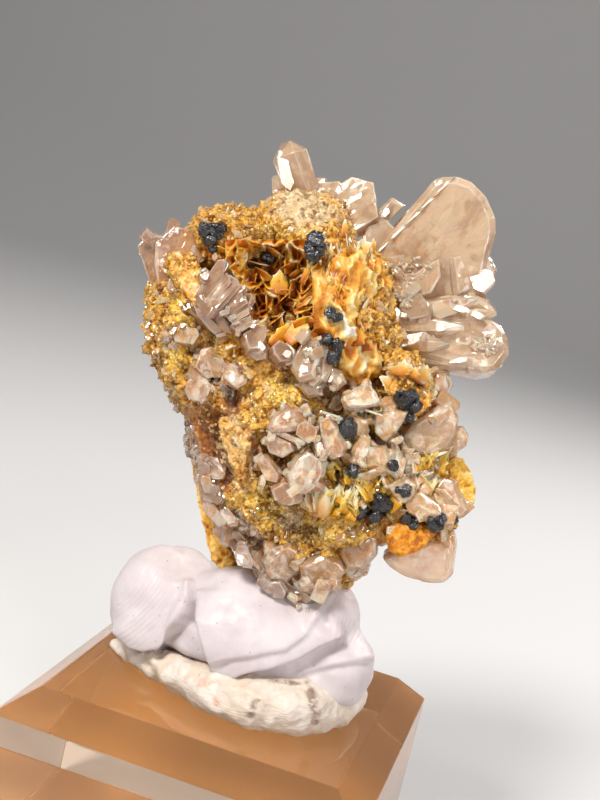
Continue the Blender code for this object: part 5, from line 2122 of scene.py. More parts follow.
def curtain_leaves() -> list[Leaf]:
    """Places the thin plates that stand out of the curtain on the vug's right side.

    Returns:
        The leaves.
    """
    rng = random.Random(23)
    made = []
    for index in range(30):
        share = 0.8 * rng.random()
        across, up = 4.0 + 7.2 * share, rng.uniform(7.5, 19.5)
        out = 6.8 + 1.4 * math.sin(math.pi * share) - 3.4 * share + rng.uniform(-0.5, 0.4)
        made.append(
            Leaf(
                on_sight(across, up, out), rng.uniform(2.6, 5.6), rng.uniform(1.2, 2.6),
                rng.uniform(0.2, 0.36), -12 + 20 * share + rng.uniform(-24, 24),
                rng.choice((-1, 1)) * rng.uniform(20, 74), rng.uniform(-12, 12), rng.uniform(-0.6, 0.6),
                0.4, 2.0, index + 10, rng.random() < 0.6,
            )
        )
    wisps = (
        ((2.2, 15.4), 4.6, 2.2, 62, 66), ((3.2, 14.2), 5.4, 2.0, 74, 70), ((1.4, 13.6), 4.0, 2.0, 58, -66),
        ((4.2, 12.9), 4.6, 1.8, 88, 72), ((3.6, 10.4), 4.8, 2.2, 96, 66), ((5.4, 10.0), 4.4, 2.4, 84, -70),
        ((2.6, 16.8), 4.0, 2.0, 40, 70), ((4.4, 16.2), 4.4, 2.2, 30, 74), ((6.0, 9.0), 4.6, 2.0, 100, 74),
        ((2.0, 11.6), 3.6, 2.0, 110, 60), ((4.8, 8.8), 4.0, 2.4, 70, 64), ((1.0, 17.6), 3.6, 1.8, 24, -64),
        ((1.6, 14.6), 3.8, 1.6, 50, 72), ((0.8, 12.6), 3.4, 1.6, 70, -70), ((3.4, 18.2), 3.8, 1.8, 14, 66),
        ((2.8, 13.2), 4.2, 1.6, 80, -74), ((4.6, 14.6), 4.0, 1.8, 60, 70), ((1.2, 19.0), 3.0, 1.6, 4, 60),
        ((3.8, 11.6), 4.4, 1.8, 92, -66), ((6.6, 20.8), 3.0, 1.6, -10, 64),
        ((8.8, 20.4), 3.4, 1.8, 12, -60),
    )
    for index, ((across, up), length, width, lean, tilt) in enumerate(wisps):
        made.append(
            Leaf(
                on_sight(across, up, 7.0 + rng.uniform(-0.6, 0.8)), length, 0.62 * width, 0.24, lean, tilt, 0,
                rng.uniform(-0.6, 0.6), 0.4, 2.0, index + 60, True,
            )
        )
    for index, (across, up, out, size) in enumerate(((6.1, 23.4, 3.6, 2.6), (10.0, 21.0, 2.6, 2.2))):
        made.append(Leaf(on_sight(across, up, out), size, 0.9, 0.3, 5, 30, 0, 0.1, 0.05, 0.3, index + 80))
    return made


@dataclass
class Curtain:
    """The sheet of orange folds that closes the vug's right side, with its thin plates.

    Attributes:
        voxel: How fine the sheet's skin is.
    """

    voxel: float = 0.24

    def build(self, finish: Material) -> Object:
        """Makes the piece.

        Args:
            finish: The material.

        Returns:
            The piece.
        """
        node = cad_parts["leaf_plates"]
        body = link(bpy.data.objects.new("folds", node.data.copy()))
        body.data.transform(Home.SPECIMEN.value.inverted())
        smoothed(remeshed(body, 0.5), 10)
        remeshed(body, self.voxel)
        points, normals = points_of(body), normals_of(body)
        drift = np.stack([NoiseField(seed).layered(points, 3.0, 2) for seed in (51, 52, 53)], axis=1)
        flow = (points + 0.8 * drift) * np.array((1.0, 0.42, 1.0))
        wall, floor = CellField(1.9, 54).walls(flow, 0.36)
        small, crumple = CellField(1.0, 55).walls(flow + 0.2 * drift, 0.42)
        side = np.clip((points[:, 0] - 3.0) / 7.0, 0, 1)
        lift = np.clip(0.8 + 0.5 * NoiseField(57).layered(points, 2.4, 2), 0.2, 1.3)
        edge = np.clip((points[:, 0] - 2.6) / 2.6, 0.15, 1) * np.clip((21.5 - points[:, 1]) / 4.0, 0.35, 1)
        relief = 0.95 * wall * lift + 0.30 * floor + 0.30 * small + 0.14 * crumple
        height = edge * relief - 0.5 * (1 - edge)
        move_points(body, points + normals * (height - 0.55)[:, None])
        pale = np.clip(0.40 + 0.9 * NoiseField(56).layered(points, 3.4, 2) - 0.45 * side, 0.0, 0.7)
        # Reach rises with the relief, so the finish paints shade into the pockets; the pale noise is the
        # sheet's own tone.
        reach = np.clip(0.18 + 0.34 * height + 0.16 * floor + pale * (0.35 + 0.5 * wall), 0.0, 1.0)
        faces = [tuple(polygon.vertices) for polygon in body.data.polygons]
        sheet = Shell(points_of(body), faces, reach)
        bpy.data.objects.remove(body)
        obj = shells_object([sheet] + [leaf.shell() for leaf in curtain_leaves()], "leaf_plates_look")
        return finish_piece(obj, Home.SPECIMEN, finish, ("leaf_plates",))


# Where black grains stand in the vug, which its lining keeps clear of.
VUG_GRAINS = ((-6.6, 18.9), (-4.4, 19.5))


@dataclass
class Lining:
    """The boxwork of thin walls that lines the back of the vug.

    Attributes:
        step: How fine its skin is.
    """

    step: float = 0.13

    def skin(self) -> Shell:
        """Works out the lining, as a sheet whose front has relief and whose back is plain.

        Returns:
            The lining.
        """
        across, up = np.meshgrid(np.arange(-10.2, 3.0, self.step), np.arange(5.8, 22.0, self.step))
        rows, columns = across.shape
        flat = np.stack([across.ravel(), up.ravel(), np.zeros(across.size)], axis=1)
        drift = np.stack([NoiseField(seed).layered(flat, 2.6, 2) for seed in (71, 72)], axis=1)
        flow = flat + np.concatenate([0.8 * drift, np.zeros((len(flat), 1))], axis=1)
        edge = np.clip(np.hypot((flat[:, 0] + 3.6) / 6.8, (flat[:, 1] - 13.8) / 8.2), 0, 1.15)
        wall, floor = CellField(3.1, 73).walls(flow, 0.20)
        small, inner = CellField(1.5, 74).walls(flow, 0.24)
        lift = np.clip(0.75 + 0.8 * NoiseField(75).layered(flat, 2.2, 2), 0.15, 1.4)
        height = 2.2 * wall * lift + 1.0 * floor + 0.95 * small * (1.3 - 0.5 * lift) + 0.5 * inner
        clear = sum(np.exp(-(((flat[:, 0] - x) ** 2 + (flat[:, 1] - y) ** 2) / 2.6)) for x, y in VUG_GRAINS)
        out = 0.6 + 4.2 * edge**2 + height - np.clip(clear, 0, 1) * (1.6 + height)
        near = (1.0 - out / SIGHT)[:, None]
        front = np.concatenate([flat[:, :2] * near, out[:, None]], axis=1)
        back = np.concatenate([flat[:, :2], np.full((len(flat), 1), -2.2)], axis=1)
        # Reach rises up the walls and towards the vug's edge, so the finish paints shade on the cells' floors
        # and deep in the vug.
        reach = np.clip(0.06 + 0.30 * wall * lift + 0.26 * small + 0.10 * height + 0.22 * edge**2, 0, 1)
        points = np.concatenate([front, back])
        return Shell(points, grid_skin(rows, columns), np.concatenate([reach, np.zeros(rows * columns)]))

    def build(self, finish: Material) -> Object:
        """Makes the piece."""
        obj = shells_object([self.skin()] + [leaf.shell() for leaf in vug_leaves()], "vug_blades_look")
        return finish_piece(obj, Home.SPECIMEN, finish, ("vug_blades",))


def vug_leaves() -> list[Leaf]:
    """Places the thin plates that stand on the vug's lining.

    Returns:
        The leaves.
    """
    rng = random.Random(41)
    made = []
    leans = (8, 52, 118)
    for index in range(44):
        across, up = rng.uniform(-9.0, 1.4), rng.uniform(7.0, 20.6)
        edge = min(1.0, math.hypot((across + 3.8) / 6.5, (up - 13.8) / 7.5))
        out = rng.uniform(1.0, 2.8) + 3.4 * edge**2
        made.append(
            Leaf(
                Vector((across, up, out)), rng.uniform(2.0, 3.8), rng.uniform(1.6, 3.0),
                rng.uniform(0.14, 0.26), rng.choice(leans) + rng.uniform(-14, 14),
                rng.choice((-1, 1)) * rng.uniform(50, 86), rng.uniform(-24, 24),
                rng.uniform(-0.15, 0.2), 0.05, 0.5, index + 100, True,
            )
        )
    return made


def vug_plates() -> list[Leaf]:
    """Places the bright orange plates in the vug's mouth.

    Returns:
        The leaves.
    """
    spots = (
        ((-1.6, 8.6, 6.4), 5.4, 4.0, 0.5, 38, 30, -20), ((-0.4, 9.6, 6.8), 4.4, 3.0, 0.4, 52, -24, -10),
        ((-3.2, 7.6, 6.6), 3.4, 2.8, 0.4, 30, 34, -14), ((0.9, 10.6, 6.6), 3.4, 2.4, 0.35, 60, 40, 0),
        ((-2.8, 16.0, 3.4), 3.2, 2.6, 0.35, 4, 14, 0), ((-1.6, 19.0, 3.6), 3.6, 1.8, 0.35, 2, 50, 0),
        ((-9.2, 22.0, 4.6), 3.8, 3.4, 0.5, 60, 30, 10), ((-8.4, 18.6, 4.2), 3.8, 1.8, 0.4, 38, 40, 0),
        ((-10.8, 20.2, 5.4), 3.2, 2.0, 0.4, 96, 40, 0), ((-5.4, 9.4, 4.6), 3.4, 2.6, 0.35, 20, 44, 0),
        ((1.8, 12.9, 5.6), 2.8, 2.2, 0.35, 82, 30, 0),
    )
    return [
        Leaf(on_sight(*at), length, width, thick, lean, tilt, swing, 0.25, 0.12, 0.5, index + 300, True)
        for index, (at, length, width, thick, lean, tilt, swing) in enumerate(spots)
    ]


def pale_flakes() -> list[Object]:
    """Makes the large cream and sandy flakes to the right of the middle, as broken crystal plates.

    Returns:
        The crystals.
    """
    plates = (
        ([(5.6, 0.0), (7.1, 1.2), (9.2, 2.3), (10.4, 0.8), (10.8, -0.5), (9.2, -1.1), (6.3, -1.4)],
          8.6, 1.6, 12, -18, 60),
        ([(7.2, -6.6), (8.7, -4.1), (9.6, -5.3), (9.2, -7.4), (7.9, -9.2), (6.8, -8.6)],
          8.4, 1.2, 24, -8, 20),
        ([(8.7, -9.2), (9.6, -6.6), (11.6, -6.2), (12.4, -7.8), (11.6, -9.8), (9.6, -10.4)],
          8.0, 1.6, -16, 10, 10),
        ([(11.6, -10.0), (12.8, -5.7), (14.5, -8.6), (13.7, -10.8)], 7.6, 1.4, 20, -12, 10),
        ([(10.3, -1.9), (13.4, -1.4), (14.8, -1.5), (13.7, -3.6), (11.9, -5.9), (10.3, -4.5)],
          7.2, 1.6, -10, 12, 40),
        ([(6.2, -3.3), (7.1, -2.2), (9.3, -2.7), (9.0, -4.4), (7.4, -5.2)], 8.0, 1.2, -28, 6, 30),
        ([(12.0, -11.8), (13.9, -10.1), (15.9, -11.5), (15.3, -13.7), (13.4, -14.2)], 7.2, 1.6, 14, 10, 40),
        ([(14.2, -13.7), (16.4, -12.6), (18.9, -14.5), (20.0, -16.1), (17.8, -16.7), (15.0, -15.6)],
          6.6, 1.8, -12, 16, 70),
        ([(16.9, -14.8), (19.1, -14.2), (21.3, -15.9), (20.8, -17.2), (18.3, -17.2)],
          6.0, 1.6, 10, -12, 60),
        ([(5.5, -9.6), (7.1, -8.5), (8.5, -10.4), (7.4, -11.8), (5.7, -11.2)], 7.6, 1.0, -30, 10, 20),
        ([(6.6, -14.2), (7.1, -11.8), (8.5, -10.7), (9.0, -12.6), (7.9, -14.5)], 7.4, 1.0, 34, -6, 10),
        ([(10.4, -0.3), (12.3, 0.5), (13.7, -0.8), (11.8, -1.6)], 6.6, 1.4, 10, 18, 70),
    )
    return [
        face_plate(outline, out, thickness, tilt, swing, 0.12, 0.05, grain)
        for outline, out, thickness, tilt, swing, grain in plates
    ]


def pale_shards(ground: Ground) -> list[Object]:
    """Makes the thin broken flakes that stand between the large ones.

    Args:
        ground: What they grow on.

    Returns:
        The flakes.
    """
    made = [prism(on_sight(8.9, -1.4, 8.6), on_sight(11.3, -2.2, 9.0), 0.4, 0.7, 0.1, blunt=0.5, edge=0.06)]
    rng = random.Random(37)
    for _ in range(150):
        share = rng.random()
        across, up = 5.0 + 15.0 * share + rng.gauss(0, 1.5), -1.6 - 13.4 * share + rng.gauss(0, 2.2)
        length = rng.uniform(1.4, 3.6)
        made.append(
            shard(
                ground.at(across, up, 0.25 * length), length, length * rng.uniform(0.4, 0.8),
                rng.uniform(0.25, 0.5), rng.gauss(10, 45), rng.uniform(-65, 65), rng.uniform(-45, 20), rng,
            )
        )
    return made


def dome_leaves(ground: Ground) -> list[Leaf]:
    """Places the curved orange plates round the black grains on the right, like a broken shell.

    Args:
        ground: What they stand on.

    Returns:
        The leaves.
    """
    ring = (
        (12.3, 2.4, 2.6, 3.2, -40, 24), (14.2, 4.2, 2.0, 4.2, 4, -20), (16.5, 3.6, 2.4, 3.4, 36, 24),
        (17.6, 0.6, 2.2, 2.8, 84, -22),
    )
    return [
        Leaf(ground.at(across, up, 0.9), length, width, 0.5, lean, tilt, 14, 0.8, 0.3, 1.2, index + 500, True)
        for index, (across, up, length, width, lean, tilt) in enumerate(ring)
    ]


def olive_leaves(ground: Ground) -> list[Leaf]:
    """Places the olive yellow blades that stand between the pale flakes.

    Args:
        ground: What they grow on.

    Returns:
        The leaves.
    """
    rng = random.Random(43)
    spots = [(7.4, -6.4), (7.9, -8.6), (7.0, -10.4), (8.3, -12.2), (6.8, -13.6), (10.8, -8.8), (9.4, -5.2)]
    spots += [(rng.uniform(3.6, 12.6), rng.uniform(-14.8, -2.4)) for _ in range(70)]
    spots += [(rng.uniform(14.0, 20.0), rng.uniform(-12.6, -6.4)) for _ in range(24)]
    return [
        Leaf(
            ground.at(across, up, rng.uniform(0.2, 0.8)), rng.uniform(2.0, 4.4), rng.uniform(1.0, 2.6),
            rng.uniform(0.2, 0.35), rng.gauss(8, 34), rng.choice((-1, 1)) * rng.uniform(14, 78),
            rng.uniform(-30, 20), rng.uniform(-0.5, 0.5), 0.3, 1.8, index + 400, True,
        )
        for index, (across, up) in enumerate(spots)
    ]


def druse(
    ground: Ground, patches: Sequence[Patch], count: int, small: float, large: float, seed: int
) -> list[Object]:
    """Makes small crystals, set on a front where it shows in some patches.

    Args:
        ground: The front.
        patches: Where they are.
        count: How many in each patch.
        small: The smallest crystal's length.
        large: The largest crystal's length.
        seed: Another seed gives other crystals.

    Returns:
        The crystals.
    """
    rng = random.Random(seed)
    made = []
    for patch in patches:
        angle = math.radians(patch.turn)
        for _ in range(count):
            far, way = math.sqrt(rng.random()), rng.uniform(0, math.tau)
            wide, tall = patch.wide * far * math.cos(way), patch.tall * far * math.sin(way)
            across = patch.across + wide * math.cos(angle) - tall * math.sin(angle)
            up = patch.up + wide * math.sin(angle) + tall * math.cos(angle)
            length = small + (large - small) * rng.random() ** 2
            made.append(
                table(
                    ground.at(across, up, 0.1 * length), length, length * rng.uniform(0.45, 0.8),
                    length * rng.uniform(0.3, 0.6), rng.uniform(-90, 90), rng.uniform(-70, 70),
                    rng.uniform(-70, 70), 0.3, 0.04,
                )
            )
    return made


def low_leaves() -> list[Leaf]:
    """Places the cream leaves that curl out below the clear crystals.

    Returns:
        The leaves.
    """
    spots = [
        ((1.4, -13.2, 8.4), 3.8, 2.4, 0.9, -28, 25, 0.8), ((3.0, -13.9, 8.6), 4.2, 2.3, 0.9, 14, -22, -0.7),
        ((2.2, -12.8, 7.6), 2.4, 3.8, 1.5, 0, 0, 0.3), ((2.2, -13.6, 8.8), 3.2, 1.6, 0.6, -6, 40, 0.5),
    ]
    return [
        Leaf(on_sight(*at), length, width, thick, lean, tilt, 0, curl, 0.15, 0.8, index + 230)
        for index, (at, length, width, thick, lean, tilt, curl) in enumerate(spots)
    ]


# The ore.


def on_face(points: np.ndarray) -> np.ndarray:
    """Finds where points of the specimen's frame show on the plane through its centre."""
    return points[:, :2] / (1.0 - points[:, 2:3] / SIGHT)


@dataclass(frozen=True)
class Groove:
    """A line pressed into a surface, or raised on it, where it shows on the face.

    Attributes:
        places: Places along it on the show face.
        depth: How deep it is, less than 0 where it is raised.
        width: Half its width.
        lip: How high the putty that it pushed up stands beside it.
    """

    places: tuple[Spot, ...]
    depth: float
    width: float
    lip: float = 0.0

    def height(self, face: np.ndarray) -> np.ndarray:
        """Works out the groove's relief.

        Args:
            face: Where each point shows on the face.

        Returns:
            How far out each point moves.
        """
        nearest = np.full(len(face), 99.0)
        for start, end in zip(self.places, self.places[1:]):
            foot, along = np.array(start), np.array(end) - np.array(start)
            share = np.clip((face - foot) @ along / (along @ along), 0, 1)
            nearest = np.minimum(nearest, np.linalg.norm(face - foot - share[:, None] * along, axis=1))
        cut = np.exp(-((nearest / self.width) ** 2))
        beside = np.exp(-(((nearest - 1.9 * self.width) / self.width) ** 2))
        return self.lip * beside - self.depth * cut


@dataclass(frozen=True)
class Fold:
    """The edge of a lobe that laps over what is beside it, where it shows on the face.

    Attributes:
        places: Places along it, with the lobe on the left.
        rise: How far the lobe stands up at its edge.
        reach: How far from its edge the lobe is level again.
    """

    places: tuple[Spot, ...]
    rise: float
    reach: float

    def height(self, face: np.ndarray) -> np.ndarray:
        """Works out the fold's relief.

        Args:
            face: Where each point shows on the face.

        Returns:
            How far out each point moves.
        """
        nearest, side, past = np.full(len(face), 99.0), np.zeros(len(face)), np.zeros(len(face))
        for start, end in zip(self.places, self.places[1:]):
            foot, along = np.array(start), np.array(end) - np.array(start)
            free = (face - foot) @ along / (along @ along)
            share = np.clip(free, 0, 1)
            away = face - foot - share[:, None] * along
            distance = np.linalg.norm(away, axis=1)
            here = distance < nearest
            nearest = np.where(here, distance, nearest)
            side = np.where(here, along[0] * away[:, 1] - along[1] * away[:, 0], side)
            past = np.where(here, np.abs(free - share) * np.linalg.norm(along), past)
        lobe = self.rise * np.exp(-((nearest / self.reach) ** 1.5))
        under = -0.6 * self.rise * np.exp(-nearest / (0.6 * self.reach))
        blend = np.clip(side / (np.abs(side) + 1e-6) * nearest / 0.35, -1, 1) * 0.5 + 0.5
        return (under + (lobe - under) * blend) * np.exp(-((past / 0.9) ** 2))


def ellipsoid_depth(points: np.ndarray, lumps: Sequence[Lump]) -> np.ndarray:
    """Measures how deep points are in the nearest of several ellipsoids.

    Args:
        points: One row of three numbers for each point.
        lumps: The ellipsoids.

    Returns:
        For each point, 1 at an ellipsoid's middle, 0 on its skin and less outside.
    """
    deepest = np.full(len(points), -9.0)
    for centre, half_sizes, turn in lumps:
        back = np.array(Matrix.Rotation(-math.radians(turn), 3, "Z"))
        inside = (points - np.array(centre)) @ back.T / np.array(half_sizes)
        deepest = np.maximum(deepest, 1 - np.linalg.norm(inside, axis=1))
    return deepest


MATRIX_LUMPS: tuple[Lump, ...] = (
    ((-5.8, 5.4, -3.0), (12.2, 13.2, 9.5), 15), ((5.5, 3.0, -4.0), (11.0, 15.0, 9.0), -10),
    ((-0.5, -10.0, -3.0), (11.5, 12.0, 7.5), 20), ((1.0, -19.5, -2.5), (8.0, 6.5, 5.5), -25),
    ((2.0, -24.5, -2.0), (4.2, 3.6, 3.6), -20), ((-9.5, 21.5, -1.0), (6.0, 4.0, 5.5), -5),
    ((1.0, 23.0, -2.5), (6.5, 5.0, 5.0), -25), ((-16.2, 10.6, 0.5), (4.2, 7.4, 5.5), 5),
    ((-14.8, 4.6, 1.0), (3.2, 5.6, 4.5), 32), ((13.5, -8.0, -2.0), (6.5, 9.5, 6.0), 15),
    ((14.0, -14.5, 1.0), (7.0, 4.5, 5.0), -20), ((13.8, 1.6, 3.0), (3.4, 3.2, 4.0), 0),
    ((6.0, -12.0, 2.0), (6.0, 8.0, 5.5), 0), ((-4.0, -3.0, 2.0), (9.0, 6.0, 6.0), 30),
    ((8.5, 10.0, -1.0), (4.0, 11.0, 6.5), 0), ((-9.6, -8.6, 0.0), (4.2, 11.5, 5.6), 20),
)
HOLLOW_LUMPS: tuple[Lump, ...] = (
    ((-4.2, 14.5, 8.0), (6.0, 8.0, 9.5), 10), ((-1.0, 9.5, 8.5), (4.0, 4.5, 7.0), 35),
    ((-6.0, 18.5, 9.0), (5.0, 3.5, 6.0), 0), ((-3.9, -7.6, 8.5), (2.4, 3.6, 5.0), 20),
    ((9.6, -14.4, 8.0), (3.4, 2.2, 4.0), -15), ((-11.5, -6.0, 7.0), (2.4, 5.5, 3.5), 18),
)
# Where the ore is sulphur yellow powder, smooth rust, cream sand and glassy crystal film.
ORE_PATCHES: dict[str, tuple[Patch, ...]] = {
    "powder": (
        Patch(-1.4, 22.6, 4.4, 1.7, -8), Patch(-2.3, 1.3, 2.6, 2.3, -20),
        Patch(-12.2, -14.0, 2.4, 10.6, 18), Patch(21.4, -12.0, 3.4, 5.4), Patch(18.4, 1.3, 1.6, 3.2, 10),
        Patch(-16.6, 12.2, 1.0, 3.6, 14), Patch(7.6, -8.6, 3.0, 6.4, -4), Patch(-8.8, 3.4, 1.7, 1.9),
        Patch(0.6, -7.6, 6.4, 6.0, 0, 0.7), Patch(-4.4, -14.4, 3.6, 3.0, -30, 0.6),
        Patch(1.6, -17.6, 5.4, 1.8, -12, 0.6), Patch(-17.0, 6.0, 1.8, 2.4, 0, 0.6),
    ),
    "rust": (
        Patch(-9.3, 0.2, 1.6, 2.2), Patch(-13.4, -4.4, 2.8, 4.8, 12), Patch(-10.8, -9.6, 1.7, 3.4, 12),
        Patch(14.8, -18.9, 4.0, 2.8), Patch(-11.6, 20.6, 1.8, 1.4), Patch(-6.6, -7.2, 1.6, 3.2, 20),
    ),
    "sand": (
        Patch(0.6, 26.2, 4.4, 3.0, -14), Patch(-8.9, -7.2, 1.9, 4.9, 12), Patch(-1.2, -16.3, 1.5, 1.6),
        Patch(15.4, -8.6, 4.6, 4.6, -50),
    ),
    "film": (
        Patch(-12.5, 4.3, 2.0, 2.6), Patch(-14.9, -6.4, 1.1, 3.4, 16), Patch(-11.6, -12.6, 1.1, 3.0, 24),
        Patch(-6.0, -19.6, 1.5, 6.4, 42), Patch(-1.4, -23.6, 4.0, 2.2, -20), Patch(-17.4, 8.6, 1.6, 1.6),
        Patch(-10.6, 2.0, 0.8, 3.4, 30), Patch(1.2, 2.2, 1.8, 1.2, -20),
    ),
}
# Parts of the ore that carry no crumbs.
BARE_PATCHES = (
    Patch(-8.9, -7.2, 2.0, 5.0, 12), Patch(-12.2, -15.6, 2.2, 9.0, 18), Patch(0.4, 26.0, 4.0, 2.8, -14),
)
# The ore's recesses and clefts. Those with a depth below 0 are ridges.
ORE_GROOVES = (
    Groove(((-9.8, 1.0), (-9.4, -1.0)), 1.8, 1.1),
    Groove(((-11.4, -2.4), (-11.0, -6.0), (-10.0, -10.6)), 1.3, 0.8),
    Groove(
        ((-12.9, -9.6), (-12.2, -12.4), (-10.6, -16.2), (-8.0, -20.0), (-4.0, -24.0), (0.4, -26.0)),
        -1.0,
        1.0,
    ),
    Groove(((-14.4, 10.4), (-10.6, 6.6), (-6.0, 3.2)), -0.6, 1.2),
    Groove(((-13.2, 4.6), (-11.0, 1.8), (-9.2, -2.0)), -0.7, 0.7),
    Groove(((9.4, -13.6), (10.6, -15.4), (9.6, -16.8)), 1.4, 1.0),
    Groove(((10.2, 6.4), (10.4, 3.4), (11.2, 0.4), (12.4, -2.0)), 2.4, 1.0),
    Groove(((-2.0, -7.2), (-3.6, -9.6), (-2.4, -11.0)), 2.0, 1.1),
    Groove(((5.4, -7.4), (5.0, -10.4), (5.6, -12.6)), 1.6, 0.9),
    Groove(((-16.4, 4.6), (-14.0, 2.8), (-11.4, 3.0)), 1.2, 0.8),
    Groove(((-4.6, -15.0), (-1.6, -17.4), (2.4, -17.8)), 1.2, 0.9),
)


def ore_ledges() -> list[Object]:
    """Makes the plates that are one with the ore: the back plate, the slab's edge and the flaps.

    Returns:
        The plates.
    """
    return [
        table(on_sight(-18.2, 14.0, 2.5), 6.0, 3.4, 2.2, lean=20, tilt=-20),
        table(on_sight(-15.7, 17.2, 4.6), 6.0, 3.8, 2.2, lean=-30, tilt=15),
        table(on_sight(0.8, 24.2, 1.0), 7.0, 9.0, 3.0, lean=-30, tilt=10),
    ]


@dataclass(frozen=True)
class OrePlate:
    """A flake, flap or slab of ore that stands off the mass.

    Attributes:
        name: The piece's name.
        outline: Its corners on the show face.
        out: How far out of the face it is.
        thickness: Its thickness.
        tilt: See turned.
        swing: See turned.
        rough: How rough its skin is, in millimetres.
        seed: Another seed gives another skin.
    """

    name: str
    outline: tuple[Spot, ...]
    out: float
    thickness: float
    tilt: float
    swing: float
    rough: float
    seed: int

    def build(self, finish: Material) -> Object:
        """Makes the piece.

        Args:
            finish: The material.

        Returns:
            The piece.
        """
        body = face_plate(self.outline, self.out, self.thickness, self.tilt, self.swing, 0.4, 0.15)
        smoothed(remeshed(body, 0.2), 3)
        points, normals = points_of(body), normals_of(body)
        bend = 0.5 * NoiseField(self.seed).layered(points, 5.0, 2)
        height = self.rough * (
            0.8 * NoiseField(self.seed + 1).layered(points, 1.6, 3)
            + 0.5 * CellField(0.9, self.seed).chips(points)
            + 0.35 * CellField(0.5, self.seed + 2).chips(points)
        )
        moved = points + normals * height[:, None]
        moved[:, 2] += bend
        move_points(body, moved)
        set_field(body, "height", height / self.rough)
        body.name = self.name
        return finish_piece(body, Home.SPECIMEN, finish, ())


def ore_plates() -> list[tuple[OrePlate, Material]]:
    """Lists the flakes, flaps and slabs of ore, each with its finish.

    Returns:
        The plates and their materials.
    """
    back = (
        (-15.1, -5.0), (-14.2, -6.8), (-13.1, -9.6), (-11.8, -12.3), (-10.4, -17.8), (-8.9, -21.9),
        (-8.2, -24.1), (-9.6, -24.4), (-11.9, -21.9), (-13.3, -16.4), (-14.4, -10.9),
    )
    slab = (
        (-10.9, -2.8), (-10.2, -2.5), (-8.2, -3.1), (-7.0, -4.2), (-6.8, -6.4), (-7.0, -10.6),
        (-7.2, -11.8), (-8.3, -11.3), (-9.2, -9.5), (-10.3, -5.5), (-10.8, -4.0),
    )
    flake = (
        (20.0, -8.5), (20.9, -7.7), (21.9, -7.9), (23.2, -9.6), (23.9, -12.3), (23.8, -13.9), (22.7, -15.6),
        (21.7, -16.4), (20.6, -15.2), (20.0, -12.0),
    )
    flap = (
        (11.7, -18.2), (12.4, -17.0), (14.2, -16.7), (18.2, -17.1), (18.4, -18.4), (16.2, -20.6),
        (13.6, -21.5), (12.0, -20.4),
    )
    chunk = (
        (-17.6, 20.2), (-16.6, 20.0), (-14.6, 18.0), (-13.8, 16.2), (-13.2, 13.6), (-14.4, 12.6),
        (-16.4, 15.0),
    )
    dome = (
        (12.0, 1.0), (12.2, 3.2), (13.4, 4.6), (15.2, 4.9), (16.9, 3.9), (17.8, 1.8), (17.6, -0.6),
        (16.2, -2.0), (14.2, -1.8), (12.8, -0.8),
    )
    sandy = EarthFinish("sandy slab", seen(140, 84, 20), seen(206, 148, 70), seen(232, 194, 130)).make()
    golden = EarthFinish("golden plate", seen(150, 88, 14), seen(214, 148, 40), seen(248, 204, 110)).make()
    creamy = EarthFinish("creamy chunk", seen(186, 100, 12), seen(240, 170, 70), seen(252, 222, 170)).make()
    sulphur = EarthFinish("sulphur flake", seen(190, 122, 20), seen(236, 180, 62), seen(250, 216, 128)).make()
    ruddy = EarthFinish("ruddy dome", seen(146, 76, 10), seen(228, 146, 40), seen(252, 208, 120)).make()
    orange = EarthFinish("orange flap", seen(168, 94, 8), seen(212, 130, 14), seen(232, 160, 44)).make()
    return [
        (OrePlate("back_plate", back, -4.0, 1.7, -10, 0, 0.22, 91), golden),
        (OrePlate("slab", slab, 6.6, 2.4, -12, 6, 0.34, 95), sandy),
        (OrePlate("yellow_flake", flake, 0.2, 1.5, 20, 0, 0.16, 99), sulphur),
        (OrePlate("orange_flap", flap, 5.6, 2.0, 10, -15, 0.16, 103), orange),
        (OrePlate("orange_chunk", chunk, 5.4, 1.9, 12, -12, 0.2, 107), creamy),
        (OrePlate("dome", dome, 5.2, 2.4, 10, -16, 0.3, 109), ruddy),
    ]


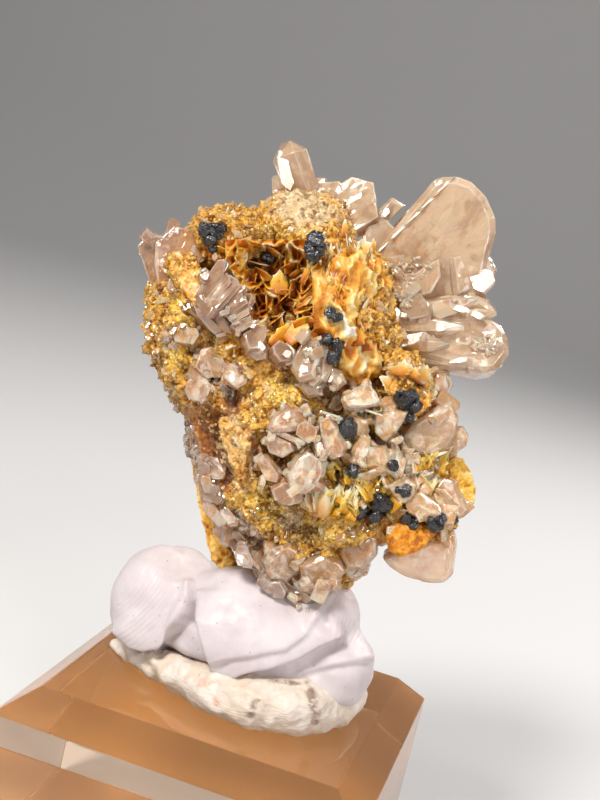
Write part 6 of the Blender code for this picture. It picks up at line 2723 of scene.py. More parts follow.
@dataclass
class Ore:
    """The ochre mass with its vug, pits and ledges.

    Attributes:
        voxel: How fine its skin is.
    """

    voxel: float = 0.32

    def body(self) -> Object:
        """Makes the mass's shape.

        Returns:
            The mass, in millimetres of the specimen's frame.
        """
        mass = remeshed(lump_object(MATRIX_LUMPS, "ore"), 1.0)
        combine(mass, remeshed(lump_object(HOLLOW_LUMPS, "hollow"), 1.0), "DIFFERENCE")
        remeshed(mass, 1.0)
        points, normals = points_of(mass), normals_of(mass)
        broad = np.array([noise.noise(Vector(p) / 7.0) for p in points])
        shift = Vector((9, 3, 5))
        crests = np.array([1 - 2 * abs(noise.noise(Vector(p) / 7.0 * 2.7 + shift)) for p in points])
        move_points(mass, points + normals * (1.5 * broad + 0.8 * crests)[:, None])
        for ledge in ore_ledges():
            bm = bmesh.new()
            bm.from_mesh(mass.data)
            bm.from_mesh(ledge.data)
            bm.to_mesh(mass.data)
            bm.free()
            bpy.data.objects.remove(ledge)
        remeshed(mass, self.voxel)
        return smoothed(mass, 3)

    def roughen(self, mass: Object) -> None:
        """Gives the mass its crumbly skin.

        Args:
            mass: The mass.
        """
        points, normals = points_of(mass), normals_of(mass)
        coarse, fine = NoiseField(3), NoiseField(8)
        height = 0.56 * coarse.ridged(points, 3.4, 3) - 0.28
        height += 0.40 * CellField(1.9, 5).chips(points) + 0.24 * (CellField(1.1, 6).pebbles(points) - 0.5)
        crumbs = 0.20 * CellField(0.85, 7).chips(points) + 0.14 * fine.layered(points, 0.6, 2)
        face = on_face(points)
        calm = np.maximum(0.7 * self.share("film", points), self.share("rust", points))
        calm = np.maximum(calm, np.max([patch.share(face) for patch in BARE_PATCHES], axis=0))
        height = height * (1 - 0.65 * calm) + crumbs * (1 - 0.75 * calm)
        front = np.clip(points[:, 2] / 3 + 1.4, 0, 1)
        height += front * sum(groove.height(face) for groove in ORE_GROOVES)
        move_points(mass, points + normals * (height * 0.9)[:, None])
        set_field(mass, "height", height)

    def share(self, zone: str, points: np.ndarray) -> np.ndarray:
        """Works out how much of each place is of a kind.

        Args:
            zone: The kind.
            points: One row of three numbers for each place.

        Returns:
            One number for each place, from 0 to 1.
        """
        face = on_face(points)
        ragged = NoiseField(21).layered(points, 2.4, 3)
        front = np.clip(points[:, 2] / 3 + 1.4, 0, 1)
        share = np.zeros(len(points))
        for patch in ORE_PATCHES[zone]:
            share = np.maximum(share, patch.share(face, ragged))
        away = NoiseField(sum(map(ord, zone))).layered(points, 6.0, 3)
        elsewhere = np.clip((away - 0.38) * 4, 0, 1)
        return share * front + elsewhere * (1 - front)

    def mark(self, mass: Object, grown: Sequence[Object]) -> None:
        """Stores the numbers that the mass's finish and its crusts read.

        Args:
            mass: The mass.
            grown: The finished pieces that stand on it, which the crusts keep clear of.
        """
        points = points_of(mass)
        for zone in ORE_PATCHES:
            set_field(mass, zone, self.share(zone, points))
        calm = sum(self.share(zone, points) for zone in ("film", "rust"))
        face = on_face(points)
        for patch in BARE_PATCHES:
            calm = np.maximum(calm, patch.share(face))
        patchy = np.clip(0.75 + 0.9 * NoiseField(61).layered(points, 3.0, 2), 0.15, 1.0)
        set_field(mass, "crumbly", patchy * np.clip(1 - calm, 0, 1))
        # How deep each place lies in the vug and the pits, which the finish darkens as painted shade.
        depth = ellipsoid_depth(points, HOLLOW_LUMPS)
        set_field(mass, "hollow", np.clip(1.2 + 4.0 * depth, 0, 1))
        tree = tree_of(*grown)
        place = Home.SPECIMEN.value
        gaps = np.array([tree.find_nearest(place @ Vector(p))[3] for p in points]) / MM
        set_field(mass, "room", np.clip((gaps - 0.15) / 0.5, 0, 1))


# Crusts.


@dataclass(frozen=True)
class Crust:
    """Tiny crystals that stand all over a surface.

    Attributes:
        name: The piece's name.
        where: The numbers on the surface whose product says where the crystals stand.
        density: How many there are in a square millimetre.
        small: The smallest crystal's size.
        large: The largest crystal's size.
        spread: How far they lean away from the surface's own direction, in degrees.
        seed: Another seed gives another crust.
        shapes_of: The width and depth of each crystal beside its height, and how many sides it has.
        sunk: How much of a crystal's height is in the ground.
    """

    name: str
    where: tuple[str, ...]
    density: float
    small: float
    large: float
    spread: float
    seed: int
    shapes_of: tuple[tuple[float, float, int], ...] = (
        (0.55, 0.3, 4), (0.7, 0.6, 5), (0.9, 0.4, 6), (0.5, 0.45, 4),
    )
    sunk: float = 0.3

    def shapes(self) -> bpy.types.Collection:
        """Makes the crystals that the crust is made from, standing on the origin and one millimetre high.

        Returns:
            A collection that isn't shown.
        """
        rng = random.Random(self.seed)
        shelf = bpy.data.collections.new(f"{self.name}_shapes")
        for width, depth, sides in self.shapes_of:
            bm = bmesh.new()
            points = []
            for level, size in ((-self.sunk, 0.8), (rng.uniform(0.45, 0.7) - self.sunk, 1.0)):
                for side in range(sides):
                    angle = math.tau * (side + rng.uniform(0.3, 0.7)) / sides
                    x, y = math.cos(angle) * width * size / 2, math.sin(angle) * depth * size / 2
                    points.append((x, y, level))
            points.append((-0.25 * width, 0, 1.0 - self.sunk))
            points.append((0.25 * width, 0, rng.uniform(0.85, 1.0) - self.sunk))
            bmesh.ops.convex_hull(bm, input=[bm.verts.new(p) for p in points])
            obj = from_bmesh(bm, f"{self.name}_shape")
            bpy.context.scene.collection.objects.unlink(obj)
            shelf.objects.link(obj)
        return shelf

    def tree(self, shelf: bpy.types.Collection, finish: Material) -> bpy.types.GeometryNodeTree:
        """Builds the node tree that sets the crystals out.

        Args:
            shelf: The crystals.
            finish: Their material.

        Returns:
            The tree.
        """
        tree = bpy.data.node_groups.new(self.name, "GeometryNodeTree")
        kinds = {
            "Geometry": "Geometry",
            "Density": "Float",
            "Seed": "Int",
            "Smallest": "Float",
            "Largest": "Float",
            "Spread": "Float",
        }
        for label, kind in kinds.items():
            tree.interface.new_socket(label, in_out="INPUT", socket_type=f"NodeSocket{kind}")
        tree.interface.new_socket("Geometry", in_out="OUTPUT", socket_type="NodeSocketGeometry")
        given = add_node(tree, "NodeGroupInput").outputs

        amount = given["Density"]
        for label in self.where:
            read = add_node(tree, "GeometryNodeInputNamedAttribute", data_type="FLOAT", Name=label)
            times = add_node(tree, "ShaderNodeMath", operation="MULTIPLY", Value=amount)
            join(tree, times.inputs[1], read.outputs["Attribute"])
            amount = times.outputs["Value"]
        scatter = add_node(
            tree, "GeometryNodeDistributePointsOnFaces", Mesh=given["Geometry"], Density=amount,
            Seed=given["Seed"],
        )
        shapes = add_node(
            tree, "GeometryNodeCollectionInfo", Collection=shelf, Separate_Children=True, Reset_Children=True
        )

        most = add_node(tree, "ShaderNodeCombineXYZ", X=given["Spread"], Y=given["Spread"], Z=math.pi)
        least = add_node(
            tree, "ShaderNodeVectorMath", operation="SCALE", Vector=most.outputs["Vector"], Scale=-1.0
        )
        lean = add_node(
            tree, "FunctionNodeRandomValue", data_type="FLOAT_VECTOR", Min=least.outputs["Vector"],
            Max=most.outputs["Vector"],
        )
        aim = add_node(
            tree, "FunctionNodeRotateRotation", rotation_space="LOCAL", Rotation=scatter.outputs["Rotation"],
            Rotate_By=lean.outputs["Value"],
        )
        size = add_node(tree, "FunctionNodeRandomValue", data_type="FLOAT")
        number = {s.name: s for s in size.inputs if s.type == "VALUE"}
        join(tree, number["Min"], given["Smallest"])
        join(tree, number["Max"], given["Largest"])
        place = add_node(
            tree, "GeometryNodeInstanceOnPoints", Points=scatter.outputs["Points"],
            Instance=shapes.outputs["Instances"], Pick_Instance=True, Rotation=aim.outputs["Rotation"],
            Scale=next(s for s in size.outputs if s.type == "VALUE"),
        )

        tint = add_node(tree, "FunctionNodeRandomValue", data_type="FLOAT")
        store = add_node(
            tree, "GeometryNodeStoreNamedAttribute", data_type="FLOAT", domain="INSTANCE",
            Geometry=place.outputs["Instances"], Name="tint",
            Value=next(s for s in tint.outputs if s.type == "VALUE"),
        )
        real = add_node(tree, "GeometryNodeRealizeInstances", Geometry=store.outputs["Geometry"])
        paint = add_node(
            tree, "GeometryNodeSetMaterial", Geometry=real.outputs["Geometry"], Material=finish
        )
        add_node(tree, "NodeGroupOutput", Geometry=paint.outputs["Geometry"])
        return tree

    def build(self, ground: Object, finish: Material) -> Object:
        """Sets the crust out on a surface.

        Args:
            ground: The surface, in millimetres of the specimen's frame.
            finish: The crystals' material.

        Returns:
            The crust, as a plain mesh in the same frame.
        """
        shelf = self.shapes()
        tree = self.tree(shelf, finish)
        modifier = ground.modifiers.new("crust", "NODES")
        modifier.node_group = tree
        sockets = {s.name: s.identifier for s in tree.interface.items_tree if s.in_out == "INPUT"}
        values = {
            "Density": self.density, "Seed": self.seed, "Smallest": self.small, "Largest": self.large,
            "Spread": math.radians(self.spread),
        }
        for label, value in values.items():
            modifier[sockets[label]] = value
        bpy.context.view_layer.update()
        graph = bpy.context.evaluated_depsgraph_get()
        mesh = bpy.data.meshes.new_from_object(ground.evaluated_get(graph))
        ground.modifiers.remove(modifier)
        return link(bpy.data.objects.new(self.name, mesh))


# The black grains.

BLACK_GROUPS: dict[str, tuple[Point, ...]] = {
    "black_grains_crest": (
        (-12.9, 23.2, 1.2), (-11.6, 23.0, 1.3), (-12.2, 21.9, 1.1), (-10.7, 23.4, 0.8), (-11.9, 20.8, 0.8),
    ),
    "black_grain_vug_left": ((-6.6, 18.8, 1.05),),
    "black_grain_vug_right": ((-4.4, 19.6, 1.25),),
    "black_grains_ridge": ((2.2, 21.7, 1.45), (1.8, 19.9, 1.2), (2.8, 20.6, 1.0), (1.2, 20.9, 0.85)),
    "black_grains_notch": ((4.2, 11.8, 0.9), (5.1, 11.2, 0.8)),
    "black_grain_step": ((3.6, 8.3, 0.95),),
    "black_grains_step": ((5.4, 7.5, 1.1), (4.6, 5.8, 1.05), (5.0, 6.5, 0.9)),
    "black_grain_middle": ((6.1, -3.9, 1.7),),
    "black_grains_dome": ((14.5, 0.2, 1.75), (15.5, -0.6, 1.3), (14.9, -2.4, 0.9), (13.6, 0.6, 1.0)),
    "black_grain_leaf": ((7.2, -9.7, 1.1),),
    "black_grain_white": ((12.7, -9.0, 0.85),),
    "black_grains_pocket": ((14.3, -12.4, 1.0), (13.4, -12.2, 0.7)),
    "black_grains_cleft": ((10.8, -14.0, 1.5), (8.3, -15.3, 1.3), (10.2, -15.7, 1.2), (11.9, -14.4, 1.0)),
    "black_grains_flap": ((14.6, -16.0, 1.1), (15.4, -17.0, 1.0)),
    "black_grains_rim": ((18.4, -16.9, 1.3), (19.2, -16.2, 0.9)),
    "black_grain_rim_end": ((20.7, -16.5, 0.95),),
}


@dataclass(frozen=True)
class BlackGroup:
    """Black crystals grown together.

    Attributes:
        node: The solid that they stand for.
        grains: Where each shows on the face, and its radius.
        seed: Another seed gives other crystals.
    """

    node: str
    grains: tuple[Point, ...]
    seed: int

    def build(self, finish: Material) -> Object:
        """Makes the piece.

        Args:
            finish: The material.

        Returns:
            The piece.
        """
        back = Home.SPECIMEN.value.inverted()
        out = float(np.mean([(back @ v.co).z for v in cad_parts[self.node].data.vertices]))
        rng = random.Random(self.seed)
        bm = bmesh.new()
        for across, up, radius in self.grains:
            centre = on_sight(across, up, out)
            for turn in range(5):
                way = Vector([rng.uniform(-1, 1) for _ in range(3)]).normalized()
                shift = way * radius * 0.5 * min(turn, 1)
                size = radius * (2.1 if turn == 0 else rng.uniform(0.9, 1.3))
                spread = [Vector([rng.gauss(0, 1) for _ in range(3)]).normalized() for _ in range(15)]
                leaf = crystal([centre + shift + way * size * 0.5 for way in spread], 0.04)
                bm.from_mesh(leaf.data)
                bpy.data.objects.remove(leaf)
        obj = from_bmesh(bm, f"{self.node}_look")
        return finish_piece(obj, Home.SPECIMEN, finish, (self.node,), smooth=False)


# The putty.


def to_face(points: np.ndarray, home: Home) -> tuple[np.ndarray, np.ndarray]:
    """Finds where points of any frame show on the specimen's face.

    Args:
        points: One row of three numbers for each point.
        home: The points' frame.

    Returns:
        Where each point shows, and how far out of the face it is.
    """
    into = np.array(Home.SPECIMEN.value.inverted() @ home.value)
    own = points @ into[:3, :3].T + into[:3, 3]
    return on_face(own), own[:, 2]


WHITE_LUMPS: tuple[Lump, ...] = (
    ((-13.4, -3.0, 9.0), (6.6, 6.6, 8.4), 0), ((-11.0, 1.0, 8.0), (8.0, 7.5, 9.0), 0),
    ((0.5, -3.5, 9.5), (11.5, 8.0, 8.4), -4), ((3.0, 0.5, 7.0), (14.5, 8.5, 7.5), 0),
    ((10.6, -1.0, 12.2), (5.4, 6.6, 7.2), 0), ((14.6, -2.0, 8.6), (4.8, 6.2, 5.0), 0),
    ((8.0, -4.5, 5.5), (11.0, 5.5, 3.6), 4),
)
WHITE_FOLDS = (
    Fold(
        (
            (-24.6, -31.6), (-23.2, -33.2), (-21.4, -33.9), (-19.4, -33.4), (-17.4, -31.8), (-15.4, -29.4),
            (-14.8, -27.6), (-14.6, -25.8),
        ),
        1.6,
        3.0,
    ),
    Fold(
        (
            (-14.3, -26.6), (-14.2, -29.9), (-12.9, -34.0), (-11.6, -36.8), (-10.4, -37.6), (-7.6, -37.0),
            (-4.2, -36.4), (-1.0, -35.4), (1.9, -33.9), (5.0, -32.4),
        ),
        1.5,
        2.6,
    ),
    Fold(
        ((-10.9, -35.3), (-6.5, -34.8), (-2.3, -34.0), (1.0, -32.0), (2.6, -29.6), (4.2, -27.2)),
        0.5,
        1.6,
    ),
    Fold(((0.6, -37.4), (4.6, -36.4), (8.0, -35.9), (10.6, -35.4)), 0.6, 1.6),
    Fold(((10.8, -34.6), (9.2, -32.2), (8.4, -29.8), (8.6, -27.6)), 0.45, 1.4),
)
WHITE_GROOVES = (
    Groove(((-14.8, -28.2), (-15.4, -30.0)), 1.2, 0.7),
    Groove(((3.4, -30.7), (3.5, -30.8)), 0.5, 0.9, 0.2),
    Groove(((-18.5, -34.6), (-13.7, -36.8), (-6.8, -39.1)), 0.6, 0.7, 0.3),
)
FINGER_MARKS = (Patch(-21.7, -28.6, 3.4, 5.4, -20, 0.45), Patch(6.4, -31.4, 2.4, 3.0, 10, 0.5))
FINGER_CENTRE = (-34.0, -16.0)


@dataclass
class WhitePutty:
    """The fresh lump, folded and pressed, that holds the specimen.

    Attributes:
        voxel: How fine its skin is.
    """

    voxel: float = 0.3

    def build(self, finish: Material) -> Object:
        """Makes the piece.

        Args:
            finish: The material.

        Returns:
            The piece.
        """
        lump = remeshed(lump_object(WHITE_LUMPS, "white_putty_look"), 0.9)
        points, normals = points_of(lump), normals_of(lump)
        broad = np.array([noise.noise(Vector(p) / 9.0) for p in points])
        points += normals * (0.7 * broad)[:, None]
        points[:, 2] = np.maximum(points[:, 2], 0.3)
        move_points(lump, points)
        remeshed(lump, self.voxel)
        smoothed(lump, 20)
        points, normals = points_of(lump), normals_of(lump)
        face, _ = to_face(points, Home.BLOCK_TOP)
        front = np.clip(-normals[:, 1] * 2.2 + 0.5, 0, 1)
        height = sum(mark.height(face) for mark in WHITE_FOLDS + WHITE_GROOVES) * front
        soft = NoiseField(12)
        height += 0.16 * soft.layered(points, 4.0, 2)
        height -= 0.55 * np.clip(soft.ridged(points, 9.0, 1) - 0.55, 0, 1) * (1 - front)
        points += normals * height[:, None]
        points[:, 2] = np.maximum(points[:, 2], 0.3)
        move_points(lump, points)
        smoothed(lump, 1)
        prints = np.max([mark.share(face) for mark in FINGER_MARKS], axis=0)
        set_field(lump, "print", prints * front)
        set_field(lump, "swirl", np.linalg.norm(face - np.array(FINGER_CENTRE), axis=1))
        for name in ("dirt", "flush"):
            set_field(lump, name, np.zeros(len(points)))
        return finish_piece(lump, Home.BLOCK_TOP, finish, ("white_putty",))


ROLL: tuple[tuple[Spot, float], ...] = (
    ((-17.6, -1.6), 1.0), ((-14.2, -4.2), 2.0), ((-10.0, -6.2), 2.6), ((-5.0, -8.4), 3.0),
    ((0.5, -10.2), 3.6), ((6.0, -10.2), 4.2), ((11.2, -7.6), 4.6), ((14.0, -3.0), 4.4), ((14.6, 2.4), 3.8),
    ((13.0, 7.4), 3.0),
)
SMUDGES = (
    Patch(-6.1, -41.6, 1.0, 0.6, 24), Patch(-6.8, -43.0, 0.7, 0.4), Patch(1.7, -41.2, 0.7, 2.6, 14),
    Patch(6.9, -37.4, 0.9, 2.0, 20), Patch(4.0, -36.4, 2.4, 0.5, -4), Patch(1.9, -43.8, 0.6, 0.6),
    Patch(-1.8, -38.6, 2.0, 0.35, -6), Patch(5.0, -39.2, 1.4, 0.4, 40),
)
FLUSHES = (
    Patch(-13.0, -38.6, 3.6, 0.8, -14), Patch(-8.8, -39.4, 1.6, 0.6), Patch(-11.6, -41.4, 1.8, 0.7, -30),
)


@dataclass
class OldPutty:
    """The dirty roll that the new lump is pressed on.

    Attributes:
        voxel: How fine its skin is.
    """

    voxel: float = 0.26

    def build(self, finish: Material) -> Object:
        """Makes the piece.

        Args:
            finish: The material.

        Returns:
            The piece.
        """
        lumps = []
        for (spot, thick), (after, thick_after) in zip(ROLL, ROLL[1:]):
            for share in (0.0, 0.25, 0.5, 0.75):
                x, y = Vector(spot).lerp(Vector(after), share)
                radius = thick + (thick_after - thick) * share
                lumps.append(((x, y, radius * 0.72), (radius, radius, radius * 0.86), 0))
        roll = remeshed(lump_object(lumps, "old_putty_look"), self.voxel)
        smoothed(roll, 8)
        points, normals = points_of(roll), normals_of(roll)
        soft = NoiseField(31)
        along = points[:, 0] + 0.5 * points[:, 1]
        twist = np.sin(1.3 * along + 2.2 * points[:, 2] + 2.0 * soft.at(points, 5.0))
        left = np.clip((-points[:, 0] - 5) / 5, 0, 1)
        height = 0.4 * twist * left - 0.1
        height += 0.16 * soft.ridged(points, 2.6, 3) + 0.40 * soft.layered(points, 3.4, 3)
        points += normals * height[:, None]
        points[:, 2] = np.maximum(points[:, 2], 0.12)
        move_points(roll, points)
        face, _ = to_face(points, Home.BLOCK_TOP)
        torn = soft.layered(points, 0.8, 2)
        for name, patches in (("dirt", SMUDGES), ("flush", FLUSHES)):
            set_field(roll, name, np.max([patch.share(face, torn) for patch in patches], axis=0))
        set_field(roll, "print", np.full(len(points), 0.8))
        set_field(roll, "swirl", points[:, 2] - 0.4 * points[:, 1] + 0.8 * soft.layered(points, 2.0, 2))
        return finish_piece(roll, Home.BLOCK_TOP, finish, ("old_putty",))


# The block.

BLOCK_WIDTH = 50.0
BLOCK_DEPTH = 49.0
CUT_BACK = 4.4
CUT_DOWN = 3.7


@dataclass
class Block:
    """The clear base with its top edges cut back.

    Attributes:
        edge: How wide its rubbed edges are.
    """

    edge: float = 0.22

    def build(self, finish: Material) -> Object:
        """Makes the piece.

        Args:
            finish: The material.

        Returns:
            The piece.
        """
        half_width, half_depth = BLOCK_WIDTH / 2, BLOCK_DEPTH / 2
        points = []
        for x in (-1, 1):
            for y in (-1, 1):
                for height, back in ((0, 0), (BLOCK_HEIGHT - CUT_DOWN, 0), (BLOCK_HEIGHT, CUT_BACK)):
                    points.append(Vector((x * (half_width - back), y * (half_depth - back), height)))
        block = crystal(points, self.edge)
        block.name = "acrylic_block_look"
        return finish_piece(block, Home.ROW, finish, ("acrylic_block",), smooth=False)


# The studio.


@dataclass(frozen=True)
class Lamp:
    """A soft light.

    Attributes:
        name: Its name.
        place: Where it is, in metres.
        size: How wide it is, in metres.
        power: Its power in watts.
        colour: Its colour.
    """

    name: str
    place: Point
    size: float
    power: float
    colour: Colour = (1.0, 1.0, 1.0)

    def build(self) -> None:
        """Puts the light in the scene, turned to the specimen."""
        data = bpy.data.lights.new(self.name, "AREA")
        data.shape = "DISK"
        data.size = self.size
        data.energy = self.power
        data.color = self.colour
        lamp = link(bpy.data.objects.new(self.name, data))
        lamp.location = self.place
        aim = Vector((0, 0, 0.06)) - Vector(self.place)
        lamp.rotation_euler = aim.to_track_quat("-Z", "Y").to_euler()


@dataclass
class Studio:
    """The floor, the backdrop, the lights and the camera.

    Attributes:
        lamps: The lights.
        sky: How bright the light from all round is.
        eye: Where the camera is, in metres.
        turn: How far it is turned about the upright, in degrees.
        fall: How far down it looks, in degrees.
        roll: How far it is rolled, in degrees.
        lens: Its focal length, for a picture 36 mm high.
    """

    lamps: tuple[Lamp, ...] = (
        Lamp("key", KEY_PLACE, 0.13, 2.2, (1.0, 0.98, 0.95)),
        Lamp("fill", (0.36, -0.26, 0.16), 0.26, 0.7, (1.0, 0.97, 0.95)),
        Lamp("rim", (0.16, 0.30, 0.34), 0.20, 1.4, (1.0, 0.99, 0.98)),
        Lamp("glint_left", (-0.34, -0.22, 0.22), 0.06, 0.35, (1.0, 0.99, 0.98)),
        Lamp("glint_right", (0.22, -0.34, 0.34), 0.06, 0.35, (1.0, 0.99, 0.98)),
    )
    sky: float = 0.17
    eye: Point = (0.03834, -0.16566, 0.10068)
    turn: float = 13.0
    fall: float = 11.15
    roll: float = 12.97
    lens: float = 57.06

    def sweep(self, finish: Material) -> Object:
        """Makes the floor, which curves up into the backdrop.

        Args:
            finish: The material.

        Returns:
            The floor.
        """
        profile = [(-1.6, 0.0), (0.6, 0.0)]
        bends = np.linspace(0.1, math.pi / 2, 14)
        profile += [(0.6 + 0.4 * math.sin(a), 0.4 - 0.4 * math.cos(a)) for a in bends]
        profile += [(1.0, 2.2)]
        bm = bmesh.new()
        columns = [[bm.verts.new((x, y, z - 0.0003)) for y, z in profile] for x in (-2.4, 2.4)]
        for row in range(len(profile) - 1):
            bm.faces.new((columns[0][row], columns[1][row], columns[1][row + 1], columns[0][row + 1]))
        floor = from_bmesh(bm, "studio_sweep")
        floor.data.materials.append(finish)
        floor.data.polygons.foreach_set("use_smooth", [True] * len(floor.data.polygons))
        return floor

    def camera(self) -> None:
        """Sets the camera at the viewing angle."""
        data = bpy.data.cameras.new("camera")
        data.sensor_fit = "VERTICAL"
        data.sensor_height = 36.0
        data.sensor_width = 36.0
        data.lens = self.lens
        data.clip_start = 0.01
        view = link(bpy.data.objects.new("camera", data))
        view.matrix_world = (
            Matrix.Translation(self.eye)
            @ Matrix.Rotation(math.radians(self.turn), 4, "Z")
            @ Matrix.Rotation(math.radians(90 - self.fall), 4, "X")
            @ Matrix.Rotation(math.radians(self.roll), 4, "Z")
        )
        bpy.context.scene.camera = view

    def build(self, finish: Material) -> None:
        """Sets the studio up.

        Args:
            finish: The floor's material.
        """
        self.sweep(finish)
        for lamp in self.lamps:
            lamp.build()
        world = bpy.data.worlds.new("studio")
        world.use_nodes = True
        background = world.node_tree.nodes["Background"]
        background.inputs["Color"].default_value = (1.0, 0.97, 0.95, 1.0)
        background.inputs["Strength"].default_value = self.sky
        bpy.context.scene.world = world
        bpy.context.scene.view_settings.view_transform = "Standard"
        self.camera()


# The whole.


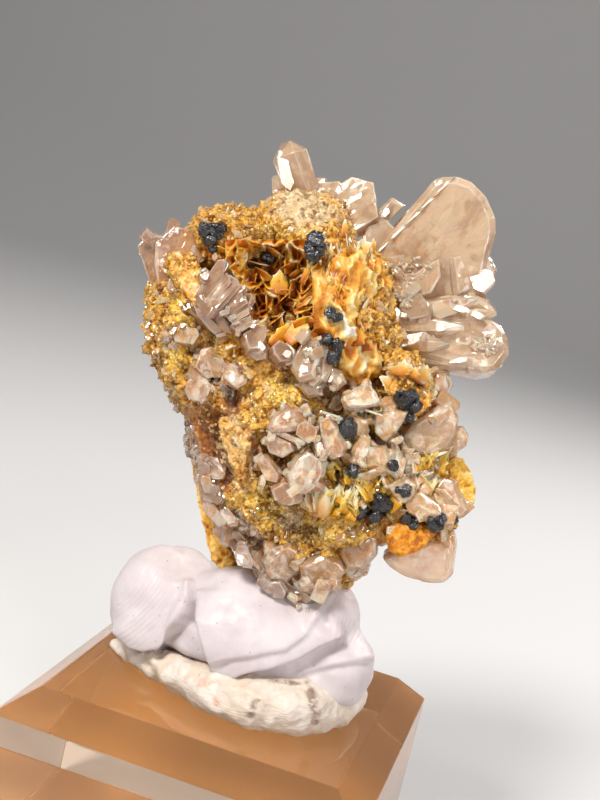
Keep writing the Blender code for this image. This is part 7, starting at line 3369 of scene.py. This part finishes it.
@dataclass
class Specimen:
    """Everything that stands on the floor.

    Attributes:
        pale: The finish of the pale crystals.
        rosy: The finish of the rosy crystals.
    """

    pale: Material = field(default_factory=lambda: CrystalFinish("pale crystal").make())
    rosy: Material = field(
        default_factory=lambda: CrystalFinish(
            "rosy crystal", seen(206, 164, 132), seen(226, 194, 166), stain=0.35, passing=0.6, drawn=0.25
        ).make()
    )

    def crystals(self, ground: Ground) -> list[Object]:
        """Makes the crystal groups.

        Args:
            ground: The ore's front.

        Returns:
            The pieces.
        """
        cream = CrystalFinish(
            "cream flake", seen(232, 184, 128), seen(255, 240, 220), dust=seen(240, 184, 70), stain=0.6,
            passing=0.35, drawn=0.35, milk=0.5, veils=1.2,
        ).make()
        # The hanging crystal's finish is painted lighter than the other crystals' to make up for the shade
        # that it hangs in; its pinker tone is its own.
        hanging = CrystalFinish(
            "hanging crystal", seen(252, 208, 176), seen(254, 222, 198), passing=0.12, milk=2.0, stain=0.03
        ).make()
        peach = CrystalFinish(
            "peach crystal", seen(230, 176, 126), seen(255, 236, 212), dust=seen(246, 184, 74), stain=0.5,
            passing=0.6, drawn=0.35, milk=0.7, veils=1.3,
        ).make()
        tawny = CrystalFinish(
            "tawny crystal", seen(244, 198, 150), seen(250, 220, 186), dust=seen(240, 180, 80), stain=0.25,
            passing=0.6, drawn=0.3, veils=1.5,
        ).make()
        foot = CrystalFinish(
            "foot crystal", seen(226, 186, 148), seen(252, 232, 208), dust=seen(220, 150, 66), stain=0.35,
            drawn=0.3, milk=0.9, veils=1.3,
        ).make()
        groups = (
            ("pale_leaves", pale_flakes, cream, "cream_leaf", 3, 0.1),
            ("cerussite_fan", cerussite_fan, self.pale, "pale_crystal", 1, 0.0),
            ("top_crystals", top_crystals, self.pale, "pale_crystal", 1, 0.0),
            ("lower_crystal", lower_crystal, hanging, "pale_crystal", 0, 0.12),
            ("centre_prisms", centre_prisms, self.pale, "pale_crystal", 4, 0.0),
            ("shell_crystals", shell_crystals, peach, "pale_crystal", 4, 0.0),
            ("foot_crystals", foot_crystals, foot, "rosy_crystal", 7, 0.0),
            ("left_plates", left_plates, self.rosy, "rosy_crystal", 4, 0.0),
            ("right_crystals", right_crystals, tawny, "rosy_crystal", 4, 0.0),
            ("striated_book", striated_book, self.rosy, "rosy_crystal", 1, 0.0),
        )
        pieces = [
            CrystalGroup(f"{node}_look", slot, (node,), make, growths, wear).build(finish, ground.tree)
            for node, make, finish, slot, growths, wear in groups
        ]
        glassy = CrystalFinish(
            "glassy crystal", seen(222, 190, 170), seen(244, 224, 210), stain=0.15, passing=0.7, milk=0.8
        ).make()
        fan = Ground(*(piece for piece in pieces if piece.name == "cerussite_fan_look"), finished=True)
        dusty = CrystalFinish(
            "dusty druse", seen(222, 188, 140), seen(236, 212, 170), dust=seen(150, 100, 50), stain=0.6,
            passing=0.45, milk=0.25,
        ).make()
        on_fan = (
            Patch(14.6, 17.4, 3.6, 1.8, 20), Patch(13.0, 14.4, 2.6, 1.8, -20), Patch(25.2, 7.4, 1.6, 1.4),
        )
        among = (
            Patch(0.8, -2.6, 5.0, 1.6, -14), Patch(0.4, -9.6, 4.6, 3.4, 0), Patch(4.2, 0.6, 3.4, 1.6, -20),
            Patch(17.6, -5.4, 4.6, 4.0, 30), Patch(16.6, 0.4, 2.0, 2.4), Patch(3.0, -21.4, 8.0, 3.4, 70),
        )
        small = (
            ("side_crystals", side_crystals, foot, "rosy_crystal", 4),
            ("glassy_band", lambda: glassy_band(ground), glassy, "rosy_crystal", 0),
            ("glinting_crystals", lambda: glinting_crystals(ground), self.pale, "pale_crystal", 0),
            ("pale_shards", lambda: pale_shards(ground), cream, "cream_leaf", 0),
            ("fan_druse", lambda: druse(fan, on_fan, 70, 0.4, 1.1, 3), dusty, "pale_crystal", 0),
            ("fan_bevel", lambda: fan_bevel(fan), self.pale, "pale_crystal", 0),
            ("middle_druse", lambda: druse(ground, among, 40, 0.5, 1.8, 4), peach, "pale_crystal", 0),
        )
        for name, make, finish, slot, growths in small:
            pieces.append(CrystalGroup(name, slot, (), make, growths).build(finish, ground.tree))
        return pieces

    def leaves(self, ground: Ground) -> list[Object]:
        """Makes the leaf groups.

        Args:
            ground: The ore's front.

        Returns:
            The pieces.
        """
        finishes = (
            LeafFinish("amber plate", seen(180, 94, 2), seen(244, 162, 30), seen(252, 216, 132), 0.15, 0.25),
            LeafFinish("vug blade", seen(112, 52, 4), seen(226, 134, 10), seen(250, 198, 84), 0.2, 0.25),
            LeafFinish("bright plate", seen(214, 122, 0), seen(252, 176, 6), seen(255, 206, 84), 0.15, 0.4),
            LeafFinish("cream leaf", seen(208, 150, 74), seen(238, 206, 156), seen(248, 230, 204), 0.3, 0.3),
            LeafFinish("olive blade", seen(214, 148, 16), seen(250, 202, 84), seen(254, 232, 172), 0.15, 0.3),
            LeafFinish("dome plate", seen(200, 116, 16), seen(240, 174, 66), seen(252, 226, 160), 0.2, 0.3),
        )
        groups = (
            Curtain(),
            Lining(),
            LeafGroup("vug_plates_look", "amber_plate", (), vug_plates()),
            LeafGroup("low_leaf_look", "cream_leaf", ("low_leaf",), low_leaves()),
            LeafGroup("olive_blades", "amber_plate", (), olive_leaves(ground)),
            LeafGroup("dome_plates", "amber_plate", (), dome_leaves(ground)),
        )
        return [group.build(finish.make()) for group, finish in zip(groups, finishes)]

    def build(self) -> None:
        """Makes every piece in order."""
        ore = Ore()
        mass = ore.body()
        ore.roughen(mass)
        ground = Ground(mass, finished=False)
        black = BlackFinish().make()
        grains = [
            BlackGroup(node, spots, index).build(black)
            for index, (node, spots) in enumerate(BLACK_GROUPS.items())
        ]
        grown = grains + self.crystals(ground) + self.leaves(ground)
        grown += [ore_plate.build(finish) for ore_plate, finish in ore_plates()]
        ore.mark(mass, grown)
        chunky = ((1.1, 0.9, 5), (0.9, 0.8, 4), (1.3, 1.0, 6), (1.0, 0.6, 4))
        tabular = ((0.8, 0.35, 6), (0.7, 0.5, 5), (1.0, 0.4, 6), (0.6, 0.5, 4))
        crusts = (
            (
                Crust("ore_crumbs", ("room", "crumbly"), 3.0, 0.2, 0.62, 50, 2, chunky, 0.5),
                GrainFinish("ochre crumb"),
            ),
            (
                Crust("ore_crystals", ("room", "crumbly"), 0.34, 0.7, 1.7, 60, 4, tabular, 0.5),
                GrainFinish("beige druse", 0.7, seen(206, 158, 98), seen(250, 226, 184), 0.5),
            ),
            (
                Crust("film_druse", ("room", "film"), 1.1, 0.5, 1.5, 45, 3, chunky, 0.55),
                GrainFinish("grey druse", 0.75, seen(176, 144, 122), seen(236, 212, 192), 0.55),
            ),
        )
        made = []
        for crust, finish in crusts:
            material = finish.make()
            made.append((crust.build(mass, material), material))
        finish_piece(mass, Home.SPECIMEN, OreFinish().make(), ("matrix",))
        for piece, material in made:
            finish_piece(piece, Home.SPECIMEN, material, (), smooth=False)
        WhitePutty().build(PuttyFinish("white putty").make())
        old = PuttyFinish(
            "old putty", seen(218, 206, 194), seen(208, 190, 170), seen(112, 84, 72), soiled=0.8
        )
        OldPutty().build(old.make())
        Block().build(AcrylicFinish().make())


def main() -> None:
    """Builds the specimen in its studio."""
    logging.basicConfig(level=logging.INFO, format="%(message)s")
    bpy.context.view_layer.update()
    Specimen().build()
    Studio().build(PlainFinish().make())


if __name__ == "__main__":
    main()
